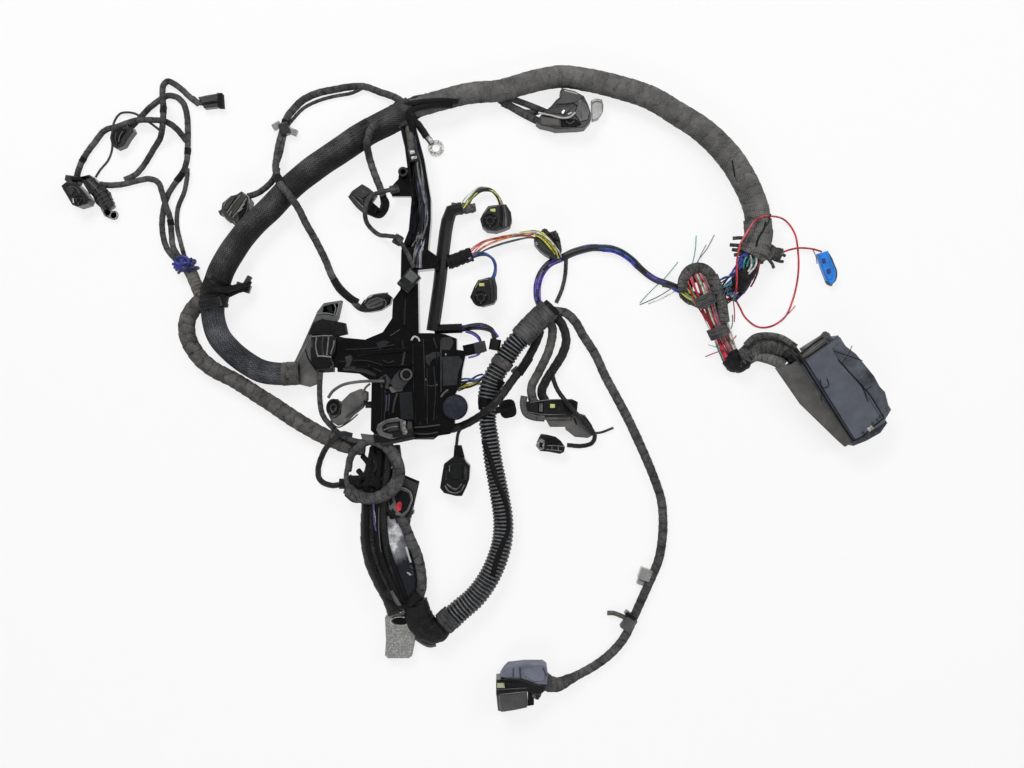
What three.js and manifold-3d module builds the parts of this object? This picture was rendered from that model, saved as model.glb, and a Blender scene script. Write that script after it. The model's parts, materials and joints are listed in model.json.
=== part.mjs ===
// Engine wiring harness, unplugged and laid flat on the floor.
// Units are millimetres, +Z is up and the floor is z = 0.
// The main sleeve arcs over the top, the moulded duct stands in the middle,
// and every branch ends in its plug, terminal or cut wires.

import * as THREE from 'three';
import { mergeVertices } from 'three/addons/utils/BufferGeometryUtils.js';
import Module from 'manifold-3d';

const wasm = await Module();
wasm.setup();

// Driving dimensions

const CLEARANCE = 0.3;            // gap that seated pieces keep to each other
const SLEEVE_RADIUS = 14;         // braided sleeve over the main trunk, upper run
const SLEEVE_END_RADIUS = 12.5;   // the same sleeve on its lower run
const TAPE_THIN_RADIUS = 11;      // tape-wrapped trunk beside the duct
const TAPE_THICK_RADIUS = 14.5;   // tape-wrapped trunk at its branch end
const LOOM_RADIUS = 9;            // grey loom on the left
const STUB_RADIUS = 7;             // short wrapped stub at the blue tie
const LOWER_LOOM_RADIUS = 10.5;   // loom that leaves the duct downward
const SHEATH_RADIUS = 9;          // film-covered strands beside that loom
const DUCT_HEIGHT = 22;           // moulded duct, floor to lid
const DUCT_WALL = 2;              // duct wall and floor
const RAIL_WIDTH = 13;            // slim duct beside the coil plugs
const RAIL_HEIGHT = 16;
const CONDUIT_RADIUS = 11.5;      // crest of the upper ridged conduit
const CONDUIT_TOP_RADIUS = 9.5;   // crest of the long conduit where it starts
const CONDUIT_END_RADIUS = 13;    // crest of the long conduit where it ends
const CONDUIT_PITCH = 4.1;        // from ridge to ridge
const CONDUIT_DEPTH = 1.6;        // ridge crest to root
const CUFF_RADIUS = 13;           // taped cuffs over the conduit ends
const BUNDLE_RADIUS = 10;         // bare wire bundle below the tape trunk
const ECU_LEAD_RADIUS = 9.5;      // wrapped lead to the control unit plug
const CORD_RADIUS = 4;            // taped sensor leads
const SIDE_LOOM_RADIUS = 4.5;     // black loom beside the ridged conduit
const CABLE_RADIUS = 5;           // long cable on the right
const LEFT_CORD_RADIUS = 3.3;     // taped pairs on the far left
const WIRE_RADIUS = 1.1;          // one bare insulated wire
const FINE_CORD_RADIUS = 2.2;     // single sleeved wires
const LEFT_THIRD_RADIUS = 2.6;
const LEFT_THIN_RADIUS = 1.3;
const PAIR_CORD_RADIUS = 2;       // thin cord beside the upper left sensor lead
const THIN_LEAD_RADIUS = 2.5;     // thin branch lead and the silver-mouthed plug's lead
const COIL_WIRE_RADIUS = 1.8;     // wire pairs of the coil plugs and the injector plug
const RIBBED_LEAD_RADIUS = 3.5;   // lead of the ribbed plug
const LOOP_LEAD_RADIUS = 3.2;     // lead that loops to the loop plug
const BRACKET_LEAD_RADIUS = 3;    // lead of the plug on the bracket
const STRAP_RADIUS = 5;           // the two straps to the two row plug
const VIOLET_RADIUS = 3.6;        // bundle of violet wires
const KNOT_RADIUS = 8;            // knot of taped wires
const STUB_DUCT_WIDTH = 12;       // side stubs of the slim duct
const STUB_DUCT_LENGTH = 23;
const CAP_RADIUS = 14;            // round cap at the duct's lower right
const PLATE_THICKNESS = 3;        // aluminium bracket
const BRACKET_HEIGHT = 14;        // moulded bracket at the sleeve end
const ECU_LENGTH = 106;           // control unit plug, along its cover
const ECU_WIDTH = 46;
const ECU_HEIGHT = 34;
const COIL_PLUG_HEIGHT = 24;      // coil plugs, which stand on their back
const MOUTH_DEPTH = 10;           // how far a plug's socket goes in
const FACE_RECESS = 1.5;          // recess in the face of a plug with no open socket
const PLUG_WALL = 1.8;            // wall round a plug's socket
const RIB_PROUD = 1.6;            // grip ribs, wider than the plug by this
const LATCH_PROUD = 1.6;          // latch above the plug's top

// How high a crossing lead's lower side has to lift to pass over another run

const OVER_SLEEVE = 2 * SLEEVE_RADIUS + 1;
const OVER_LOOM = 2 * LOOM_RADIUS + 1;
const OVER_CONDUIT = 2 * CONDUIT_RADIUS + 1;
const OVER_DUCT = DUCT_HEIGHT + 1;
const OVER_LEFT = 2 * LEFT_CORD_RADIUS + 0.4;
const OVER_LEFT_PAIR = 2 * OVER_LEFT;

// Solids, curves and booleans

function solidOf(geometry) {
  const bare = geometry.clone();
  bare.deleteAttribute('normal');
  bare.deleteAttribute('uv');
  const merged = mergeVertices(bare, 1e-4);
  return new wasm.Manifold(new wasm.Mesh({
    numProp: 3,
    vertProperties: new Float32Array(merged.attributes.position.array),
    triVerts: new Uint32Array(merged.index.array),
  }));
}

function geometryOf(solid) {
  const mesh = solid.getMesh();
  const geometry = new THREE.BufferGeometry();
  geometry.setAttribute('position', new THREE.BufferAttribute(new Float32Array(mesh.vertProperties), 3));
  geometry.setIndex(new THREE.BufferAttribute(new Uint32Array(mesh.triVerts), 1));
  return geometry;
}

function joined(solids) {
  return solids.reduce((all, one) => all.add(one));
}

function largest(solid) {
  return solid.decompose().reduce((best, one) => (one.volume() > best.volume() ? one : best));
}

// A run that lies on the floor: a dip between two humps never goes below it.
class FloorCurve extends THREE.CatmullRomCurve3 {
  constructor(points, floor) {
    super(points);
    this.floor = floor;
  }

  getPoint(t, target = new THREE.Vector3()) {
    super.getPoint(t, target);
    target.z = Math.max(target.z, this.floor);
    return target;
  }
}

// A route is a list of [x, y, lift], where lift is how far the run is off the floor.
function curveOf(route, radius) {
  const points = route.map(([x, y, lift = 0]) => new THREE.Vector3(x, y, radius + lift));
  const curve = new FloorCurve(points, radius);
  curve.arcLengthDivisions = 400;
  return curve;
}

function polygon(radius, sides) {
  const corners = [];
  for (let i = 0; i < sides; i += 1) {
    const angle = (2 * Math.PI * i) / sides;
    corners.push(new THREE.Vector2(radius * Math.cos(angle), radius * Math.sin(angle)));
  }
  return new THREE.Shape(corners);
}

// A plain lead of one thickness.
function tube(route, radius, grow = 0) {
  const curve = curveOf(route, radius);
  const steps = Math.max(2, Math.min(80, Math.round(curve.getLength() / Math.max(6 * radius, 16))));
  return solidOf(new THREE.ExtrudeGeometry(polygon(radius + grow, 8), {
    extrudePath: curve,
    steps,
    bevelEnabled: false,
  }));
}

// A run whose section changes along it: a straight extrusion bent along the curve.
// sizeAt(s) gives its half width and half height at s, from 0 at its start to 1 at its end.
function loft(route, radius, sizeAt, stepLength, sides, grow = 0) {
  const curve = curveOf(route, radius);
  const steps = Math.max(2, Math.round(curve.getLength() / stepLength));
  const geometry = new THREE.ExtrudeGeometry(polygon(1, sides), { depth: 1, steps, bevelEnabled: false });
  const position = geometry.attributes.position;
  const up = new THREE.Vector3(0, 0, 1);
  for (let i = 0; i < position.count; i += 1) {
    const s = Math.round(position.getZ(i) * steps) / steps;
    const [halfWidth, halfHeight] = sizeAt(s, steps);
    const centre = curve.getPointAt(s);
    const along = curve.getTangentAt(s);
    const side = new THREE.Vector3().crossVectors(up, along).normalize();
    const top = new THREE.Vector3().crossVectors(along, side);
    centre.addScaledVector(side, position.getX(i) * (halfWidth + grow));
    centre.addScaledVector(top, position.getY(i) * (halfHeight + grow));
    centre.addScaledVector(along, s === 0 ? -grow : s === 1 ? grow : 0);
    position.setXYZ(i, centre.x, centre.y, Math.max(centre.z, -grow));
  }
  return solidOf(geometry);
}

function blend(from, to, s) {
  return from + (to - from) * s;
}

function wrapped(route, fromRadius, toRadius, grow = 0) {
  const lying = Math.max(fromRadius, toRadius);
  const sizeAt = (s) => [blend(fromRadius, toRadius, s), blend(fromRadius, toRadius, s)];
  return loft(route, lying, sizeAt, 1.7 * lying, 10, grow);
}

// Convoluted conduit: crests and roots in turn, two rings to each ridge.
function conduit(route, fromRadius, toRadius, grow = 0) {
  const lying = Math.max(fromRadius, toRadius);
  const sizeAt = (s, steps) => {
    const crest = blend(fromRadius, toRadius, s);
    const size = grow === 0 && Math.round(s * steps) % 2 === 1 ? crest - CONDUIT_DEPTH : crest;
    return [size, size];
  };
  return loft(route, lying, sizeAt, grow === 0 ? CONDUIT_PITCH / 2 : 2 * CONDUIT_PITCH, 8, grow);
}

// An upright block from an outline in the floor plane.
function slab(outline, bottom, top) {
  const shape = new THREE.Shape(outline.map(([x, y]) => new THREE.Vector2(x, y)));
  const geometry = new THREE.ExtrudeGeometry(shape, { depth: top - bottom, bevelEnabled: false });
  return solidOf(geometry.translate(0, 0, bottom));
}

// Moves each side of an outline outward by a distance, or inward if it is negative.
function offset(outline, distance) {
  const turn = Math.sign(outline.reduce((sum, [x, y], i) => {
    const [nextX, nextY] = outline[(i + 1) % outline.length];
    return sum + x * nextY - nextX * y;
  }, 0));
  return outline.map((corner, i) => {
    const before = outline[(i + outline.length - 1) % outline.length];
    const after = outline[(i + 1) % outline.length];
    const inward = normalOf(before, corner, turn);
    const outward = normalOf(corner, after, turn);
    const scale = distance / Math.max(0.35, 1 + inward[0] * outward[0] + inward[1] * outward[1]);
    return [corner[0] + (inward[0] + outward[0]) * scale, corner[1] + (inward[1] + outward[1]) * scale];
  });
}

function normalOf(from, to, turn) {
  const length = Math.hypot(to[0] - from[0], to[1] - from[1]);
  return [(turn * (to[1] - from[1])) / length, (-turn * (to[0] - from[0])) / length];
}

function placed(geometry, at, angle) {
  return solidOf(geometry.rotateZ((angle * Math.PI) / 180).translate(at[0], at[1], at[2] ?? 0));
}

// A rectangle with round corners, centred on the origin.
function roundedRectangle(width, height, wantedCorner) {
  const corner = Math.min(wantedCorner, 0.45 * width, 0.45 * height);
  const x = width / 2;
  const y = height / 2;
  const shape = new THREE.Shape();
  shape.moveTo(corner - x, -y);
  shape.lineTo(x - corner, -y);
  shape.quadraticCurveTo(x, -y, x, corner - y);
  shape.lineTo(x, y - corner);
  shape.quadraticCurveTo(x, y, x - corner, y);
  shape.lineTo(corner - x, y);
  shape.quadraticCurveTo(-x, y, -x, y - corner);
  shape.lineTo(-x, corner - y);
  shape.quadraticCurveTo(-x, -y, corner - x, -y);
  return shape;
}

// A block along local +X, from start to end, with a rounded section.
function bar(start, end, width, height, corner, lift) {
  const geometry = new THREE.ExtrudeGeometry(roundedRectangle(width, height, corner), {
    depth: end - start,
    bevelEnabled: false,
    curveSegments: 1,
  });
  geometry.rotateX(Math.PI / 2);
  geometry.rotateZ(Math.PI / 2);
  return geometry.translate(start, 0, height / 2 + lift);
}

// A plug that lies on the floor. Local +X points out of its mouth, and the lead enters at x = 0.
function lyingPlug(at, angle, size, grow = 0) {
  const { length, width, height, corner = 3, ribs = 2, lock = 0.4, base = 0, socket = false } = size;
  const [proudWidth, proudHeight] = grow > 0 ? [RIB_PROUD + 2 * grow, LATCH_PROUD + 2 * grow] : [0, 0];
  const shell = bar(-grow, length + grow, width + proudWidth, height + proudHeight, corner, -grow);
  let solid = placed(shell, at, angle);
  if (base > 0) {
    const row = bar(9 - grow, 9 + base + grow, width + 2 * grow, height - 3 + 2 * grow, corner, -grow);
    solid = solid.add(placed(row.translate(0, 1 - width, 0), at, angle));
  }
  if (grow > 0) {
    const boot = bar(-6 - grow, 0, width * 0.62 + 2 * grow, height * 0.7 + 2 * grow, corner * 0.6,
      height * 0.15 - grow);
    return solid.add(placed(boot, at, angle));
  }
  for (let i = 0; i < ribs; i += 1) {
    const rib = new THREE.BoxGeometry(1.6, width + RIB_PROUD, height * 0.6);
    solid = solid.add(placed(rib.translate(2.8 + 3.4 * i, 0, height * 0.5), at, angle));
  }
  const latch = bar(length * lock, length - 2, width * 0.36, LATCH_PROUD + 1, 0.8, height - 1);
  const boot = bar(-6, 1, width * 0.62, height * 0.7, corner * 0.6, height * 0.15);
  solid = solid.add(placed(latch, at, angle)).add(placed(boot, at, angle));
  const mouth = bar(length - (socket ? MOUTH_DEPTH : FACE_RECESS), length + 1,
    width - 2 * PLUG_WALL, height - 2 * PLUG_WALL, corner * 0.6, PLUG_WALL);
  return solid.subtract(placed(mouth, at, angle));
}

// A plug that stands on its back, so that its round mouth looks up.
function standingPlug(at, angle, size, grow = 0) {
  const { width, depth, height = COIL_PLUG_HEIGHT, mouth, tail = 4 } = size;
  const block = (shape, bottom, top, x = 0, y = 0) => {
    const options = { depth: top - bottom, bevelEnabled: false, curveSegments: 3 };
    const geometry = new THREE.ExtrudeGeometry(shape, options);
    return placed(geometry.translate(x, y, bottom), at, angle);
  };
  const corner = Math.min(width, depth) * 0.3;
  let solid = block(roundedRectangle(width + 2 * grow, depth + 2 * grow, corner), -grow, height - 3 + grow);
  const collar = new THREE.Shape().absarc(0, 0, mouth + PLUG_WALL + grow, 0, 2 * Math.PI);
  const forward = mouth + PLUG_WALL - depth / 2;
  solid = solid.add(block(collar, -grow, height + grow, 0, forward));
  const neck = roundedRectangle(width * 0.5 + 2 * grow, tail + 2 * grow, 1.5);
  solid = solid.add(block(neck, 4 - grow, height * 0.6 + grow, 0, (depth + tail) / 2 - 0.5));
  if (grow > 0) {
    return solid;
  }
  const latch = roundedRectangle(width * 0.42, depth * 0.3, 1.2);
  solid = solid.add(block(latch, height - 4, height - 0.5, 0, depth * 0.32));
  const socket = new THREE.Shape().absarc(0, 0, mouth, 0, 2 * Math.PI);
  return solid.subtract(block(socket, height - MOUTH_DEPTH, height + 1, 0, forward));
}

// The pieces, each trimmed to keep clear of those that were made before it

const harness = new THREE.Group();
const made = [];

function near(a, b) {
  return [0, 1, 2].every((axis) => a.min[axis] < b.max[axis] && b.min[axis] < a.max[axis]);
}

// make(grow) gives the piece, or with a grow above 0 the room that its neighbours leave it.
function add(name, make, look) {
  let solid = make(0);
  const room = make(CLEARANCE);
  for (const other of made) {
    if (near(solid.boundingBox(), other.boundingBox())) {
      solid = solid.subtract(other);
    }
  }
  solid = largest(solid);
  const material = new THREE.MeshStandardMaterial({
    color: look.color,
    roughness: look.roughness,
    metalness: look.metalness ?? 0,
  });
  const mesh = new THREE.Mesh(geometryOf(solid), material);
  mesh.name = name;
  harness.add(mesh);
  made.push(room);
}

// One lead, or several that are taped together where they meet.
function addLeads(name, leads, look) {
  add(name, (grow) => joined(leads.map(([route, radius]) => tube(route, radius, grow))), look);
}

const GLOSS_BLACK = { color: 0x0e0e11, roughness: 0.28 };
const MOULDED_BLACK = { color: 0x18191b, roughness: 0.5 };
const MOULDED_GREY = { color: 0x55575a, roughness: 0.6 };
const BRAID = { color: 0x35363a, roughness: 0.75 };
const CLOTH_TAPE = { color: 0x5f5c59, roughness: 0.9 };
const DARK_TAPE = { color: 0x2b2b2d, roughness: 0.85 };
const CORD_TAPE = { color: 0x4c4b4a, roughness: 0.85 };
const CONDUIT_PLASTIC = { color: 0x232426, roughness: 0.55 };
const BLUE_GREY = { color: 0x585d68, roughness: 0.5 };
const BLUE_PLASTIC = { color: 0x1482dc, roughness: 0.4 };
const RED_WIRE = { color: 0xc83c46, roughness: 0.45 };
const VIOLET_WIRE = { color: 0x4c489a, roughness: 0.5 };
const ALUMINIUM = { color: 0x8c8c8a, roughness: 0.45, metalness: 0.9 };
const TINNED = { color: 0xa8a8a6, roughness: 0.35, metalness: 1 };
const NAVY = { color: 0x28286e, roughness: 0.5 };

// Moulded duct in the middle: an open channel above, a closed box with its arm below

const DUCT_OUTLINE = [
  [-86, 301], [-78, 280], [-73, 242], [-69, 210], [-72, 177], [-80, 156],
  [-81, 113], [-89, 102], [-90, 82], [-100, 67], [-119, 59], [-141, 61],
  [-149, 53], [-149, 24], [-125, 22], [-112, 14], [-113, -39], [-103, -49],
  [-45, -49], [-40, -45], [-27, -43], [-22, -33], [-22, -1], [-18, 7],
  [-15, 15], [-14, 26], [-11, 40], [-11, 47], [-20, 48], [-20, 60],
  [-33, 65], [-48, 66], [-61, 66],
  [-62, 134], [-41, 136], [-41, 149], [-51, 156], [-48, 188], [-48, 210],
  [-55, 253], [-68, 303],
];
const CHANNEL_OUTLINE = [
  [-85, 307], [-77, 280], [-72, 242], [-68, 210], [-71, 177], [-78, 156],
  [-54, 158], [-49, 188], [-49, 210], [-57, 253], [-69, 307],
];

// Tab with a screw boss that stands out of the channel's left wall
const DUCT_TAB = [
  [-70, 247], [-83, 245], [-84, 234], [-92, 225], [-91, 215], [-70, 215],
];

const SOCKET_RADIUS = 6.5;        // round socket on the duct's lid
const SIDE_PLUG_LENGTH = 22;      // small plug clipped to the duct's right wall

// A cylinder that stands on the floor
function cylinder(radius, height, sides) {
  return new THREE.CylinderGeometry(radius, radius, height, sides)
    .rotateX(Math.PI / 2)
    .translate(0, 0, height / 2);
}

function mainDuct(grow) {
  const tab = slab(offset(DUCT_TAB, grow), 6 - grow, 14 + grow);
  const boss = new THREE.CylinderGeometry(4.5 + grow, 5 + grow, 12 + 2 * grow, 10).rotateX(Math.PI / 2);
  const ribs = DUCT_RIBS.map(([x, y, angle, length, width]) => (
    placed(bar(-length / 2 - grow, length / 2 + grow, width + 2 * grow, 3 + 2 * grow, 0.8, -grow),
      [x, y, DUCT_HEIGHT - 1], angle)));
  const cap = cylinder(CAP_RADIUS + grow, DUCT_HEIGHT + 3 + 2 * grow, 24);
  const capTop = cylinder(CAP_RADIUS - 4 + grow, DUCT_HEIGHT + 5 + 2 * grow, 16);
  const socket = cylinder(SOCKET_RADIUS + grow, DUCT_HEIGHT + 5 + 2 * grow, 16);
  const sidePlug = bar(0, SIDE_PLUG_LENGTH + grow, 12 + 2 * grow, 15 + 2 * grow, 2, -grow);
  const body = joined([slab(offset(DUCT_OUTLINE, grow), -grow, DUCT_HEIGHT + grow), tab,
    placed(boss, [-78, 240, 12], 0), ...ribs,
    placed(cap, [-22, -14, -grow], 0), placed(capTop, [-22, -14, -grow], 0),
    placed(socket, [-76, 21, -grow], 0), placed(sidePlug, [-13, 47], 12)]);
  if (grow > 0) {
    return body;
  }
  const channel = slab(offset(CHANNEL_OUTLINE, -DUCT_WALL), DUCT_WALL, DUCT_HEIGHT + 1);
  const bore = cylinder(SOCKET_RADIUS - PLUG_WALL, MOUTH_DEPTH, 12);
  return body.subtract(channel).subtract(placed(bore, [-76, 21, DUCT_HEIGHT], 0));
}

// Raised ribs and cable bridges on the duct lid: x, y, angle, length, width
const DUCT_RIBS = [
  [-60, 15, 92, 88, 12],
  [-98, 46, 4, 60, 5],
  [-98, 30, 2, 62, 3],
  [-68, -41, 0, 60, 6],
  [-99, -6, 88, 50, 4],
];

add('main_duct', mainDuct, GLOSS_BLACK);

// Slim duct that carries the coil leads, with its side stub

const RAIL_ROUTE = [
  [-15, 203], [-26, 201], [-31, 188], [-34, 168], [-37, 144], [-39, 125], [-42, 103], [-47, 69],
];
const RAIL_PLUG_ROUTE = [
  [-18, 70, 4], [-6, 72, 4], [7, 74, 4], [17, 71, 4], [22, 64, 4], [22, 54, 4],
];
add('coil_rail_duct', (grow) => {
  const sizeAt = () => [RAIL_WIDTH / 2 + 0.6, RAIL_HEIGHT / 2 + 1];
  const rail = loft(RAIL_ROUTE, RAIL_HEIGHT / 2, sizeAt, 12, 8, grow);
  const height = RAIL_HEIGHT - 4 + 2 * grow;
  const stub = bar(-4 - grow, STUB_DUCT_LENGTH + grow, STUB_DUCT_WIDTH + 2 * grow, height, 3, 1 - grow);
  const lowerStub = bar(-4 - grow, STUB_DUCT_LENGTH + 3 + grow, STUB_DUCT_WIDTH - 2 + 2 * grow,
    height, 3, 1 - grow);
  const plug = bar(-6 - grow, 6 + grow, STUB_DUCT_WIDTH + 2 * grow, height - 1, 2, -grow);
  return joined([rail, placed(stub, [-28, 146], 14), placed(lowerStub, [-41, 71], 2),
    tube(RAIL_PLUG_ROUTE, THIN_LEAD_RADIUS, grow), placed(plug, [21, 54], -100)]);
}, GLOSS_BLACK);

// Brackets

const SLEEVE_BRACKET = [
  [-196, 37], [-188, 54], [-172, 90], [-165, 99], [-146, 102], [-150, 83],
  [-155, 75], [-155, 24], [-174, 23], [-183, 11], [-203, 12], [-210, 18],
];
add('sleeve_bracket', (grow) => {
  const window = bar(-9 - grow, 9 + grow, 15 + 2 * grow, 5 + 2 * grow, 1.5, BRACKET_HEIGHT - 2 - grow);
  const frame = placed(window, [-164, 53], 85);
  const plate = slab(offset(SLEEVE_BRACKET, grow), -grow, BRACKET_HEIGHT + grow).add(frame);
  if (grow > 0) {
    return plate;
  }
  const lightening = slab([[-168, 70], [-158, 70], [-158, 31], [-170, 31]],
    BRACKET_HEIGHT - 5, BRACKET_HEIGHT + 1);
  const opening = bar(-6.5, 6.5, 10, 9, 1, BRACKET_HEIGHT - 4);
  return plate.subtract(lightening).subtract(placed(opening, [-164, 53], 85));
}, MOULDED_GREY);

// Aluminium foot: a flat lug with its slot, and the plate folded down from it
const LUG_OUTLINE = [[-97, -242], [-66, -242], [-66, -250], [-97, -250]];
add('aluminium_bracket', (grow) => {
  const lug = slab(offset([[-97, -242], [-66, -242], [-68, -268], [-70, -286], [-98, -288],
    [-95, -268]], grow), -grow, PLATE_THICKNESS + grow);
  const rise = slab(offset(LUG_OUTLINE, grow), -grow, 12 + grow);
  if (grow > 0) {
    return lug.add(rise);
  }
  const slot = bar(-7, 7, 5, 20, 2.4, 0);
  return lug.add(rise).subtract(placed(slot, [-81, -246, -2], 0));
}, ALUMINIUM);

// Ring terminal that bolts the earth lead down
add('ring_terminal', (grow) => {
  const ring = new THREE.CylinderGeometry(9 + grow, 9 + grow, 3 + 2 * grow, 18).rotateX(Math.PI / 2);
  const barrel = bar(-22 - grow, -6, 7 + 2 * grow, 5 + 2 * grow, 2, -grow);
  const at = [-44, 270];
  const solid = placed(ring, [...at, 1.5], 0).add(placed(barrel, [...at, 0], -52));
  if (grow > 0) {
    return solid;
  }
  const hole = new THREE.CylinderGeometry(4.2, 4.2, 12, 14).rotateX(Math.PI / 2);
  return solid.subtract(placed(hole, [...at, 1.5], 0));
}, TINNED);

// Control unit plug: housing with its flared lead entry, and the cover over it

const ECU_AT = [351, 39];
const ECU_ANGLE = -58;

function ecuBlock(outline, bottom, top) {
  const shape = new THREE.Shape(outline.map(([x, y]) => new THREE.Vector2(x, y)));
  const geometry = new THREE.ExtrudeGeometry(shape, { depth: top - bottom, bevelEnabled: false });
  return placed(geometry.translate(0, 0, bottom), ECU_AT, ECU_ANGLE);
}

add('ecu_plug_housing', (grow) => {
  const flare = 24;
  const outline = [[0, -flare], [ECU_LENGTH - 12, -6], [ECU_LENGTH, 0], [ECU_LENGTH, ECU_WIDTH - 10],
    [ECU_LENGTH - 8, ECU_WIDTH + 6], [ECU_LENGTH - 38, ECU_WIDTH + 6], [ECU_LENGTH - 42, ECU_WIDTH],
    [0, ECU_WIDTH]];
  const body = ecuBlock(offset(outline, grow), -grow, ECU_HEIGHT - 6 + (grow > 0 ? 6 + grow : 0));
  if (grow > 0) {
    return body;
  }
  const entry = ecuBlock([[-1, 4 - flare], [14, 4 - flare], [14, 0], [-1, 0]], 6, ECU_HEIGHT - 10);
  const clampBar = bar(-7, 1, 32, ECU_HEIGHT - 10, 3, 0).translate(0, ECU_WIDTH / 2 + 2, 0);
  const cover = ecuBlock([[2, 1], [ECU_LENGTH - 1, 1], [ECU_LENGTH - 1, ECU_WIDTH - 9],
    [ECU_LENGTH - 9, ECU_WIDTH - 1], [2, ECU_WIDTH - 1]], ECU_HEIGHT - 7, ECU_HEIGHT);
  const seam = ecuBlock([[8, ECU_WIDTH - 10], [ECU_LENGTH - 10, ECU_WIDTH - 10],
    [ECU_LENGTH - 10, ECU_WIDTH - 9], [8, ECU_WIDTH - 9]], ECU_HEIGHT - 1, ECU_HEIGHT + 1);
  return body.subtract(entry).add(placed(clampBar, ECU_AT, ECU_ANGLE)).add(cover).subtract(seam);
}, BLUE_GREY);

// Plugs that lie on the floor: place, way that the mouth points, and size

const LYING_PLUGS = [
  ['sensor_plug_far_left', [-302, 315], 12, { length: 21, width: 11, height: 9 }],
  ['left_round_plug', [-384, 280], 90, { length: 14, width: 12, height: 11 }],
  ['left_block_plug', [-436, 232], -97, { length: 27, width: 21, height: 20, socket: true }],
  ['left_boss_plug', [-413, 235], -66, { length: 32, width: 18, height: 18 }],
  ['ribbed_plug', [-249, 216], -140, { length: 30, width: 29, height: 22, ribs: 4 }],
  ['upper_sensor_plug', [-113, 196], 135, { length: 30, width: 20, height: 18, ribs: 3 }],
  ['oval_plug', [-128, 98], 12, { length: 27, width: 16, height: 15, corner: 6 }],
  ['bracket_plug', [-167, 25, BRACKET_HEIGHT + CLEARANCE], 92, { length: 15, width: 18, height: 10 }],
  ['duct_side_plug', [-102, -47, DUCT_HEIGHT + 1], 12, { length: 37, width: 18, height: 14 }],
  ['film_side_plug', [-80, -133], 102, { length: 32, width: 26, height: 20, socket: true }],
  ['loop_plug', [-143, -98], 0, { length: 34, width: 18, height: 13 }],
  ['injector_plug', [-21, -70], -88, { length: 36, width: 27, height: 20, socket: true }],
  ['two_row_plug', [71, -16], 0, { length: 38, width: 20, height: 17, ribs: 4, base: 42 }],
  ['silver_mouth_plug', [99, -58], 178, { length: 30, width: 15, height: 14, socket: true }],
  ['cable_end_plug', [71, -318], 196, { length: 42, width: 34, height: 26, ribs: 3, socket: true }],
  ['branch_plug', [72, 312], 8, { length: 50, width: 38, height: 24, ribs: 3 }],
  ['blue_plug', [378, 155], -74, { length: 33, width: 15, height: 10, ribs: 0 }],
];
// Flat black sheet under the film side plug
const GUARD_SHEET = [[-73, -145], [-62, -96], [-88, -85], [-93, -121]];
for (const [name, at, angle, size] of LYING_PLUGS) {
  const look = name === 'blue_plug' ? BLUE_PLASTIC : MOULDED_BLACK;
  add(name, (grow) => {
    const plug = lyingPlug(at, angle, size, grow);
    return name === 'film_side_plug' ? plug.add(slab(offset(GUARD_SHEET, grow), -grow, 2 + grow)) : plug;
  }, look);
}

// Plugs that stand on their back

const STANDING_PLUGS = [
  ['coil_plug_upper', [22, 192], -28, { width: 30, depth: 28, mouth: 9 }],
  ['coil_plug_middle', [8, 112], -4, { width: 28, depth: 30, mouth: 9 }],
  ['coil_plug_branch', [78, 164], -40, { width: 26, depth: 28, mouth: 8 }],
  ['flat_oval_plug', [-137, -12], -80, { width: 26, depth: 40, height: 18, mouth: 7, tail: 14 }],
];
for (const [name, at, angle, size] of STANDING_PLUGS) {
  add(name, (grow) => standingPlug(at, angle, size, grow), MOULDED_BLACK);
}

// Trunks: braided sleeve, tape wrap, looms

const SLEEVE_ROUTE = [
  [-69, 310], [-93, 297], [-120, 283], [-147, 265], [-175, 246], [-202, 224], [-223, 202],
  [-245, 181], [-262, 159], [-276, 135], [-282, 118],
];
add('trunk_sleeve_upper', (grow) => wrapped(SLEEVE_ROUTE, SLEEVE_RADIUS, SLEEVE_RADIUS, grow), BRAID);

const SLEEVE_END_ROUTE = [
  [-285, 104], [-286, 86], [-280, 64], [-267, 48], [-251, 35], [-233, 25], [-213, 22], [-191, 23],
];
add('trunk_sleeve_lower', (grow) => (
  wrapped(SLEEVE_END_ROUTE, SLEEVE_END_RADIUS, SLEEVE_END_RADIUS, grow)), BRAID);

const TAPE_ROUTE = [
  [-69, 310], [-39, 319], [-6, 327], [27, 330], [59, 339], [92, 345], [124, 341], [157, 333],
  [190, 322], [222, 303], [244, 289], [266, 269], [282, 249], [296, 224], [305, 200], [307, 176],
];
add('trunk_tape_wrap', (grow) => wrapped(TAPE_ROUTE, TAPE_THIN_RADIUS, TAPE_THICK_RADIUS, grow), CLOTH_TAPE);

const LOOM_ROUTE = [
  [-298, 104], [-309, 92], [-315, 79], [-314, 61], [-304, 43], [-288, 28], [-263, 15], [-241, 1],
  [-219, -13], [-197, -28], [-175, -41], [-154, -51], [-137, -57], [-121, -58],
];
const STUB_ROUTE = [
  [-315, 140], [-308, 125], [-301, 107], [-298, 98],
];
add('left_loom', (grow) => joined([
  wrapped(LOOM_ROUTE, LOOM_RADIUS, LOOM_RADIUS, grow),
  wrapped(STUB_ROUTE, STUB_RADIUS, STUB_RADIUS, grow),
]), CLOTH_TAPE);

const LOWER_ROUTE = [
  [-103, -54], [-108, -72], [-113, -94], [-114, -115], [-115, -137], [-115, -159], [-111, -181],
  [-102, -203], [-92, -222], [-86, -238],
];
const SHEATH_ROUTE = [
  [-98, -137, 3], [-92, -153, 3], [-86, -175, 3], [-80, -197, 3], [-77, -216, 3], [-78, -235, 3],
];
add('lower_loom', (grow) => joined([
  wrapped(LOWER_ROUTE, LOWER_LOOM_RADIUS, LOWER_LOOM_RADIUS, grow),
  wrapped(SHEATH_ROUTE, SHEATH_RADIUS, SHEATH_RADIUS, grow),
]), DARK_TAPE);

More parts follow.
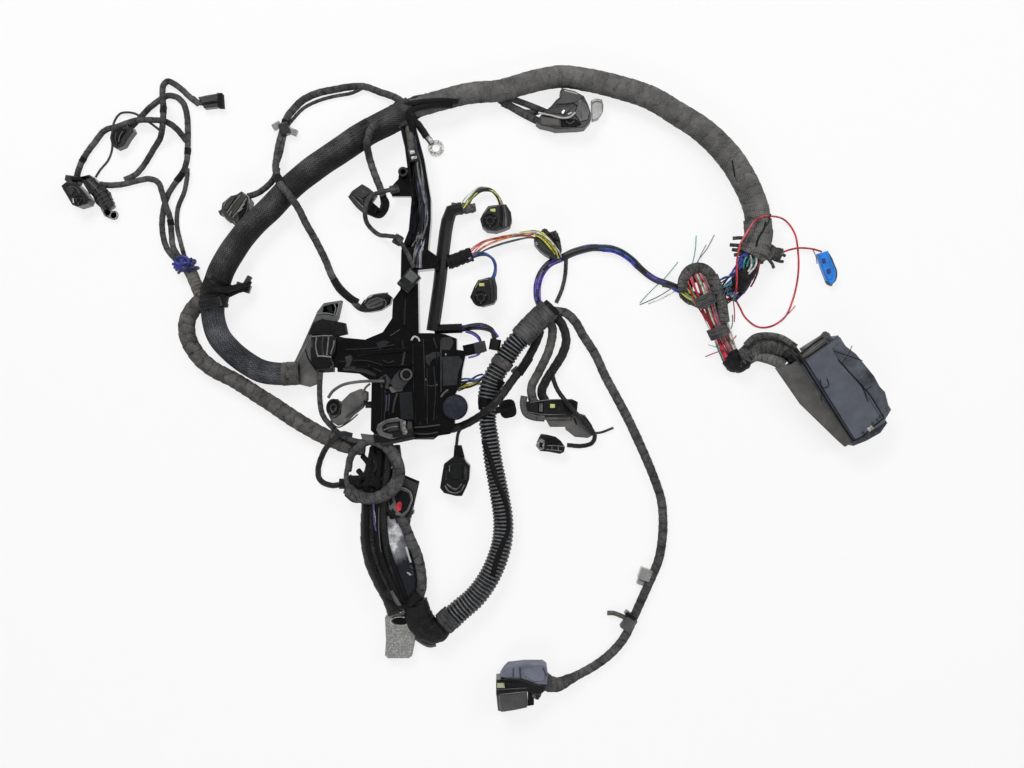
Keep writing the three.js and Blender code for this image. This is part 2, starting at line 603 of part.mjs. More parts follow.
// Tape band and clip where the sleeve turns
add('sleeve_tie_band', (grow) => {
  const band = wrapped([[-282, 116], [-284, 104]], SLEEVE_RADIUS + 1.2, SLEEVE_RADIUS + 1.2, grow);
  const arm = bar(0, 34 + grow, 8 + 2 * grow, 6 + 2 * grow, 2, 10 - grow);
  return band.add(placed(arm, [-282, 111], -2));
}, DARK_TAPE);

// Ridged conduits with their cuffs

const CONDUIT_UPPER_ROUTE = [
  [53, 64], [44, 56], [32, 39], [22, 23], [16, 10], [13, -5],
];
const CONDUIT_UPPER_CUFF = [
  [80, 92], [70, 83], [59, 72], [49, 61],
];
add('conduit_upper', (grow) => joined([
  conduit(CONDUIT_UPPER_ROUTE, CONDUIT_RADIUS, CONDUIT_RADIUS, grow),
  wrapped(CONDUIT_UPPER_CUFF, CUFF_RADIUS, CUFF_RADIUS, grow),
]), CONDUIT_PLASTIC);

const CONDUIT_LOWER_ROUTE = [
  [15, -14], [13, -28], [16, -50], [19, -72], [23, -93], [27, -115], [30, -137], [29, -159],
  [23, -181], [13, -202], [-1, -221], [-17, -235], [-28, -245],
];
const CONDUIT_LOWER_CUFF = [
  [-25, -241], [-35, -250],
];
add('conduit_lower', (grow) => joined([
  conduit(CONDUIT_LOWER_ROUTE, CONDUIT_TOP_RADIUS, CONDUIT_END_RADIUS, grow),
  wrapped(CONDUIT_LOWER_CUFF, CUFF_RADIUS, CUFF_RADIUS, grow),
  placed(bar(-12 - grow, 9 + grow, 18 + 2 * grow, 12 + 2 * grow, 4, -grow), [34, -16], 10),
]), CONDUIT_PLASTIC);

const ELBOW_ROUTE = [
  [-38, -252], [-47, -259], [-55, -251], [-59, -237], [-62, -224],
];
add('elbow_wrap', (grow) => wrapped(ELBOW_ROUTE, CUFF_RADIUS, 10, grow), DARK_TAPE);

// Branch end of the tape trunk, the bare wires and the lead to the control unit plug

const BOOT_ROUTE = [
  [306, 173], [301, 154],
];
add('trunk_end_boot', (grow) => {
  const boot = wrapped(BOOT_ROUTE, TAPE_THICK_RADIUS + 1, TAPE_THICK_RADIUS + 1, grow);
  const branch = bar(0, 27 + grow, 14 + 2 * grow, 13 + 2 * grow, 4, 6 - grow);
  return boot.add(placed(branch, [306, 158], -6));
}, CLOTH_TAPE);

const FAN_ROUTE = [
  [301, 152], [295, 138], [285, 122], [274, 108],
];
add('wire_fan', (grow) => wrapped(FAN_ROUTE, 12, BUNDLE_RADIUS, grow), DARK_TAPE);

const KNOT_ROUTE = [
  [273, 103], [258, 100], [242, 103], [230, 110], [232, 124], [241, 130], [253, 128],
  [259, 115, 10], [260, 106, 13],
];
add('bundle_knot_wrap', (grow) => wrapped(KNOT_ROUTE, KNOT_RADIUS, KNOT_RADIUS, grow), CLOTH_TAPE);

const BUNDLE_ROUTE = [
  [260, 94], [263, 81], [268, 68], [272, 54], [278, 40],
];
add('exposed_wire_bundle', (grow) => wrapped(BUNDLE_ROUTE, BUNDLE_RADIUS, BUNDLE_RADIUS, grow), RED_WIRE);

const ECU_LEAD_ROUTE = [
  [280, 37], [288, 34], [296, 44], [308, 51], [324, 52],
];
ECU_LEAD_ROUTE.push([ECU_AT[0] - 17, ECU_AT[1] + 8], [ECU_AT[0] - 4, ECU_AT[1] - 4]);
add('ecu_lead_wrap', (grow) => wrapped(ECU_LEAD_ROUTE, ECU_LEAD_RADIUS, ECU_LEAD_RADIUS, grow), DARK_TAPE);

// Leads and cords, each from its carrier to its plug

const CABLE_ROUTE = [
  [85, 91], [98, 89], [109, 79], [117, 65], [131, 43], [141, 21], [156, -7], [167, -28], [185, -67],
  [196, -94], [203, -116], [205, -138], [204, -160], [200, -182], [191, -204], [183, -222],
  [174, -242], [163, -266], [149, -283], [131, -297], [109, -309], [87, -317], [77, -320],
];
addLeads('right_cable', [[CABLE_ROUTE, CABLE_RADIUS]], CORD_TAPE);

add('blue_tie', (grow) => {
  const tie = bar(-9 - grow, 9 + grow, 5 + 2 * grow, 12 + 2 * grow, 2, -grow);
  return placed(tie, [-322, 142], 8);
}, NAVY);

const SENSOR_LEAD_UPPER_LEFT_ROUTE = [
  [-73, 313, 10], [-88, 324, 4], [-105, 331], [-122, 337], [-136, 337], [-154, 334], [-173, 330],
  [-190, 322], [-200, 312], [-207, 303], [-210, 294], [-214, 281], [-217, 268], [-217, 255, 8],
  [-215, 242, 20], [-208, 225, OVER_SLEEVE], [-198, 212, OVER_SLEEVE], [-191, 201, 20],
  [-185, 186, 8], [-176, 169], [-165, 147], [-159, 132], [-151, 118], [-140, 107], [-130, 100],
];
const RIBBED_PLUG_LEAD_ROUTE = [
  [-214, 244, 18], [-219, 235, 10], [-229, 227, 2], [-240, 220], [-250, 217],
];
const SENSOR_PAIR_ROUTE = [
  [-123, 336, 2], [-136, 330, 2], [-155, 327], [-173, 322], [-189, 314], [-199, 304],
  [-206, 294, 2], [-210, 278, 4], [-212, 262, 9], [-216, 249, 12],
];
addLeads('sensor_lead_upper_left', [
  [SENSOR_LEAD_UPPER_LEFT_ROUTE, CORD_RADIUS],
  [RIBBED_PLUG_LEAD_ROUTE, RIBBED_LEAD_RADIUS],
  [SENSOR_PAIR_ROUTE, PAIR_CORD_RADIUS],
], CORD_TAPE);
const UPPER_SENSOR_LEAD_ROUTE = [
  [-104, 291, OVER_SLEEVE], [-111, 284, OVER_SLEEVE], [-116, 271, 24], [-117, 262, 6], [-115, 253],
  [-111, 241], [-105, 226], [-101, 213], [-102, 203], [-108, 197],
];
addLeads('upper_sensor_lead', [[UPPER_SENSOR_LEAD_ROUTE, CORD_RADIUS]], CORD_TAPE);
const THIN_BRANCH_LEAD_ROUTE = [
  [-83, 222, 15], [-93, 221, 16], [-103, 218, 19], [-112, 213, 24], [-117, 205, 24],
  [-119, 193, 20], [-117, 184, 6], [-107, 175, 2], [-95, 172, 12], [-84, 168, OVER_DUCT],
  [-78, 160, OVER_DUCT], [-71, 148, OVER_DUCT], [-66, 136, OVER_DUCT],
];
addLeads('thin_branch_lead', [[THIN_BRANCH_LEAD_ROUTE, THIN_LEAD_RADIUS]], CORD_TAPE);
const RING_TERMINAL_LEAD_ROUTE = [
  [-69, 298, 14], [-63, 294, 8], [-58, 288], [-54, 282],
];
addLeads('ring_terminal_lead', [[RING_TERMINAL_LEAD_ROUTE, CORD_RADIUS]], CORD_TAPE);

// Cords on the far left
const LEFT_CORD_OUTER_ROUTE = [
  [-327, 145], [-339, 160], [-344, 180], [-343, 200], [-338, 218], [-330, 231], [-321, 244],
  [-317, 257], [-316, 273], [-316, 290], [-317, 306], [-321, 319], [-329, 326], [-339, 327],
  [-349, 321], [-360, 312], [-368, 303], [-377, 294], [-385, 283],
];
const LEFT_CORD_MIDDLE_ROUTE = [
  [-322, 145], [-332, 161], [-334, 178], [-335, 193, 2], [-338, 206, OVER_LEFT],
  [-342, 220, OVER_LEFT], [-347, 231, 4], [-358, 236], [-371, 234], [-388, 230], [-404, 229],
  [-412, 230],
];
const LEFT_CORD_TO_BLOCK_ROUTE = [
  [-316, 276], [-327, 290, OVER_LEFT], [-338, 297, OVER_LEFT], [-355, 299, OVER_LEFT],
  [-372, 298, OVER_LEFT], [-390, 292, OVER_LEFT], [-407, 289], [-418, 276], [-427, 264],
  [-434, 251], [-438, 238],
];
const LEFT_THIN_CORD_ROUTE = [
  [-345, 288, 4], [-354, 295, OVER_LEFT], [-365, 302, OVER_LEFT], [-373, 307, 4], [-383, 309, 2],
  [-391, 308], [-395, 297, OVER_LEFT], [-398, 288, 4], [-400, 268], [-404, 257], [-413, 246],
  [-418, 238],
];
const LEFT_THIRD_CORD_ROUTE = [
  [-318, 145, 1], [-324, 166], [-328, 184], [-327, 204], [-320, 222], [-316, 239, 3],
  [-316, 247, 3],
];
addLeads('left_cord_outer', [
  [LEFT_CORD_OUTER_ROUTE, LEFT_CORD_RADIUS],
  [LEFT_CORD_TO_BLOCK_ROUTE, LEFT_CORD_RADIUS],
  [LEFT_THIRD_CORD_ROUTE, LEFT_THIRD_RADIUS],
  [LEFT_THIN_CORD_ROUTE, LEFT_THIN_RADIUS],
], CORD_TAPE);
const LEFT_CORD_TO_SENSOR_ROUTE = [
  [-385, 235], [-373, 241], [-365, 250], [-358, 261], [-352, 271], [-345, 280, 4],
  [-339, 295, OVER_LEFT_PAIR], [-339, 311, 12], [-343, 327, 2], [-343, 338], [-338, 343],
  [-325, 336], [-314, 326], [-304, 318],
];
addLeads('left_cord_middle', [
  [LEFT_CORD_MIDDLE_ROUTE, LEFT_CORD_RADIUS],
  [LEFT_CORD_TO_SENSOR_ROUTE, LEFT_CORD_RADIUS],
], CORD_TAPE);

// Loops round the lower end of the duct
const BRACKET_PLUG_LEAD_ROUTE = [
  [-168, 24, 14], [-169, 15, 12], [-171, 4, 3], [-171, -9], [-168, -23], [-158, -36],
  [-141, -46, OVER_LOOM], [-127, -51, OVER_LOOM], [-111, -50, OVER_DUCT], [-102, -47, OVER_DUCT],
];
const LOOP_PLUG_LEAD_ROUTE = [
  [-133, -45, OVER_LOOM], [-144, -43, OVER_LOOM], [-154, -50, 16], [-167, -64], [-173, -83],
  [-171, -94], [-160, -100], [-145, -99],
];
const COILED_RING_LEAD_ROUTE = [
  [-139, -83, 6], [-135, -68, 14], [-126, -57, 21], [-113, -51, 26], [-100, -55, 26],
  [-90, -66, 24], [-86, -82, 15], [-87, -92, 22], [-96, -103, 24], [-111, -110, 24],
  [-126, -107, 24], [-136, -101, 15],
];
addLeads('duct_side_leads', [
  [BRACKET_PLUG_LEAD_ROUTE, BRACKET_LEAD_RADIUS],
  [LOOP_PLUG_LEAD_ROUTE, LOOP_LEAD_RADIUS],
  [COILED_RING_LEAD_ROUTE, CORD_RADIUS],
], CORD_TAPE);
const FILM_SIDE_LEAD_ROUTE = [
  [-82, -135], [-78, -145], [-70, -160], [-64, -176], [-61, -193], [-60, -209], [-61, -223],
];
addLeads('film_side_lead', [[FILM_SIDE_LEAD_ROUTE, CABLE_RADIUS]], DARK_TAPE);
const SIDE_LOOM_ROUTE = [
  [-30, -39, 8], [-22, -37, 2], [-11, -33], [3, -25, 6], [16, -15, OVER_CONDUIT],
  [27, -3, OVER_CONDUIT], [40, 15, 14], [54, 34], [66, 56], [71, 70],
];
const FLAT_STRAP_LEAD_ROUTE = [
  [80, 83], [84, 70], [80, 48], [70, 26], [61, 7], [64, -9], [72, -15],
];
addLeads('flat_strap_lead', [[FLAT_STRAP_LEAD_ROUTE, STRAP_RADIUS]], CLOTH_TAPE);
const STRAP_LEAD_BLACK_ROUTE = [
  [88, 85], [95, 75], [99, 59], [95, 44], [86, 29], [77, 15], [72, 2], [76, -8],
];
const SILVER_PLUG_LEAD_ROUTE = [
  [87, 35, 10], [84, 22, 6], [88, 7, 9], [98, -8, 18], [111, -23, 18], [124, -37, 16],
  [130, -46, 6], [127, -54], [116, -57], [100, -56],
];
addLeads('strap_lead_black', [
  [STRAP_LEAD_BLACK_ROUTE, STRAP_RADIUS],
  [SILVER_PLUG_LEAD_ROUTE, THIN_LEAD_RADIUS],
], DARK_TAPE);
const INJECTOR_LEAD_ROUTE = [
  [-13, -34, 3], [-19, -42], [-21, -53], [-22, -70],
];
addLeads('side_loom', [
  [SIDE_LOOM_ROUTE, SIDE_LOOM_RADIUS],
  [INJECTOR_LEAD_ROUTE, COIL_WIRE_RADIUS],
], DARK_TAPE);
const VIOLET_BUNDLE_ROUTE = [
  [70, 96, 8], [67, 106], [67, 120], [71, 132], [80, 143], [92, 149], [109, 156], [125, 160],
  [136, 160], [153, 158], [169, 149], [180, 138], [196, 126], [213, 120], [227, 114],
];
const THIN_GREY_CORD_ROUTE = [
  [99, 152], [98, 131], [94, 114], [88, 100],
];
addLeads('violet_bundle', [
  [VIOLET_BUNDLE_ROUTE, VIOLET_RADIUS],
  [THIN_GREY_CORD_ROUTE, FINE_CORD_RADIUS],
], VIOLET_WIRE);
const BRANCH_PLUG_LEAD_ROUTE = [
  [29, 319], [41, 314], [56, 308], [71, 311],
];
addLeads('branch_plug_lead', [[BRANCH_PLUG_LEAD_ROUTE, CORD_RADIUS]], CORD_TAPE);
const COIL_LEAD_UPPER_ROUTE = [
  [-17, 204, 5], [-10, 206, 6], [-4, 215, 6], [6, 223, 8], [16, 223, 8], [24, 215, 8], [28, 203, 8],
];
addLeads('coil_lead_upper', [[COIL_LEAD_UPPER_ROUTE, COIL_WIRE_RADIUS]], VIOLET_WIRE);
const COIL_LEAD_MIDDLE_ROUTE = [
  [-6, 151, 6], [5, 154, 6], [16, 150, 6], [21, 139, 6], [18, 126, 6],
];
const COIL_LEAD_BRANCH_ROUTE = [
  [-1, 153, 6], [8, 160, 9], [21, 166, 12], [43, 172, 12], [57, 172, 12], [70, 168, 10],
];
addLeads('coil_leads', [
  [COIL_LEAD_MIDDLE_ROUTE, COIL_WIRE_RADIUS],
  [COIL_LEAD_BRANCH_ROUTE, COIL_WIRE_RADIUS],
], VIOLET_WIRE);
const RED_WIRE_LOOP_ROUTE = [
  [282, 105, 10], [281, 117, 27], [280, 141, 33], [283, 159, 34], [292, 175, 34], [301, 187, 33],
  [318, 192, 22], [339, 190, 4], [350, 177], [354, 156], [354, 131], [348, 103], [339, 84],
  [323, 74], [309, 74], [296, 84], [290, 95], [286, 102, 1],
];
addLeads('red_wire_loop', [[RED_WIRE_LOOP_ROUTE, WIRE_RADIUS]], RED_WIRE);
const BLUE_PLUG_WIRE_ROUTE = [
  [330, 153, 8], [344, 158, 6], [355, 160, 4], [368, 159, 4], [379, 156, 4],
];
addLeads('blue_plug_wire', [[BLUE_PLUG_WIRE_ROUTE, WIRE_RADIUS]], RED_WIRE);

// The middle of the floor print is the origin

const box = new THREE.Box3().setFromObject(harness);
const middle = box.getCenter(new THREE.Vector3());
harness.position.set(-middle.x, -middle.y, -box.min.z);
harness.updateMatrixWorld(true);

export default harness;
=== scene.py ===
"""Engine wiring harness laid flat, seen from straight above.

Lengths are in metres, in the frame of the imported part: +X to the right, +Y up the picture, +Z off the floor.
"""

import json
import math
import random

import bpy
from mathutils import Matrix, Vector

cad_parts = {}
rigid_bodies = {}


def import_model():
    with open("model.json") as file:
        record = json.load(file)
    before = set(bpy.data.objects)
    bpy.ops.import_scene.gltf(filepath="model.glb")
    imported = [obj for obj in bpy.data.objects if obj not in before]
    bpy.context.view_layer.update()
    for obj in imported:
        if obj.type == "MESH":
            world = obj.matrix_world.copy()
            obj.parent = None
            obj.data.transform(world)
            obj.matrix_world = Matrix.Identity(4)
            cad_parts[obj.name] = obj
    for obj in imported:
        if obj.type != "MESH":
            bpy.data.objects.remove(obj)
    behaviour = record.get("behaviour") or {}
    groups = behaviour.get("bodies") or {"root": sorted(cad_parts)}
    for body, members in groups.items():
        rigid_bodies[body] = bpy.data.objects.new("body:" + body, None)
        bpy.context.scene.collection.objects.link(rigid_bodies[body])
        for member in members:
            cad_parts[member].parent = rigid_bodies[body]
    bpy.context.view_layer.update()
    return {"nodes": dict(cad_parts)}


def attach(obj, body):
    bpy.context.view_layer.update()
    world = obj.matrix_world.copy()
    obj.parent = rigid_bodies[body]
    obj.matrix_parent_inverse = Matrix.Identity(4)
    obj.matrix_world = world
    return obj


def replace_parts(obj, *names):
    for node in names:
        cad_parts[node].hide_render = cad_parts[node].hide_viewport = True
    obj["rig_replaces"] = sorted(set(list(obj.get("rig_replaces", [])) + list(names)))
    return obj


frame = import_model()

ROOT = "root"
PRINT_MIDDLE = Vector((-0.00134, 0.00565, 0.0))  # middle of the floor print, in the routes' own places
SLEEVE_RADIUS = 0.014
SLEEVE_END_RADIUS = 0.0125
TAPE_THIN_RADIUS = 0.011
TAPE_THICK_RADIUS = 0.0145
LOOM_RADIUS = 0.009
STUB_RADIUS = 0.007
LOWER_LOOM_RADIUS = 0.0105
CONDUIT_RADIUS = 0.0115
CONDUIT_TOP_RADIUS = 0.0095
CONDUIT_END_RADIUS = 0.013
CONDUIT_PITCH = 0.0041
CUFF_RADIUS = 0.013
BUNDLE_RADIUS = 0.010
ECU_LEAD_RADIUS = 0.0095
DUCT_HEIGHT = 0.022
WIRE_RADIUS = 0.0011

# Camera: straight above the floor, as the photograph was taken

CAMERA_HEIGHT = 1.2
CAMERA_OVER = Vector((0.0396, 0.011, 0.0)) - PRINT_MIDDLE
PIXEL_SIZE = 0.0011  # on the floor
PICTURE_WIDTH = 1024

camera_data = bpy.data.cameras.new("camera")
camera_data.sensor_width = 36.0
camera_data.lens = 36.0 * CAMERA_HEIGHT / (PIXEL_SIZE * PICTURE_WIDTH)
camera = bpy.data.objects.new("camera", camera_data)
camera.location = CAMERA_OVER + Vector((0.0, 0.0, CAMERA_HEIGHT))
bpy.context.scene.collection.objects.link(camera)
bpy.context.scene.camera = camera


# Materials

def new_material(name, roughness=0.6, metallic=0.0, shine=0.5):
    material = bpy.data.materials.new(name)
    material.use_nodes = True
    tree = material.node_tree
    shader = tree.nodes["Principled BSDF"]
    shader.inputs["Roughness"].default_value = roughness
    shader.inputs["Metallic"].default_value = metallic
    shader.inputs["Specular IOR Level"].default_value = shine
    return material, tree, shader


class Graph:
    """Short calls for the nodes of one material."""

    def __init__(self, tree):
        self.tree = tree
        self.coordinates = tree.nodes.new("ShaderNodeTexCoord")

    def link(self, source, target):
        self.tree.links.new(source, target)

    def value(self, socket, given):
        if isinstance(given, (int, float)):
            socket.default_value = given
        else:
            self.link(given, socket)

    def math(self, operation, first, second=0.0, third=None):
        node = self.tree.nodes.new("ShaderNodeMath")
        node.operation = operation
        self.value(node.inputs[0], first)
        self.value(node.inputs[1], second)
        if third is not None:
            self.value(node.inputs[2], third)
        return node.outputs[0]

    def noise(self, scale, detail=3.0, roughness=0.55, vector=None):
        node = self.tree.nodes.new("ShaderNodeTexNoise")
        node.inputs["Scale"].default_value = scale
        node.inputs["Detail"].default_value = detail
        node.inputs["Roughness"].default_value = roughness
        self.link(vector or self.coordinates.outputs["Object"], node.inputs["Vector"])
        return node.outputs["Fac"]

    def cells(self, scale, vector=None):
        node = self.tree.nodes.new("ShaderNodeTexVoronoi")
        node.inputs["Scale"].default_value = scale
        self.link(vector or self.coordinates.outputs["Object"], node.inputs["Vector"])
        return node.outputs["Distance"]

    def ramp(self, factor, stops):
        node = self.tree.nodes.new("ShaderNodeValToRGB")
        elements = node.color_ramp.elements
        while len(elements) < len(stops):
            elements.new(0.5)
        for element, (place, colour) in zip(elements, stops):
            element.position = place
            element.color = (*colour, 1.0)
        self.link(factor, node.inputs["Fac"])
        return node.outputs["Color"]

    def mix(self, factor, first, second, blend="MIX"):
        node = self.tree.nodes.new("ShaderNodeMix")
        node.data_type = "RGBA"
        node.blend_type = blend
        self.value(node.inputs["Factor"], factor)
        for index, given in ((6, first), (7, second)):
            if isinstance(given, tuple):
                node.inputs[index].default_value = (*given, 1.0)
            else:
                self.link(given, node.inputs[index])
        return node.outputs[2]

    def bump(self, shader, height, distance, strength=1.0):
        node = self.tree.nodes.new("ShaderNodeBump")
        node.inputs["Distance"].default_value = distance
        node.inputs["Strength"].default_value = strength
        self.link(height, node.inputs["Height"])
        self.link(node.outputs["Normal"], shader.inputs["Normal"])

    def along(self):
        """UV of a lofted piece: turns round it, and metres along it."""
        node = self.tree.nodes.new("ShaderNodeSeparateXYZ")
        self.link(self.coordinates.outputs["UV"], node.inputs[0])
        return node.outputs[0], node.outputs[1]


def linear(r, g, b):
    """A display colour of 0 to 255 as the linear one that renders as it."""
    return tuple(pow((c / 255 + 0.055) / 1.055, 2.4) if c > 10 else c / 255 / 12.92 for c in (r, g, b))


def shaded(rgb, factor):
    return linear(*(min(255.0, c * factor) for c in rgb))


def moulded(name, rgb, roughness=0.45, grain=900.0, spread=0.25, coat=0.0, dust=0.0, shine=0.4):
    """Moulded plastic: fine grain, cloudy tone, scuffs and dust in patches."""
    material, tree, shader = new_material(name, roughness, 0.0, shine)
    graph = Graph(tree)
    cloud = graph.noise(60.0, 4.0)
    colour = graph.ramp(cloud, [(0.3, shaded(rgb, 1 - spread)), (0.7, shaded(rgb, 1 + spread))])
    if dust > 0:
        patch = graph.ramp(graph.noise(260.0, 6.0, 0.75), [(0.55, (0, 0, 0)), (0.74, (dust, dust, dust))])
        colour = graph.mix(patch, colour, linear(150, 148, 142))
    graph.link(colour, shader.inputs["Base Color"])
    rough = graph.math("MULTIPLY_ADD", graph.noise(220.0), 0.3, roughness - 0.12)
    graph.link(rough, shader.inputs["Roughness"])
    shader.inputs["Coat Weight"].default_value = coat
    shader.inputs["Coat Roughness"].default_value = 0.12
    graph.bump(shader, graph.noise(grain, 2.0), 0.00012, 0.5)
    return material


def ridged_plastic(name, groove, flank, crest, pitch):
    """Ridged conduit: painted shade in the grooves, painted highlight on the crests, dull patches along it."""
    material, tree, shader = new_material(name, 0.42, 0.0, 0.35)
    graph = Graph(tree)
    _, run = graph.along()
    # The tone follows the ridges: dark in the grooves as painted shade, pale on the crests as painted highlight.
    wave = graph.math("COSINE", graph.math("MULTIPLY", run, math.tau / pitch))
    tone = graph.math("MULTIPLY_ADD", wave, -0.36, 0.5)
    rub = graph.noise(70.0, 4.0, 0.6)
    tone = graph.math("MULTIPLY_ADD", graph.math("SUBTRACT", rub, 0.5), 0.5, tone)
    colour = graph.ramp(tone, [(0.30, linear(*groove)), (0.62, linear(*flank)), (0.90, linear(*crest))])
    graph.link(colour, shader.inputs["Base Color"])
    graph.bump(shader, graph.noise(700.0, 2.0), 0.0001, 0.4)
    return material


def braided(name, rgb, strands=34, pitch=0.010, side_shade=0.0):
    """Woven sleeve: strands that cross round the tube, pale threads, dark patches and one side darkened as painted
    shade.
    """
    material, tree, shader = new_material(name, 0.7, 0.0, 0.2)
    graph = Graph(tree)
    turn, run = graph.along()
    across = graph.math("MULTIPLY", turn, strands)
    forward = graph.math("MULTIPLY", run, 2.2 / pitch)
    first = graph.math("SINE", graph.math("MULTIPLY", graph.math("ADD", across, forward), math.tau))
    second = graph.math("SINE", graph.math("MULTIPLY", graph.math("SUBTRACT", across, forward), math.tau))
    weave = graph.math("MAXIMUM", first, second)
    threads = graph.math("SINE", graph.math("MULTIPLY", turn, 22 * math.tau))
    patch = graph.noise(38.0, 5.0, 0.65)
    speck = graph.noise(1100.0, 2.0, 0.7)
    tone = graph.math("MULTIPLY_ADD", weave, 0.10, graph.math("MULTIPLY", patch, 0.80))
    tone = graph.math("MULTIPLY_ADD", threads, 0.03, tone)
    tone = graph.math("MULTIPLY_ADD", speck, 0.30, tone)
    # Painted shade: one side of the sleeve, round turn 0, is darkened.
    side_shade_mask = graph.math("MAXIMUM", graph.math("COSINE", graph.math("MULTIPLY", turn, math.tau)), 0.0)
    tone = graph.math("SUBTRACT", tone, graph.math("MULTIPLY", side_shade_mask, side_shade))
    colour = graph.ramp(tone, [(0.34, shaded(rgb, 0.35)), (0.55, shaded(rgb, 1.0)), (0.78, shaded(rgb, 2.0))])
    graph.link(colour, shader.inputs["Base Color"])
    graph.bump(shader, graph.math("MULTIPLY_ADD", threads, 0.25, weave), 0.0004, 0.8)
    return material


def cloth_tape(name, rgb, spread=0.28, roughness=0.9, shine=0.0, crease=0.013, crease_shade_depth=0.24):
    """Wound cloth tape: fine threads, creases across it darkened as painted shade, rubbed light and dirty dark patches.
    """
    material, tree, shader = new_material(name, roughness, 0.0, 0.15 + 0.5 * shine)
    graph = Graph(tree)
    turn, run = graph.along()
    thread = graph.math("SINE", graph.math("MULTIPLY", run, 3400.0))
    thread2 = graph.math("SINE", graph.math("MULTIPLY", turn, 260.0))
    threads = graph.math("ADD", thread, thread2)
    patch = graph.noise(60.0, 6.0, 0.65)
    speck = graph.noise(1300.0, 2.0, 0.65)
    sway = graph.noise(90.0, 2.0)
    lap = graph.math("FRACT", graph.math("ADD", graph.math("MULTIPLY", run, 1 / crease),
                                         graph.math("MULTIPLY", sway, 1.6)))
    fold = graph.math("POWER", lap, 14.0)
    tone = graph.math("ADD", graph.math("MULTIPLY", patch, 0.62), graph.math("MULTIPLY", speck, 0.38))
    tone = graph.math("MULTIPLY_ADD", threads, 0.03, tone)
    # Painted shade: the colour is darkened along each crease.
    tone = graph.math("SUBTRACT", tone, graph.math("MULTIPLY", fold, crease_shade_depth))
    colour = graph.ramp(tone, [
        (0.24, shaded(rgb, 0.28)), (0.40, shaded(rgb, 1 - spread)), (0.52, shaded(rgb, 1.0)),
        (0.68, shaded(rgb, 1 + 1.3 * spread)),
    ])
    graph.link(colour, shader.inputs["Base Color"])
    height = graph.math("ADD", graph.math("MULTIPLY", threads, 0.3), graph.math("MULTIPLY", patch, 1.5))
    height = graph.math("SUBTRACT", height, graph.math("MULTIPLY", fold, 1.2))
    graph.bump(shader, height, 0.0005, 0.8)
    shader.inputs["Coat Weight"].default_value = shine
    shader.inputs["Coat Roughness"].default_value = 0.3
    return material


def painted_glare_film(name, rgb, x, y, reach):
    """Smooth dark film with a pale glare painted round one place: a painted highlight where the film faces the light.
    """
    material, tree, shader = new_material(name, 0.12, 0.0, 0.6)
    graph = Graph(tree)
    split = tree.nodes.new("ShaderNodeSeparateXYZ")
    graph.link(graph.coordinates.outputs["Object"], split.inputs[0])
    middle = Vector((x, y, 0.0)) - PRINT_MIDDLE
    across = graph.math("MULTIPLY", graph.math("SUBTRACT", split.outputs[0], middle.x), 1.7 / reach)
    down = graph.math("MULTIPLY", graph.math("SUBTRACT", split.outputs[1], middle.y), 1.0 / reach)
    distance = graph.math("ADD", graph.math("MULTIPLY", across, across), graph.math("MULTIPLY", down, down))
    cloud = graph.noise(90.0, 4.0, 0.6)
    tone = graph.math("MULTIPLY_ADD", cloud, 0.9, distance)
    colour = graph.ramp(tone, [(0.42, linear(232, 233, 235)), (0.60, linear(128, 129, 133)),
                               (0.86, linear(72, 75, 82)), (1.0, shaded(rgb, 1.0))])
    graph.link(colour, shader.inputs["Base Color"])
    graph.bump(shader, cloud, 0.002, 0.6)
    shader.inputs["Coat Weight"].default_value = 0.8
    return material


def insulation(name, rgb, roughness=0.35):
    """Smooth wire insulation with a little grime."""
    material, tree, shader = new_material(name, roughness, 0.0, 0.35)
    graph = Graph(tree)
    colour = graph.ramp(graph.noise(160.0, 3.0), [(0.35, shaded(rgb, 0.62)), (0.6, shaded(rgb, 1.05))])
    graph.link(colour, shader.inputs["Base Color"])
    graph.bump(shader, graph.noise(900.0), 0.00005, 0.4)
    return material


def rough_metal(name, rgb, roughness, grain, depth):
    material, tree, shader = new_material(name, roughness, 0.85)
    graph = Graph(tree)
    speck = graph.noise(grain, 5.0, 0.7)
    colour = graph.ramp(speck, [(0.3, shaded(rgb, 0.55)), (0.5, shaded(rgb, 1.0)), (0.75, shaded(rgb, 1.5))])
    graph.link(colour, shader.inputs["Base Color"])
    graph.link(graph.math("MULTIPLY_ADD", speck, 0.4, roughness - 0.2), shader.inputs["Roughness"])
    graph.bump(shader, speck, depth, 0.8)
    return material


GLOSS = moulded("gloss_duct", (9, 9, 11), 0.16, 400.0, 0.35, 0.5, 0.0, 0.3)
DUCT_PANEL = moulded("duct_panel", (22, 25, 29), 0.4, 500.0, 0.3, 0.1, 0.1, 0.3)
DUCT_PALE = moulded("duct_pale", (33, 35, 36), 0.45, 500.0, 0.25, 0.0, 0.15, 0.3)
RAIL = moulded("rail_plastic", (9, 9, 10), 0.5, 400.0, 0.4, 0.05, 0.06, 0.2)
BLACK = moulded("black_plastic", (17, 18, 19), 0.32, 900.0, 0.3, 0.25, 0.10, 0.35)
BLACK_SOFT = moulded("black_rubber", (10, 10, 11), 0.6, 700.0, 0.3, 0.0, 0.0, 0.15)
GREY = moulded("grey_plastic", (84, 85, 86), 0.5, 900.0, 0.18, 0.0, 0.15, 0.3)
DARK_GREY = moulded("dark_grey_plastic", (44, 44, 46), 0.45, 900.0, 0.22, 0.1, 0.2, 0.3)
OLIVE = moulded("olive_grey_plastic", (62, 61, 54), 0.4, 900.0, 0.25, 0.15, 0.2, 0.35)
ECU = moulded("ecu_plastic", (80, 84, 94), 0.5, 900.0, 0.10, 0.0, 0.10, 0.3)
ECU_SIDE = moulded("ecu_side_plastic", (80, 79, 77), 0.6, 900.0, 0.16, 0.0, 0.2, 0.2)
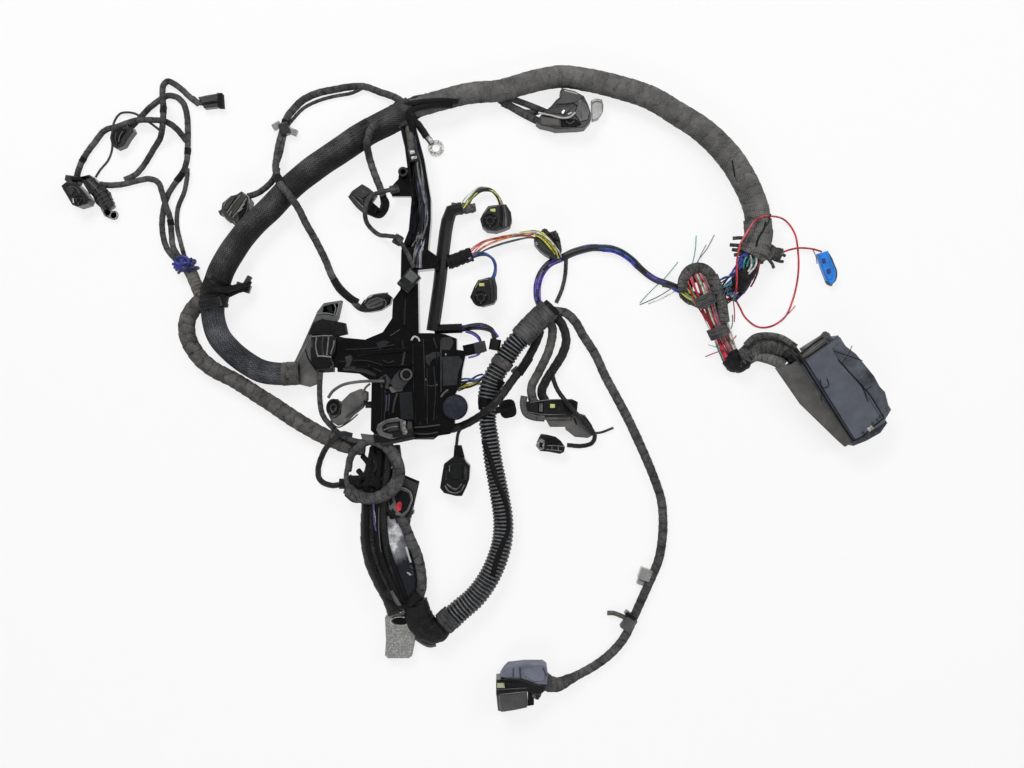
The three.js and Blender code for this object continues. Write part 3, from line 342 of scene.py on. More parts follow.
ECU_MOTTLED = moulded("ecu_mottled", (64, 67, 74), 0.6, 500.0, 0.35, 0.0, 0.35, 0.2)
# Pale lines laid along the edges of plugs and frames: painted highlights at their bevels.
EDGE_HIGHLIGHT = moulded("painted_edge_highlight", (112, 112, 110), 0.5, 900.0, 0.3, 0.0, 0.0, 0.3)
PALE = moulded("pale_strap", (176, 176, 172), 0.5, 900.0, 0.2, 0.0, 0.0, 0.3)
PALE_LOCK = moulded("pale_lock", (176, 180, 148), 0.5, 900.0, 0.15, 0.0, 0.2, 0.3)
CLEAR = moulded("clear_clip", (134, 134, 132), 0.25, 500.0, 0.2, 0.5)
GREY_WORN = moulded("grey_worn", (84, 83, 82), 0.6, 700.0, 0.22, 0.0, 0.25, 0.2)
GREY_DARKER = moulded("grey_darker", (72, 72, 72), 0.55, 900.0, 0.12, 0.0, 0.1, 0.25)
OLIVE_DARK = moulded("olive_dark", (42, 42, 37), 0.45, 900.0, 0.25, 0.1, 0.15, 0.35)
# Blue-grey of the plates beside the cable's end plug, which fill a shadow on the floor: painted shadow.
SHADOW_BLUE_GREY = moulded("painted_shadow_blue_grey", (104, 106, 120), 0.55, 900.0, 0.14, 0.0, 0.15, 0.3)
BLUE_DARK = moulded("blue_grey_dark", (50, 50, 64), 0.5, 900.0, 0.2)
BLUE = moulded("blue_plastic", (18, 122, 212), 0.35, 700.0, 0.14, 0.1)
YELLOW = moulded("yellow_lock", (196, 198, 120), 0.45, 700.0, 0.12)
SEAL_RED = moulded("seal_red", (172, 40, 52), 0.45, 700.0, 0.25)
NAVY = moulded("navy_nylon", (36, 39, 104), 0.4, 300.0, 0.5)
# The conduit's dark grooves and pale crests are painted shade and painted highlight.
CONDUIT = ridged_plastic("conduit_plastic", (12, 12, 13), (44, 45, 47), (104, 105, 108), CONDUIT_PITCH)
# The upper sleeve has one side darkened as painted shade.
BRAID = braided("braid", (44, 44, 45), side_shade=0.22)
BRAID_END = braided("braid_lower", (48, 49, 52), 28, 0.010)
# All cloth tape materials darken their creases as painted shade; here it is weaker.
CLOTH = cloth_tape("cloth_tape", (102, 101, 100), 0.20, crease=0.0125, crease_shade_depth=0.14)
CLOTH_LIGHT = cloth_tape("cloth_tape_light", (124, 121, 114), crease=0.004)
LOOM_TAPE = cloth_tape("loom_tape", (94, 92, 90), 0.24, crease=0.011)
CUFF_TAPE = cloth_tape("cuff_tape", (80, 80, 80), 0.3, crease=0.0042)
DARK_TAPE = cloth_tape("dark_tape", (34, 34, 36), spread=0.4, roughness=0.7, shine=0.15)
GREY_TAPE = cloth_tape("grey_tape", (118, 117, 116), spread=0.2, crease=0.008)
WORN_TAPE = cloth_tape("worn_tape", (92, 91, 90), spread=0.42, crease=0.006)
CORD_TAPE = cloth_tape("cord_tape", (86, 86, 86), spread=0.32, crease=0.009)
BLACK_TAPE = cloth_tape("black_tape", (12, 12, 13), spread=0.5, roughness=0.6, shine=0.06)
ALUMINIUM = rough_metal("aluminium", (150, 150, 146), 0.5, 900.0, 0.0004)
TINNED = rough_metal("tinned", (190, 190, 186), 0.3, 500.0, 0.0001)
# FILM has a pale glare painted into its colour round one place: painted highlight.
FILM = painted_glare_film("dark_film_painted_glare", (30, 33, 41), -0.089, -0.154, 0.046)
WIRES = {
    "violet": insulation("wire_violet", (88, 80, 186)),
    "blue": insulation("wire_blue", (60, 96, 170)),
    "teal": insulation("wire_teal", (62, 158, 146)),
    "red": insulation("wire_red", (200, 56, 70)),
    "crimson": insulation("wire_crimson", (168, 36, 62)),
    "pink": insulation("wire_pink", (206, 92, 120)),
    "white": insulation("wire_white", (214, 214, 206)),
    "green": insulation("wire_green", (130, 170, 120)),
    "yellow": insulation("wire_yellow", (212, 204, 92)),
    "orange": insulation("wire_orange", (226, 138, 82)),
    "black": insulation("wire_black", (34, 34, 38)),
    "grey": insulation("wire_grey", (120, 122, 124)),
    "slate": insulation("wire_slate", (62, 68, 92)),
    "mauve": insulation("wire_mauve", (112, 92, 150)),
    "brown": insulation("wire_brown", (120, 70, 56)),
}


# Curves and lofts

def centripetal(points, per_span=24):
    """The curve through the points that the solids follow: a centripetal Catmull-Rom."""
    if len(points) == 2:
        first = points[0] * 2 - points[1]
        last = points[1] * 2 - points[0]
    else:
        first = points[0] * 2 - points[1]
        last = points[-1] * 2 - points[-2]
    padded = [first, *points, last]
    out = []
    for i in range(len(points) - 1):
        p0, p1, p2, p3 = padded[i : i + 4]
        t1 = max((p1 - p0).length, 1e-6) ** 0.5
        t2 = t1 + max((p2 - p1).length, 1e-6) ** 0.5
        t3 = t2 + max((p3 - p2).length, 1e-6) ** 0.5
        for step in range(per_span):
            t = t1 + (t2 - t1) * step / per_span
            a1 = p0 * ((t1 - t) / t1) + p1 * (t / t1)
            a2 = p1 * ((t2 - t) / (t2 - t1)) + p2 * ((t - t1) / (t2 - t1))
            a3 = p2 * ((t3 - t) / (t3 - t2)) + p3 * ((t - t2) / (t3 - t2))
            b1 = a1 * ((t2 - t) / t2) + a2 * (t / t2)
            b2 = a2 * ((t3 - t) / (t3 - t1)) + a3 * ((t - t1) / (t3 - t1))
            out.append(b1 * ((t2 - t) / (t2 - t1)) + b2 * ((t - t1) / (t2 - t1)))
    out.append(points[-1].copy())
    return out


class Run:
    """A route's smooth centre line, sampled by length."""

    def __init__(self, route, radius):
        self.radius = radius
        points = []
        for x, y, *lift in route:
            points.append(Vector((x, y, radius + (lift[0] if lift else 0.0))) - PRINT_MIDDLE)
        self.points = centripetal(points)
        for point in self.points:
            point.z = max(point.z, radius)
        self.at = [0.0]
        for before, after in zip(self.points, self.points[1:]):
            self.at.append(self.at[-1] + (after - before).length)
        self.length = self.at[-1]

    def place(self, s):
        """Point, forward, sideways and upward at s metres along."""
        s = min(max(s, 0.0), self.length)
        low, high = 0, len(self.at) - 1
        while high - low > 1:
            middle = (low + high) // 2
            if self.at[middle] <= s:
                low = middle
            else:
                high = middle
        span = max(self.at[high] - self.at[low], 1e-9)
        point = self.points[low].lerp(self.points[high], (s - self.at[low]) / span)
        before = self.points[max(low - 1, 0)]
        after = self.points[min(high + 1, len(self.points) - 1)]
        forward = (after - before).normalized()
        side = Vector((0, 0, 1)).cross(forward).normalized()
        return point, forward, side, forward.cross(side)

    def stretch(self, start, end):
        """The points of a part of the run, close together."""
        steps = max(3, int((end - start) / 0.002))
        return [self.place(start + (end - start) * i / steps)[0] for i in range(steps + 1)]


def smooth_noise(seed):
    """A gentle wave of s, between about -1 and 1, the same on each run of the script."""
    draw = random.Random(seed)
    waves = [(draw.uniform(18, 60), draw.uniform(0, math.tau), 0.5) for _ in range(3)]
    waves += [(draw.uniform(90, 260), draw.uniform(0, math.tau), 0.25) for _ in range(3)]
    return lambda s: sum(size * math.sin(rate * s + phase) for rate, phase, size in waves) / 1.5



class Piece:
    """Tubes, blocks and turned parts gathered into one object, each with its own material."""

    def __init__(self, name):
        self.name = name
        self.vertices, self.faces, self.uvs, self.looks, self.index = [], [], [], [], []

    def add(self, vertices, faces, material, uvs=None):
        base = len(self.vertices)
        self.vertices += vertices
        if material not in self.looks:
            self.looks.append(material)
        look = self.looks.index(material)
        for face in faces:
            self.faces.append(tuple(base + i for i in face))
            self.index.append(look)
        self.uvs += uvs or [(0.0, 0.0)] * sum(len(face) for face in faces)
        return self

    def rings(self, rings, material, uv_of=None, closed=True):
        """A skin over rings of points, with a cap on each end. uv_of(i, k) is ring i's UV at corner k."""
        sides = len(rings[0])
        uv_of = uv_of or (lambda i, k: (k / sides, i * 0.002))
        vertices = [v for ring in rings for v in ring]
        faces, uvs = [], []
        for i in range(len(rings) - 1):
            for k in range(sides):
                n = (k + 1) % sides
                faces.append((i * sides + k, i * sides + n, (i + 1) * sides + n, (i + 1) * sides + k))
                uvs += [uv_of(i, k), uv_of(i, k + 1), uv_of(i + 1, k + 1), uv_of(i + 1, k)]
        if closed:
            last = (len(rings) - 1) * sides
            faces.append(tuple(range(sides))[::-1])
            faces.append(tuple(last + k for k in range(sides)))
            uvs += [uv_of(0, 0)] * sides + [uv_of(len(rings) - 1, 0)] * sides
        return self.add(vertices, faces, material, uvs)

    def loft(self, run, radius_at, material, sides=16, step=0.0015, start=0.0, end=None, squash=1.0):
        """A tube along a run. radius_at(s, turn) is its radius at s metres and at a turn of 0 to 1."""
        end = run.length if end is None else end
        count = max(2, int((end - start) / step))
        places = [start + (end - start) * i / count for i in range(count + 1)]
        rings = []
        for s in places:
            centre, _, side, up = run.place(s)
            ring = []
            for k in range(sides):
                a = math.tau * k / sides
                radius = radius_at(s, k / sides)
                point = centre + side * (math.cos(a) * radius) + up * (math.sin(a) * radius * squash)
                point.z = max(point.z, 0.0002)
                ring.append(point)
            rings.append(ring)
        return self.rings(rings, material, lambda i, k: (k / sides, places[i]))

    def tube(self, points, radius, material, sides=7):
        """A thin round tube through points in space."""
        rings = []
        side = Vector((0.3, 0.2, 1.0))
        for i, point in enumerate(points):
            forward = (points[min(i + 1, len(points) - 1)] - points[max(i - 1, 0)]).normalized()
            side = (side - forward * side.dot(forward)).normalized()
            other = forward.cross(side)
            ring = []
            for k in range(sides):
                a = math.tau * k / sides
                corner = point + (side * math.cos(a) + other * math.sin(a)) * radius
                corner.z = max(corner.z, 0.0002)
                ring.append(corner)
            rings.append(ring)
        return self.rings(rings, material)

    def block(self, place, angle, size, material, corner=0.001, edge=0.0006, tilt=0.0):
        """A block with rounded corners and a chamfered top: place is its bottom middle, size is x, y, z."""
        x, y, z = size
        corner = min(corner, 0.45 * min(x, y))
        edge = min(edge, 0.3 * min(x, y), 0.4 * z)
        outline = []
        for cx, cy, first in ((1, 1, 0), (-1, 1, 90), (-1, -1, 180), (1, -1, 270)):
            for part in range(4):
                a = math.radians(first + 30 * part)
                outline.append((cx * (x / 2 - corner) + corner * math.cos(a),
                                cy * (y / 2 - corner) + corner * math.sin(a)))
        turn = math.radians(angle)
        rings = []
        for height, inset in ((0.0, 0.0), (z - edge, 0.0), (z, edge)):
            ring = []
            for px, py in outline:
                px -= math.copysign(inset, px)
                py -= math.copysign(inset, py)
                lift = height + px * math.tan(math.radians(tilt))
                ring.append(place + Vector((px * math.cos(turn) - py * math.sin(turn),
                                            px * math.sin(turn) + py * math.cos(turn), lift)))
            rings.append(ring)
        return self.rings(rings, material)

    def turned(self, place, axis, profile, material, sides=24):
        """A turned part: profile is a list of (distance along the axis, radius)."""
        axis = Vector(axis).normalized()
        side = axis.orthogonal().normalized()
        other = axis.cross(side)
        rings = []
        for along, radius in profile:
            rings.append([place + axis * along + (side * math.cos(math.tau * k / sides)
                          + other * math.sin(math.tau * k / sides)) * max(radius, 0.00005)
                          for k in range(sides)])
        return self.rings(rings, material)

    def slab(self, outline, bottom, top, material, edge=0.0005):
        """A flat plate of any outline, with a chamfered top edge."""
        count = len(outline)
        area = sum(outline[k - 1][0] * outline[k][1] - outline[k][0] * outline[k - 1][1] for k in range(count))
        if area < 0:
            outline = outline[::-1]
        points = [spot(x, y, 0.0) for x, y in outline]
        inner = []
        for k in range(count):
            before, here, after = points[k - 1], points[k], points[(k + 1) % count]
            a, b = (here - before).normalized(), (after - here).normalized()
            normal = Vector((-(a.y + b.y), a.x + b.x, 0.0)).normalized()
            inner.append(here + normal * edge)
        rings = [[p + Vector((0, 0, bottom)) for p in points],
                 [p + Vector((0, 0, top - edge)) for p in points],
                 [p + Vector((0, 0, top)) for p in inner]]
        return self.rings(rings, material)

    def build(self, slot, smooth=True):
        mesh = bpy.data.meshes.new(self.name)
        mesh.from_pydata([tuple(v) for v in self.vertices], [], self.faces)
        layer = mesh.uv_layers.new(name="UVMap")
        layer.data.foreach_set("uv", [c for uv in self.uvs for c in uv])
        for look in self.looks:
            mesh.materials.append(look)
        mesh.polygons.foreach_set("material_index", self.index)
        mesh.polygons.foreach_set("use_smooth", [smooth] * len(mesh.polygons))
        mesh.update()
        if smooth:
            mesh.set_sharp_from_angle(angle=math.radians(38))
        piece = bpy.data.objects.new(self.name, mesh)
        bpy.context.scene.collection.objects.link(piece)
        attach(piece, ROOT)
        return piece


def spot(x, y, z=0.0):
    return Vector((x, y, z)) - PRINT_MIDDLE


def wound(radius, pitch, lip, seed, lumps=0.04):
    """Radius of a tape winding: each turn laps over the last by a lip, over a lumpy core."""
    core = smooth_noise(seed)
    drift = smooth_noise(seed + 1000)

    def at(s, turn):
        phase = s / pitch + turn + 0.35 * drift(s)
        lap = phase - math.floor(phase)
        base = radius(s) if callable(radius) else radius
        bulge = 1 + lumps * core(s + 0.01 * math.sin(turn * math.tau + seed))
        return base * bulge * 0.985 + lip * (0.5 - lap)

    return at


def plain(radius, seed=0, lumps=0.015):
    core = smooth_noise(seed)
    return lambda s, turn: radius * (1 + lumps * core(s))


def ridged(radius, pitch, depth, slit=None):
    """Radius of a ridged conduit: rounded ridges, narrow grooves, and a slit along it if it has one."""

    def at(s, turn):
        wave = 0.5 - 0.5 * math.cos(math.tau * s / pitch)
        r = radius(s) - depth * (1 - wave ** 0.45)
        if slit is not None:
            gap = abs((turn - slit(s) + 0.5) % 1 - 0.5)
            if gap < 0.035:
                r -= 0.0014
        return r

    return at


def declare(run):
    """Samples points along the whole run; the result is not kept."""
    path = run.stretch(0.0, run.length)


# Routes: points on the middle line of each run, with the lift off the floor where it has one

SLEEVE_ROUTE = [
  (-0.069, 0.310), (-0.093, 0.297), (-0.120, 0.283), (-0.147, 0.265), (-0.175, 0.246),
  (-0.202, 0.224), (-0.223, 0.202), (-0.245, 0.181), (-0.262, 0.159), (-0.276, 0.135),
  (-0.282, 0.118),
]
SLEEVE_END_ROUTE = [
  (-0.285, 0.104), (-0.286, 0.086), (-0.280, 0.064), (-0.267, 0.048), (-0.251, 0.035),
  (-0.233, 0.025), (-0.213, 0.022), (-0.191, 0.023),
]
TAPE_ROUTE = [
  (-0.069, 0.310), (-0.039, 0.319), (-0.006, 0.327), (0.027, 0.330), (0.059, 0.339), (0.092, 0.345),
  (0.124, 0.341), (0.157, 0.333), (0.190, 0.322), (0.222, 0.303), (0.244, 0.289), (0.266, 0.269),
  (0.282, 0.249), (0.296, 0.224), (0.305, 0.200), (0.307, 0.176),
]
LOOM_ROUTE = [
  (-0.298, 0.104), (-0.309, 0.092), (-0.315, 0.079), (-0.314, 0.061), (-0.304, 0.043),
  (-0.288, 0.028), (-0.263, 0.015), (-0.241, 0.001), (-0.219, -0.013), (-0.197, -0.028),
  (-0.175, -0.041), (-0.154, -0.051), (-0.137, -0.057), (-0.121, -0.058),
]
STUB_ROUTE = [
  (-0.315, 0.140), (-0.308, 0.125), (-0.301, 0.107), (-0.298, 0.098),
]
LOWER_ROUTE = [
  (-0.103, -0.054), (-0.108, -0.072), (-0.113, -0.094), (-0.114, -0.115), (-0.115, -0.137),
  (-0.115, -0.159), (-0.111, -0.181), (-0.102, -0.203), (-0.092, -0.222), (-0.086, -0.238),
]
SHEATH_ROUTE = [
  (-0.098, -0.137, 0.003), (-0.092, -0.153, 0.003), (-0.086, -0.175, 0.003),
  (-0.080, -0.197, 0.003), (-0.077, -0.216, 0.003), (-0.078, -0.235, 0.003),
]
CONDUIT_UPPER_ROUTE = [
  (0.053, 0.064), (0.044, 0.056), (0.032, 0.039), (0.022, 0.023), (0.016, 0.010), (0.013, -0.005),
]
CONDUIT_UPPER_CUFF = [
  (0.080, 0.092), (0.070, 0.083), (0.059, 0.072), (0.049, 0.061),
]
CONDUIT_LOWER_ROUTE = [
  (0.015, -0.014), (0.013, -0.028), (0.016, -0.050), (0.019, -0.072), (0.023, -0.093),
  (0.027, -0.115), (0.030, -0.137), (0.029, -0.159), (0.023, -0.181), (0.013, -0.202),
  (-0.001, -0.221), (-0.017, -0.235), (-0.028, -0.245),
]
CONDUIT_LOWER_CUFF = [
  (-0.025, -0.241), (-0.035, -0.250),
]
ELBOW_ROUTE = [
  (-0.038, -0.252), (-0.047, -0.259), (-0.055, -0.251), (-0.059, -0.237), (-0.062, -0.224),
]
BOOT_ROUTE = [
  (0.306, 0.189), (0.307, 0.172), (0.302, 0.152),
]
FAN_ROUTE = [
  (0.301, 0.152), (0.295, 0.138), (0.285, 0.122), (0.274, 0.108),
]
KNOT_ROUTE = [
  (0.273, 0.103), (0.258, 0.100), (0.242, 0.103), (0.230, 0.110), (0.232, 0.124), (0.241, 0.130),
  (0.253, 0.128), (0.259, 0.115, 0.010), (0.260, 0.106, 0.013),
]
BUNDLE_ROUTE = [
  (0.260, 0.094), (0.263, 0.081), (0.268, 0.068), (0.272, 0.054), (0.278, 0.040),
]
ECU_LEAD_ROUTE = [
  (0.280, 0.037), (0.288, 0.034), (0.296, 0.044), (0.308, 0.051), (0.324, 0.052), (0.340, 0.047),
  (0.353, 0.035),
]
CABLE_ROUTE = [
  (0.085, 0.091), (0.098, 0.089), (0.109, 0.079), (0.117, 0.065), (0.131, 0.043), (0.141, 0.021),
  (0.156, -0.007), (0.167, -0.028), (0.185, -0.067), (0.196, -0.094), (0.203, -0.116),
  (0.205, -0.138), (0.204, -0.160), (0.200, -0.182), (0.191, -0.204), (0.183, -0.222),
  (0.174, -0.242), (0.163, -0.266), (0.149, -0.283), (0.131, -0.297), (0.109, -0.309),
  (0.087, -0.317), (0.077, -0.320),
]
SENSOR_LEAD_UPPER_LEFT_ROUTE = [
  (-0.073, 0.313, 0.010), (-0.088, 0.324, 0.004), (-0.105, 0.331), (-0.122, 0.337), (-0.136, 0.337),
  (-0.154, 0.334), (-0.173, 0.330), (-0.190, 0.322), (-0.200, 0.312), (-0.207, 0.303),
  (-0.210, 0.294), (-0.214, 0.281), (-0.217, 0.268), (-0.217, 0.255, 0.008), (-0.215, 0.242, 0.020),
  (-0.208, 0.225, 0.029), (-0.198, 0.212, 0.029), (-0.191, 0.201, 0.020), (-0.185, 0.186, 0.008),
  (-0.176, 0.169), (-0.165, 0.147), (-0.159, 0.132), (-0.151, 0.118), (-0.140, 0.107),
  (-0.130, 0.100),
]
SENSOR_PAIR_ROUTE = [
  (-0.123, 0.336, 0.002), (-0.136, 0.330, 0.002), (-0.155, 0.327), (-0.173, 0.322), (-0.189, 0.314),
  (-0.199, 0.304), (-0.206, 0.294, 0.002), (-0.210, 0.278, 0.004), (-0.212, 0.262, 0.009),
  (-0.216, 0.249, 0.012),
]
RIBBED_PLUG_LEAD_ROUTE = [
  (-0.214, 0.244, 0.018), (-0.219, 0.235, 0.010), (-0.229, 0.227, 0.002), (-0.240, 0.220),
  (-0.250, 0.217),
]
UPPER_SENSOR_LEAD_ROUTE = [
  (-0.104, 0.291, 0.029), (-0.111, 0.284, 0.029), (-0.116, 0.271, 0.024), (-0.117, 0.262, 0.006),
  (-0.115, 0.253), (-0.111, 0.241), (-0.105, 0.226), (-0.101, 0.213), (-0.102, 0.203),
  (-0.108, 0.197),
]
THIN_BRANCH_LEAD_ROUTE = [
  (-0.083, 0.222, 0.015), (-0.093, 0.221, 0.016), (-0.103, 0.218, 0.019), (-0.112, 0.213, 0.024),
  (-0.117, 0.205, 0.024), (-0.119, 0.193, 0.020), (-0.117, 0.184, 0.006), (-0.107, 0.175, 0.002),
  (-0.095, 0.172, 0.012), (-0.084, 0.168, 0.023), (-0.078, 0.160, 0.023), (-0.071, 0.148, 0.023),
  (-0.066, 0.136, 0.023),
]
RING_TERMINAL_LEAD_ROUTE = [
  (-0.069, 0.298, 0.014), (-0.063, 0.294, 0.008), (-0.058, 0.288), (-0.054, 0.282),
]
LEFT_CORD_OUTER_ROUTE = [
  (-0.327, 0.145), (-0.339, 0.160), (-0.344, 0.180), (-0.343, 0.200), (-0.338, 0.218),
  (-0.330, 0.231), (-0.321, 0.244), (-0.317, 0.257), (-0.316, 0.273), (-0.316, 0.290),
  (-0.317, 0.306), (-0.321, 0.319), (-0.329, 0.326), (-0.339, 0.327), (-0.349, 0.321),
  (-0.360, 0.312), (-0.368, 0.303), (-0.377, 0.294), (-0.385, 0.283),
]
LEFT_CORD_MIDDLE_ROUTE = [
  (-0.322, 0.145), (-0.332, 0.161), (-0.334, 0.178), (-0.335, 0.193, 0.002), (-0.338, 0.206, 0.007),
  (-0.342, 0.220, 0.007), (-0.347, 0.231, 0.004), (-0.358, 0.236), (-0.371, 0.234), (-0.388, 0.230),
  (-0.404, 0.229), (-0.412, 0.230),
]
LEFT_CORD_TO_BLOCK_ROUTE = [
  (-0.316, 0.276), (-0.327, 0.290, 0.007), (-0.338, 0.297, 0.007), (-0.355, 0.299, 0.007),
  (-0.372, 0.298, 0.007), (-0.390, 0.292, 0.007), (-0.407, 0.289), (-0.418, 0.276), (-0.427, 0.264),
  (-0.434, 0.251), (-0.438, 0.238),
]
LEFT_THIN_CORD_ROUTE = [
  (-0.345, 0.288, 0.004), (-0.354, 0.295, 0.007), (-0.365, 0.302, 0.007), (-0.373, 0.307, 0.004),
  (-0.383, 0.309, 0.002), (-0.391, 0.308), (-0.395, 0.297, 0.007), (-0.398, 0.288, 0.004),
  (-0.400, 0.268), (-0.404, 0.257), (-0.413, 0.246), (-0.418, 0.238),
]
LEFT_THIRD_CORD_ROUTE = [
  (-0.318, 0.145, 0.001), (-0.324, 0.166), (-0.328, 0.184), (-0.327, 0.204), (-0.320, 0.222),
  (-0.316, 0.239, 0.003), (-0.316, 0.247, 0.003),
]
LEFT_CORD_TO_SENSOR_ROUTE = [
  (-0.385, 0.235), (-0.373, 0.241), (-0.365, 0.250), (-0.358, 0.261), (-0.352, 0.271),
  (-0.345, 0.280, 0.004), (-0.339, 0.295, 0.014), (-0.339, 0.311, 0.012), (-0.343, 0.327, 0.002),
  (-0.343, 0.338), (-0.338, 0.343), (-0.325, 0.336), (-0.314, 0.326), (-0.304, 0.318),
]
BRACKET_PLUG_LEAD_ROUTE = [
  (-0.168, 0.024, 0.014), (-0.169, 0.015, 0.012), (-0.171, 0.004, 0.003), (-0.171, -0.009),
  (-0.168, -0.023), (-0.158, -0.036), (-0.141, -0.046, 0.019), (-0.127, -0.051, 0.019),
  (-0.111, -0.050, 0.023), (-0.102, -0.047, 0.023),
]
LOOP_PLUG_LEAD_ROUTE = [
  (-0.133, -0.045, 0.019), (-0.144, -0.043, 0.019), (-0.154, -0.050, 0.016), (-0.167, -0.064),
  (-0.173, -0.083), (-0.171, -0.094), (-0.160, -0.100), (-0.145, -0.099),
]
COILED_RING_LEAD_ROUTE = [
  (-0.139, -0.083, 0.006), (-0.135, -0.068, 0.014), (-0.126, -0.057, 0.021),
  (-0.113, -0.051, 0.026), (-0.100, -0.055, 0.026), (-0.090, -0.066, 0.024),
  (-0.086, -0.082, 0.015), (-0.087, -0.092, 0.022), (-0.096, -0.103, 0.024),
  (-0.111, -0.110, 0.024), (-0.126, -0.107, 0.024), (-0.136, -0.101, 0.015),
]
FILM_SIDE_LEAD_ROUTE = [
  (-0.081, -0.133, 0.014), (-0.076, -0.143, 0.014), (-0.070, -0.158, 0.013),
  (-0.063, -0.174, 0.012), (-0.059, -0.191, 0.012), (-0.058, -0.207, 0.012),
  (-0.063, -0.224, 0.009), (-0.070, -0.235, 0.007),
]
SIDE_LOOM_ROUTE = [
  (-0.030, -0.039, 0.008), (-0.022, -0.037, 0.002), (-0.011, -0.033), (0.003, -0.025, 0.006),
  (0.016, -0.015, 0.024), (0.027, -0.003, 0.024), (0.040, 0.015, 0.014), (0.054, 0.034),
  (0.066, 0.056), (0.071, 0.070),
]
FLAT_STRAP_LEAD_ROUTE = [
  (0.080, 0.083), (0.084, 0.070), (0.080, 0.048), (0.070, 0.026), (0.061, 0.007), (0.064, -0.009),
  (0.072, -0.015),
]
STRAP_LEAD_BLACK_ROUTE = [
  (0.088, 0.085), (0.095, 0.075), (0.099, 0.059), (0.095, 0.044), (0.086, 0.029), (0.077, 0.015),
  (0.072, 0.002), (0.076, -0.008),
]
SILVER_PLUG_LEAD_ROUTE = [
  (0.087, 0.035, 0.010), (0.084, 0.022, 0.006), (0.088, 0.007, 0.009), (0.098, -0.008, 0.018),
  (0.111, -0.023, 0.018), (0.124, -0.037, 0.016), (0.130, -0.046, 0.006), (0.127, -0.054),
  (0.116, -0.057), (0.100, -0.056),
]
INJECTOR_LEAD_ROUTE = [
  (-0.013, -0.034, 0.003), (-0.019, -0.042), (-0.021, -0.053), (-0.022, -0.070),
]
VIOLET_BUNDLE_ROUTE = [
  (0.070, 0.096, 0.008), (0.067, 0.106), (0.067, 0.120), (0.071, 0.132), (0.080, 0.143),
  (0.092, 0.149), (0.109, 0.156), (0.125, 0.160), (0.136, 0.160), (0.153, 0.158), (0.169, 0.149),
  (0.180, 0.138), (0.196, 0.126), (0.213, 0.120), (0.227, 0.114),
]
THIN_GREY_CORD_ROUTE = [
  (0.099, 0.152), (0.098, 0.131), (0.094, 0.114), (0.088, 0.100),
]
BRANCH_PLUG_LEAD_ROUTE = [
  (0.029, 0.319), (0.041, 0.314), (0.056, 0.308), (0.071, 0.311),
]
COIL_LEAD_UPPER_ROUTE = [
  (-0.017, 0.204, 0.005), (-0.010, 0.206, 0.006), (-0.004, 0.215, 0.006), (0.006, 0.223, 0.008),
  (0.016, 0.223, 0.008), (0.024, 0.215, 0.008), (0.028, 0.203, 0.008),
]
COIL_LEAD_MIDDLE_ROUTE = [
  (-0.006, 0.151, 0.006), (0.005, 0.154, 0.006), (0.016, 0.150, 0.006), (0.021, 0.139, 0.006),
  (0.018, 0.126, 0.006),
]
COIL_LEAD_BRANCH_ROUTE = [
  (-0.001, 0.153, 0.006), (0.008, 0.160, 0.009), (0.021, 0.166, 0.012), (0.043, 0.172, 0.012),
  (0.057, 0.172, 0.012), (0.070, 0.168, 0.010),
]
RED_WIRE_LOOP_ROUTE = [
  (0.282, 0.105, 0.010), (0.281, 0.117, 0.027), (0.280, 0.141, 0.033), (0.283, 0.159, 0.034),
  (0.292, 0.175, 0.034), (0.301, 0.187, 0.033), (0.318, 0.192, 0.022), (0.339, 0.190, 0.004),
  (0.350, 0.177), (0.354, 0.156), (0.354, 0.131), (0.348, 0.103), (0.339, 0.084), (0.323, 0.074),
  (0.309, 0.074), (0.296, 0.084), (0.290, 0.095), (0.286, 0.102, 0.001),
]
BLUE_PLUG_WIRE_ROUTE = [
  (0.330, 0.153, 0.008), (0.344, 0.158, 0.006), (0.355, 0.160, 0.004), (0.368, 0.159, 0.004),
  (0.379, 0.156, 0.004),
]

# Leads and cords

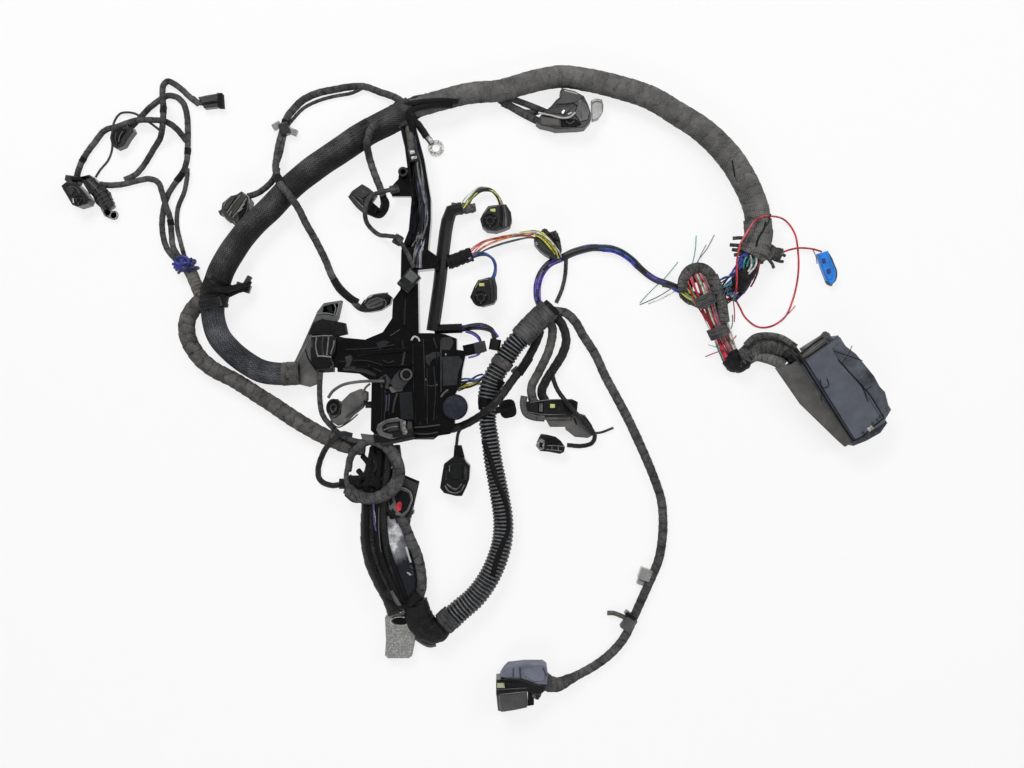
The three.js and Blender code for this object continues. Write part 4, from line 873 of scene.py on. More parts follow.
CORDS = [
    # name, route, radius, look, the plug at its far end
    ("right_cable", CABLE_ROUTE, 0.005, "cord", "cable_end_plug"),
    ("sensor_lead_upper_left", SENSOR_LEAD_UPPER_LEFT_ROUTE, 0.004, "cord", "oval_plug"),
    ("sensor_pair_cord", SENSOR_PAIR_ROUTE, 0.002, "cord", None),
    ("ribbed_plug_lead", RIBBED_PLUG_LEAD_ROUTE, 0.0035, "cord", "ribbed_plug"),
    ("upper_sensor_lead", UPPER_SENSOR_LEAD_ROUTE, 0.004, "cord", "upper_sensor_plug"),
    ("thin_branch_lead", THIN_BRANCH_LEAD_ROUTE, 0.0025, "cord", None),
    ("left_cord_outer", LEFT_CORD_OUTER_ROUTE, 0.0033, "left", "left_round_plug"),
    ("left_cord_to_block", LEFT_CORD_TO_BLOCK_ROUTE, 0.0033, "left", "left_block_plug"),
    ("left_third_cord", LEFT_THIRD_CORD_ROUTE, 0.0026, "left", None),
    ("left_thin_cord", LEFT_THIN_CORD_ROUTE, 0.0013, "left", None),
    ("left_cord_middle", LEFT_CORD_MIDDLE_ROUTE, 0.0033, "left", "left_boss_plug"),
    ("left_cord_to_sensor", LEFT_CORD_TO_SENSOR_ROUTE, 0.0033, "left", "sensor_plug_far_left"),
    ("bracket_plug_lead", BRACKET_PLUG_LEAD_ROUTE, 0.003, "cord", None),
    ("loop_plug_lead", LOOP_PLUG_LEAD_ROUTE, 0.0032, "dark", "loop_plug"),
    ("coiled_ring_lead", COILED_RING_LEAD_ROUTE, 0.004, "cord", None),
    ("film_side_lead", FILM_SIDE_LEAD_ROUTE, 0.0055, "cord", None),
    ("side_loom", SIDE_LOOM_ROUTE, 0.0045, "dark", None),
    ("injector_lead", INJECTOR_LEAD_ROUTE, 0.0018, "black", "injector_plug"),
    ("flat_strap_lead", FLAT_STRAP_LEAD_ROUTE, 0.005, "strap", "two_row_plug"),
    ("strap_lead_black", STRAP_LEAD_BLACK_ROUTE, 0.005, "dark", "two_row_plug"),
    ("silver_plug_lead", SILVER_PLUG_LEAD_ROUTE, 0.0025, "dark", "silver_mouth_plug"),
    ("violet_bundle", VIOLET_BUNDLE_ROUTE, 0.0036, "violet", None),
    ("thin_grey_cord", THIN_GREY_CORD_ROUTE, 0.0022, "cord", None),
    ("ring_terminal_lead", RING_TERMINAL_LEAD_ROUTE, 0.004, "dark", None),
    ("branch_plug_lead", BRANCH_PLUG_LEAD_ROUTE, 0.004, "cord", "branch_plug"),
    ("coil_lead_upper", COIL_LEAD_UPPER_ROUTE, 0.0018, "black", "coil_plug_upper"),
    ("coil_lead_middle", COIL_LEAD_MIDDLE_ROUTE, 0.0012, "blue", "coil_plug_middle"),
    ("coil_lead_branch", COIL_LEAD_BRANCH_ROUTE, 0.0012, "orange", "coil_plug_branch"),
    ("red_wire_loop", RED_WIRE_LOOP_ROUTE, 0.0011, "red", None),
    ("blue_plug_wire", BLUE_PLUG_WIRE_ROUTE, 0.0011, "red", "blue_plug"),
]
CARRIED_BY = {
    "ribbed_plug_lead": "sensor_lead_upper_left",
    "sensor_pair_cord": "sensor_lead_upper_left",
    "left_third_cord": "left_cord_outer",
    "left_thin_cord": "left_cord_outer",
    "left_cord_to_block": "left_cord_outer",
    "left_cord_to_sensor": "left_cord_middle",
    "bracket_plug_lead": "duct_side_leads",
    "loop_plug_lead": "duct_side_leads",
    "coiled_ring_lead": "duct_side_leads",
    "injector_lead": "side_loom",
    "silver_plug_lead": "strap_lead_black",
    "thin_grey_cord": "violet_bundle",
    "coil_lead_middle": "coil_leads",
    "coil_lead_branch": "coil_leads",
}
CORD_LOOKS = {
    "cord": (CORD_TAPE, "cord_tape"),
    "left": (CORD_TAPE, "cord_tape"),
    "dark": (DARK_TAPE, "dark_tape"),
    "strap": (CLOTH, "cloth_tape"),
    "black": (WIRES["black"], "violet_wire"),
    "violet": (WIRES["black"], "violet_wire"),
    "red": (WIRES["red"], "red_wire"),
    "blue": (WIRES["blue"], "violet_wire"),
    "orange": (WIRES["orange"], "violet_wire"),
}
SHORT = ("ring_terminal_lead", "branch_plug_lead")  # too short to be a cord of their own
runs = {}
for number, (name, route, radius, look, plug) in enumerate(CORDS):
    run = Run(route, radius)
    runs[name] = run
    material, slot = CORD_LOOKS[look]
    law = plain(radius, number, 0.01)
    if look in ("cord", "left", "dark", "strap"):
        law = wound(radius, 0.009 if radius > 0.003 else 0.006, 0.09 * radius, number, 0.035)
    piece = Piece(name + "_run").loft(run, law, material, 12 if radius > 0.002 else 8, 0.0012 + 0.1 * radius)
    piece = piece.build(slot)
    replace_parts(piece, CARRIED_BY.get(name, name))
    if name not in SHORT:
        declare(run)

# Trunks, looms and conduits

def trunk(name, route, radius, law, material, slot, sides=24, step=0.0015, squash=1.0):
    run = Run(route, radius)
    runs[name] = run
    piece = Piece(name + "_skin").loft(run, law(run), material, sides, step, squash=squash).build(slot)
    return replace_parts(piece, name) if name in frame["nodes"] else piece


trunk("trunk_sleeve_upper", SLEEVE_ROUTE, SLEEVE_RADIUS,
      lambda run: plain(SLEEVE_RADIUS, 31, 0.035), BRAID, "braid", 28)
trunk("trunk_sleeve_lower", SLEEVE_END_ROUTE, SLEEVE_END_RADIUS,
      lambda run: plain(SLEEVE_END_RADIUS, 32, 0.03), BRAID_END, "braid", 28)


def taper(run, first, last):
    return lambda s: first + (last - first) * s / run.length


trunk("trunk_tape_wrap", TAPE_ROUTE, TAPE_THICK_RADIUS,
      lambda run: wound(taper(run, TAPE_THIN_RADIUS, TAPE_THICK_RADIUS), 0.0115, 0.0005, 41, 0.03), CLOTH,
      "cloth_tape", 28, 0.0011)
trunk("left_loom", LOOM_ROUTE, LOOM_RADIUS, lambda run: wound(LOOM_RADIUS, 0.010, 0.0007, 42, 0.04), LOOM_TAPE,
      "cloth_tape", 24, 0.0011)
trunk("loom_stub", STUB_ROUTE, STUB_RADIUS, lambda run: wound(STUB_RADIUS, 0.009, 0.0005, 43, 0.03), CLOTH_LIGHT,
      "cloth_tape", 20, 0.0011)
trunk("lower_loom", LOWER_ROUTE, LOWER_LOOM_RADIUS,
      lambda run: wound(LOWER_LOOM_RADIUS, 0.012, 0.0006, 44, 0.04), DARK_TAPE, "dark_tape", 24, 0.0012)
trunk("conduit_upper", CONDUIT_UPPER_ROUTE, CONDUIT_RADIUS,
      lambda run: ridged(lambda s: CONDUIT_RADIUS, CONDUIT_PITCH, 0.0018), CONDUIT, "conduit", 28, CONDUIT_PITCH / 8)
trunk("conduit_upper_cuff", CONDUIT_UPPER_CUFF, CUFF_RADIUS,
      lambda run: wound(CUFF_RADIUS, 0.011, 0.0006, 45, 0.02), CUFF_TAPE, "cloth_tape", 24, 0.0011)
trunk("conduit_lower", CONDUIT_LOWER_ROUTE, CONDUIT_END_RADIUS,
      lambda run: ridged(taper(run, CONDUIT_TOP_RADIUS, CONDUIT_END_RADIUS), CONDUIT_PITCH, 0.0018,
                         lambda s: 0.3 + 0.12 * math.sin(s * 22)), CONDUIT, "conduit", 30, CONDUIT_PITCH / 8)
trunk("conduit_lower_cuff", CONDUIT_LOWER_CUFF, CUFF_RADIUS,
      lambda run: wound(CUFF_RADIUS + 0.0005, 0.010, 0.0006, 46, 0.02), CUFF_TAPE, "cloth_tape", 24, 0.0011)
trunk("elbow_wrap", ELBOW_ROUTE, CUFF_RADIUS,
      lambda run: wound(taper(run, CUFF_RADIUS, 0.010), 0.011, 0.0008, 47, 0.05), BLACK_TAPE, "dark_tape", 24, 0.0011)
trunk("trunk_end_boot", BOOT_ROUTE, 0.0155,
      lambda run: wound(taper(run, 0.0150, 0.0158), 0.012, 0.0006, 48, 0.03), CLOTH, "cloth_tape", 26, 0.0011)
trunk("bundle_knot_wrap", KNOT_ROUTE, 0.008,
      lambda run: wound(0.008, 0.009, 0.0008, 49, 0.08), WORN_TAPE, "cloth_tape", 20, 0.0011)
trunk("ecu_lead_wrap", ECU_LEAD_ROUTE, ECU_LEAD_RADIUS,
      lambda run: wound(ECU_LEAD_RADIUS, 0.008, 0.0010, 50, 0.08), WORN_TAPE, "dark_tape", 24, 0.0011)


# Bare wires

def wires_along(name, run, colours, spread, seed, slot, radius=WIRE_RADIUS, twist=9.0, node=None, start=0.0,
                end=None, fan=0.0):
    """Wires of the named colours that wind gently round each other along a run."""
    draw = random.Random(seed)
    end = run.length if end is None else end
    piece = Piece(name)
    for number, colour in enumerate(colours):
        angle = math.tau * number / len(colours) * 2.4
        reach = spread * (0.55 + 0.45 * draw.random() if number % 3 else 0.35)
        wobble = smooth_noise(seed * 50 + number)
        points = []
        steps = max(6, int((end - start) / 0.003))
        for i in range(steps + 1):
            s = start + (end - start) * i / steps
            centre, _, side, up = run.place(s)
            a = angle + twist * s + 0.6 * wobble(s)
            out = reach * (1 + 0.15 * wobble(s + 1)) + fan * (s - start) * (0.5 + draw.random() * 0.02)
            point = centre + side * (math.cos(a) * out) + up * (math.sin(a) * out)
            point.z = max(point.z, radius)
            points.append(point)
        piece.tube(points, radius, WIRES[colour])
    piece = piece.build(slot)
    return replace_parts(piece, node) if node else piece


BUNDLE_COLOURS = ["red", "white", "green", "pink", "blue", "crimson", "white", "violet", "teal", "pink", "white",
                  "green", "red", "pink", "green", "crimson", "white", "crimson", "brown", "red", "pink", "crimson"]
bundle = Run(BUNDLE_ROUTE, BUNDLE_RADIUS)
wires_along("exposed_wire_bundle_wires", bundle, BUNDLE_COLOURS * 2, 0.0092, 7, "red_wire", twist=4.0,
            node="exposed_wire_bundle")
fan = Run(FAN_ROUTE, BUNDLE_RADIUS)
wires_along("wire_fan_wires", fan, ["violet", "blue", "teal", "white", "black", "violet", "blue", "black", "teal",
            "black", "black", "violet", "blue", "black", "white", "teal", "black", "violet"] * 2, 0.0115, 8,
            "violet_wire", twist=5.0, node="wire_fan")
violet = runs["violet_bundle"]
wires_along("violet_bundle_wires", violet, ["violet", "violet", "blue", "black", "violet", "black", "blue"], 0.0036,
            9, "violet_wire", twist=16.0)
EXPOSED = (("violet", 0.004, 0.034, 0.3), ("mauve", 0.022, 0.044, -0.2), ("violet", 0.054, 0.070, 0.1),
           ("mauve", 0.052, 0.068, -0.5), ("blue", 0.112, 0.158, -0.3), ("violet", 0.116, 0.162, -0.9),
           ("violet", 0.174, 0.198, 0.0))
bared = Piece("violet_bundle_bared")
for colour, start, end, lean in EXPOSED:
    line = []
    for i in range(13):
        centre, _, side, up = violet.place(start + (end - start) * i / 12)
        line.append(centre + side * 0.0042 * math.sin(lean) + up * 0.0042 * math.cos(lean))
    bared.tube(line, 0.0011, WIRES[colour])
bared.build("violet_wire")


# Helpers for the small parts

def strand(points, per_span=8):
    """A smooth line through (x, y, z) places."""
    return centripetal([spot(*p) for p in points], per_span)


def nearest(run, x, y):
    """How far along a run the place is that lies closest to (x, y)."""
    goal = spot(x, y)
    best = min(range(len(run.points)), key=lambda i: (run.points[i].xy - goal.xy).length)
    return run.at[best]


def band(piece, run, middle, length, radius, material, pitch=None):
    """A turn of tape or a clip round a run."""
    law = wound(radius, pitch or length * 1.3, 0.0006, int(middle * 9000), 0.02)
    return piece.loft(run, law, material, 22, 0.0012, max(middle - length / 2, 0.0),
                      min(middle + length / 2, run.length))


def ring(piece, place, outer, inner, height, material, sides=28, axis=(0, 0, 1)):
    """A flat ring with rounded edges; place is the middle of its underside."""
    edge = min(0.0006, height / 3, (outer - inner) / 3)
    profile = [(0.0, inner), (0.0, outer), (height - edge, outer), (height, outer - edge),
               (height, inner + edge), (height - edge, inner), (0.0, inner)]
    return piece.turned(place, axis, profile, material, sides)


def wires(piece, colours, points, radius=WIRE_RADIUS, spread=0.0016, seed=1):
    """A few single wires side by side along one line."""
    draw = random.Random(seed)
    line = strand(points)
    for colour in colours:
        a, b = draw.uniform(-1, 1) * spread, draw.uniform(-0.5, 1) * spread
        wave, phase = draw.uniform(0.3, 1.0) * spread, draw.uniform(0, math.tau)
        moved = []
        for i, p in enumerate(line):
            forward = line[min(i + 1, len(line) - 1)] - line[max(i - 1, 0)]
            side = Vector((-forward.y, forward.x, 0.0)).normalized()
            t = i / max(len(line) - 1, 1)
            moved.append(p + side * (a + wave * math.sin(phase + 5 * t)) + Vector((0, 0, b)))
        piece.tube(moved, radius, WIRES[colour], 6)
    return piece


# Black joint where the sleeve, the tape trunk and the leads meet above the duct

joint = Piece("trunk_joint_wrap")
joint_run = Run([(-0.087, 0.301), (-0.076, 0.307), (-0.064, 0.313), (-0.050, 0.317)], 0.012)
joint.loft(joint_run, wound(lambda s: 0.0145 - 0.085 * s, 0.012, 0.0008, 61, 0.05), BLACK_TAPE, 24, 0.0011)
for number, points in enumerate((
    [(-0.083, 0.311, 0.02), (-0.068, 0.313, 0.027), (-0.051, 0.315, 0.027),
        (-0.033, 0.316, 0.025), (-0.019, 0.316, 0.022)],
    [(-0.077, 0.304, 0.024), (-0.061, 0.308, 0.027), (-0.042, 0.311, 0.026),
        (-0.025, 0.312, 0.022)],
    [(-0.087, 0.315, 0.014), (-0.077, 0.306, 0.024), (-0.070, 0.296, 0.024),
        (-0.069, 0.284, 0.02)],
)):
    joint.tube(strand(points), 0.0032, BLACK_TAPE, 10)
joint.build("dark_tape")

# Black cloth patch on the upper sleeve

patch = Piece("sleeve_cloth_patch")
upper = Run(SLEEVE_ROUTE, SLEEVE_RADIUS)
patch_middle = nearest(upper, -0.129, 0.279)
band(patch, upper, patch_middle, 0.036, SLEEVE_RADIUS + 0.0005, BLACK_TAPE, 0.019)
patch.build("dark_tape")

# Tape band, clamp and clip where the sleeve turns

turn_tape = Piece("sleeve_turn_tape")
turn_run = Run([(-0.277, 0.125), (-0.282, 0.116), (-0.284, 0.104), (-0.285, 0.096)], SLEEVE_RADIUS)
turn_tape.loft(turn_run, wound(SLEEVE_RADIUS + 0.0012, 0.009, 0.0009, 62, 0.05), BLACK_TAPE, 26, 0.0011)
turn_tape.tube(strand([(-0.295, 0.105, 0.02), (-0.282, 0.112, 0.03), (-0.269, 0.112, 0.03),
        (-0.257, 0.116, 0.02), (-0.247, 0.119, 0.014)]), 0.0034, BLACK_TAPE, 10)
turn_tape.tube(strand([(-0.268, 0.107, 0.018), (-0.258, 0.112, 0.016), (-0.250, 0.115, 0.014),
        (-0.246, 0.123, 0.012)]), 0.0028, BLACK_SOFT, 8)
turn_tape.block(spot(-0.253, 0.116, 0.009), -18, (0.016, 0.009, 0.006), BLACK)
turn_tape.block(spot(-0.248, 0.124, 0.009), 60, (0.010, 0.005, 0.006), DARK_GREY)
turn_tape.block(spot(-0.285, 0.098, 0.0268), 12, (0.024, 0.010, 0.003), BLACK)
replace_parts(turn_tape.build("dark_tape"), "sleeve_tie_band")

# Grey end tape on the lower sleeve, and the strip of tape along it

lower_end = Run(SLEEVE_END_ROUTE, SLEEVE_END_RADIUS)
end_tape = Piece("sleeve_end_tape")
band(end_tape, lower_end, nearest(lower_end, -0.195, 0.023), 0.030, SLEEVE_END_RADIUS + 0.0006, LOOM_TAPE, 0.010)
end_tape.build("cloth_tape")

# Blue tie with its knot, and black tape on the left cords

tie = Piece("blue_tie_knot")
tie_run = Run([(-0.319, 0.149), (-0.314, 0.140), (-0.309, 0.128)], 0.008)
for middle, tilt in ((0.006, 0.3), (0.010, -0.2), (0.014, 0.25)):
    points = []
    centre, forward, side, up = tie_run.place(middle)
    for k in range(17):
        a = math.tau * k / 16
        offset = side * math.cos(a) + up * math.sin(a) + forward * (tilt * math.cos(a))
        point = centre + offset * 0.0088
        point.z = max(point.z, 0.0014)
        points.append(point)
    tie.tube(points, 0.0018, NAVY, 8)
for points in ([(-0.325, 0.148, 0.014), (-0.317, 0.149, 0.018), (-0.311, 0.146, 0.018),
        (-0.309, 0.143, 0.014)], [(-0.327, 0.144, 0.013), (-0.320, 0.141, 0.018), (-0.313, 0.142, 0.019),
        (-0.309, 0.139, 0.014)],
               [(-0.328, 0.138, 0.012), (-0.322, 0.136, 0.016), (-0.315, 0.137, 0.018),
        (-0.311, 0.135, 0.015)], [(-0.324, 0.132, 0.011), (-0.318, 0.137, 0.017), (-0.316, 0.143, 0.018)],
               [(-0.320, 0.150, 0.014), (-0.318, 0.145, 0.018), (-0.320, 0.139, 0.017),
        (-0.326, 0.135, 0.012)], [(-0.314, 0.149, 0.016), (-0.311, 0.143, 0.018), (-0.313, 0.136, 0.017),
        (-0.311, 0.132, 0.012)],
               [(-0.330, 0.142, 0.011), (-0.325, 0.139, 0.014), (-0.319, 0.134, 0.016)], [(-0.310, 0.148, 0.014), (-0.308, 0.144, 0.014), (-0.310, 0.139, 0.015)]):
    tie.tube(strand(points), 0.0017, NAVY, 8)
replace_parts(tie.build("navy_tie"), "blue_tie")

left_tape = Piece("left_cord_tape")
for cord_name, x, y, length in (
    ("left_cord_outer", -0.323, 0.237, 0.012), ("left_cord_outer", -0.315, 0.266, 0.007),
    ("left_cord_middle", -0.332, 0.188, 0.006), ("left_cord_to_sensor", -0.341, 0.308, 0.008),
    ("left_cord_to_block", -0.427, 0.255, 0.006), ("sensor_lead_upper_left", -0.209, 0.295, 0.010),
    ("sensor_lead_upper_left", -0.212, 0.229, 0.009), ("sensor_lead_upper_left", -0.144, 0.111, 0.038),
):
    run = runs[cord_name]
    band(left_tape, run, nearest(run, x, y), length, run.radius * 1.12, BLACK_TAPE)
left_tape.build("dark_tape")


# Clips

clips = Piece("cord_clips")
clips.block(spot(-0.218, 0.294, 0.002), 30, (0.010, 0.007, 0.005), CLEAR)
clips.block(spot(-0.200, 0.287, 0.002), -20, (0.009, 0.007, 0.005), CLEAR)
clips.block(spot(-0.209, 0.290, 0.001), -75, (0.013, 0.011, 0.010), BLACK)
clips.block(spot(-0.084, 0.167, 0.014), 60, (0.011, 0.009, 0.008), DARK_GREY)
clips.block(spot(0.167, -0.251, 0.001), 55, (0.016, 0.0125, 0.011), GREY_WORN)
clips.block(spot(0.169, -0.242, 0.001), 55, (0.005, 0.0135, 0.0116), BLACK)
clips.tube(strand([(0.166, -0.246, 0.007), (0.160, -0.243, 0.007), (0.151, -0.240, 0.005),
        (0.144, -0.240, 0.004)]), 0.0026, CLOTH_LIGHT, 8)
clips.block(spot(0.185, -0.197, 0.001), 70, (0.013, 0.013, 0.0102), CLEAR)
clips.block(spot(0.181, -0.204, 0.001), 70, (0.010, 0.008, 0.006), CLEAR)
clips.block(spot(0.044, 0.025, 0.001), 40, (0.009, 0.009, 0.008), CLEAR)
clips.build("black_plug")

# Wires, boxes and streaks in the open channel of the duct

channel = Piece("duct_channel_wires")
draw = random.Random(5)
lines = ([(-0.079, 0.298, 0.009), (-0.073, 0.277, 0.009), (-0.066, 0.250, 0.009),
        (-0.062, 0.223, 0.009), (-0.060, 0.196, 0.009), (-0.063, 0.173, 0.009),
        (-0.067, 0.160, 0.013)],
         [(-0.076, 0.297, 0.013), (-0.070, 0.276, 0.013), (-0.065, 0.252, 0.014),
        (-0.059, 0.224, 0.015), (-0.056, 0.196, 0.015), (-0.058, 0.172, 0.015),
        (-0.063, 0.156, 0.021), (-0.064, 0.140, 0.024)],
         [(-0.073, 0.297, 0.015), (-0.068, 0.276, 0.016), (-0.062, 0.252, 0.017),
        (-0.057, 0.221, 0.017), (-0.054, 0.195, 0.017), (-0.056, 0.167, 0.018),
        (-0.060, 0.151, 0.023), (-0.060, 0.136, 0.024)],
         [(-0.081, 0.297, 0.01), (-0.076, 0.275, 0.01), (-0.071, 0.247, 0.01),
        (-0.067, 0.214, 0.01), (-0.067, 0.183, 0.01), (-0.072, 0.161, 0.014)],
         [(-0.071, 0.286, 0.017), (-0.065, 0.265, 0.018), (-0.061, 0.241, 0.019),
        (-0.056, 0.215, 0.018), (-0.052, 0.191, 0.018), (-0.055, 0.167, 0.02)])
palette = ("black", "black", "slate", "black", "grey", "black", "slate", "black")
for number in range(22):
    route = [(x + draw.uniform(-0.003, 0.003), y, z + draw.uniform(-0.002, 0.003))
             for x, y, z in lines[number % len(lines)]]
    channel.tube(strand(route), draw.choice((0.0010, 0.0013, 0.0018)), WIRES[palette[number % 8]], 6)
channel.tube(strand([(-0.073, 0.295, 0.017), (-0.071, 0.281, 0.019), (-0.069, 0.264, 0.019)]), 0.0042, LOOM_TAPE, 12)
channel.block(spot(-0.080, 0.297, 0.014), -70, (0.016, 0.011, 0.010), BLACK)
channel.block(spot(-0.080, 0.299, 0.024), -70, (0.006, 0.007, 0.002), GREY)
channel.block(spot(-0.067, 0.258, 0.014), -75, (0.013, 0.010, 0.010), BLACK)
channel.block(spot(-0.068, 0.261, 0.024), -75, (0.004, 0.005, 0.0015), TINNED)
channel.block(spot(-0.066, 0.255, 0.024), -75, (0.003, 0.006, 0.0015), TINNED)
channel.build("gloss_duct")

# Fittings on the duct

fittings = Piece("duct_fittings")
ring(fittings, spot(-0.078, 0.240, 0.0225), 0.0052, 0.0026, 0.0024, BLACK)
fittings.block(spot(-0.088, 0.222, 0.013), 12, (0.010, 0.009, 0.006), BLACK)
fittings.block(spot(-0.071, 0.122, 0.0225), 50, (0.022, 0.016, 0.009), BLACK)
fittings.block(spot(-0.068, 0.126, 0.0312), 50, (0.010, 0.012, 0.002), GREY)
fittings.block(spot(-0.077, 0.115, 0.0312), 50, (0.004, 0.013, 0.0015), BLACK)
for outline, bottom, top, look in (
    ([(-0.0919, 0.0121), (-0.0865, 0.0207), (-0.0811, 0.0261), (-0.0725, 0.0272),
            (-0.0682, 0.0196), (-0.0757, 0.0088), (-0.0854, 0.0045)], 0.0215, 0.0262, DARK_GREY),
    ([(-0.1039, 0.0175), (-0.0963, 0.0218), (-0.0909, 0.0153), (-0.0942, 0.0056),
            (-0.1017, 0.0067)], 0.0215, 0.0238, DARK_GREY),
    ([(-0.1017, 0.0142), (-0.0963, 0.0164), (-0.0963, 0.0110), (-0.1007, 0.0099)], 0.0232, 0.0246, BLACK_SOFT),
    ([(-0.0942, 0.0078), (-0.0769, 0.0088), (-0.0791, 0.0034), (-0.0899, 0.0013)], 0.0215, 0.0232, GREY_WORN),
    ([(-0.0824, 0.0013), (-0.0684, 0.0024), (-0.0662, -0.0268), (-0.0803, -0.0279)], 0.0215, 0.0226, DUCT_PANEL),
    ([(-0.0360, 0.0402), (-0.0176, 0.0412), (-0.0133, 0.0358), (-0.0187, 0.0218),
            (-0.0198, 0.0099), (-0.0349, 0.0088)], 0.0215, 0.0227, DUCT_PALE),
    ([(-0.0371, 0.0607), (-0.0263, 0.0618), (-0.0230, 0.0564), (-0.0273, 0.0477),
            (-0.0381, 0.0477)], 0.0215, 0.0227, DARK_GREY),
    ([(-0.1429, 0.0283), (-0.1332, 0.0304), (-0.1202, 0.0283), (-0.1073, 0.0218),
            (-0.1073, 0.0186), (-0.1202, 0.0229), (-0.1353, 0.0250), (-0.1429, 0.0250)], 0.0213, 0.0224, DUCT_PALE),
    ([(-0.0543, 0.0412), (-0.0457, 0.0456), (-0.0381, 0.0456), (-0.0381, 0.0412),
            (-0.0468, 0.0369), (-0.0500, 0.0304), (-0.0533, 0.0348)], 0.0215, 0.0226, DUCT_PALE),
    ([(-0.1073, 0.0553), (-0.0986, 0.0585), (-0.0921, 0.0564), (-0.1029, 0.0477)], 0.0215, 0.0226, DUCT_PANEL),
):
    fittings.slab(outline, bottom, top, look, 0.0004)
ring(fittings, spot(-0.074, 0.021, 0.0258), 0.0066, 0.0045, 0.0022, GREY_WORN)
fittings.turned(spot(-0.074, 0.021, 0.0262), (0, 0, 1), [(0, 0.0045), (0.0006, 0.0043)], BLACK_SOFT)
for points, radius, look in (
    # The first three lines here are painted highlights on the duct: a pale arc, a grey streak and a tapered dark grey
    # line.
    ([(-0.069, 0.058, 0.024), (-0.066, 0.062, 0.024), (-0.062, 0.061, 0.024),
        (-0.060, 0.057, 0.024)], 0.0010, PALE), ([(-0.037, -0.003, 0.024), (-0.034, 0.001, 0.024), (-0.029, 0.005, 0.024)], 0.0010, GREY),
    ([(-0.076, 0.047, 0.023), (-0.077, 0.040, 0.023), (-0.079, 0.031, 0.023)], 0.0010, DARK_GREY), ([(-0.084, 0.001, 0.024), (-0.087, -0.008, 0.024), (-0.089, -0.020, 0.024)], 0.0012, DARK_GREY),
    ([(-0.096, -0.001, 0.023), (-0.096, -0.011, 0.023), (-0.097, -0.019, 0.023)], 0.0010, BLUE_DARK), ([(-0.093, 0.000, 0.023), (-0.093, -0.009, 0.023), (-0.094, -0.018, 0.023)], 0.0009, BLUE_DARK),
    ([(-0.052, 0.028, 0.023), (-0.052, -0.002, 0.023), (-0.052, -0.032, 0.023)], 0.0007, DUCT_PANEL), ([(-0.045, 0.030, 0.023), (-0.043, 0.002, 0.023), (-0.045, -0.028, 0.023)], 0.0008, DUCT_PANEL),
    ([(-0.037, 0.058, 0.023), (-0.037, 0.024, 0.023), (-0.037, 0.002, 0.023)], 0.0008, DARK_GREY), ([(-0.067, 0.054, 0.023), (-0.067, 0.024, 0.023), (-0.066, 0.002, 0.023)], 0.0007, DUCT_PANEL),
    ([(-0.066, -0.036, 0.024), (-0.053, -0.035, 0.024), (-0.038, -0.033, 0.024)], 0.0009, DARK_GREY), ([(-0.067, -0.042, 0.024), (-0.053, -0.043, 0.024), (-0.040, -0.041, 0.024)], 0.0007, DARK_GREY),
    ([(-0.067, -0.048, 0.024), (-0.055, -0.048, 0.024), (-0.044, -0.047, 0.024)], 0.0008, DARK_GREY), ([(-0.045, 0.061, 0.023), (-0.042, 0.050, 0.023)], 0.0006, DARK_GREY),
    ([(-0.115, 0.031, 0.023), (-0.107, 0.027, 0.023), (-0.101, 0.024, 0.023)], 0.0005, DARK_GREY), ([(-0.100, 0.037, 0.023), (-0.094, 0.034, 0.023), (-0.088, 0.036, 0.023)], 0.0005, DARK_GREY),
    ([(-0.092, 0.063, 0.023), (-0.087, 0.066, 0.023), (-0.081, 0.070, 0.023)], 0.0006, DARK_GREY), ([(-0.056, 0.012, 0.023), (-0.049, 0.009, 0.023), (-0.040, 0.010, 0.023)], 0.0006, DARK_GREY),
):
    fittings.tube(strand(points, 5), radius, look, 7)
for x, y in ((-0.066, 0.043), (-0.032, 0.043), (-0.026, 0.015), (-0.054, 0.016), (-0.042, 0.010), (-0.046, -0.043)):
    fittings.turned(spot(x, y, 0.0218), (0, 0, 1), [(0, 0.0013), (0.0007, 0.0011)], TINNED, 12)
for points in ([(-0.079, 0.058, 0.024), (-0.078, 0.045, 0.024), (-0.078, 0.030, 0.024)], [(-0.061, 0.053, 0.024), (-0.058, 0.021, 0.024), (-0.058, -0.012, 0.024),
        (-0.060, -0.033, 0.024)],
               [(-0.042, 0.045, 0.024), (-0.040, 0.024, 0.024), (-0.040, -0.001, 0.024),
        (-0.042, -0.026, 0.024)], [(-0.035, -0.004, 0.024), (-0.032, 0.000, 0.024), (-0.028, 0.003, 0.024)],
               [(-0.094, -0.004, 0.024), (-0.093, -0.017, 0.024), (-0.096, -0.028, 0.024)], [(-0.066, -0.040, 0.024), (-0.049, -0.039, 0.024), (-0.037, -0.036, 0.024)],
               [(-0.060, -0.047, 0.024), (-0.046, -0.047, 0.024)], [(-0.076, 0.102, 0.024), (-0.077, 0.075, 0.024)],
               [(-0.140, 0.048, 0.024), (-0.113, 0.049, 0.024), (-0.087, 0.053, 0.024)], [(-0.146, 0.035, 0.024), (-0.119, 0.036, 0.024), (-0.097, 0.030, 0.024)]):
    fittings.tube([Vector((p.x, p.y, 0.0221)) for p in strand(points)], 0.0009, GLOSS, 8)
cap_place = spot(-0.022, -0.014, 0.0272)
fittings.turned(cap_place, (0, 0, 1), [(0, 0.0130), (0.0012, 0.0122), (0.0024, 0.0092), (0.0030, 0.0045), (0.0031, 0.0)],
                moulded("dark_blue_cap", (27, 31, 41), 0.6, 500.0, 0.35, 0.0, 0.2, 0.2), 28)
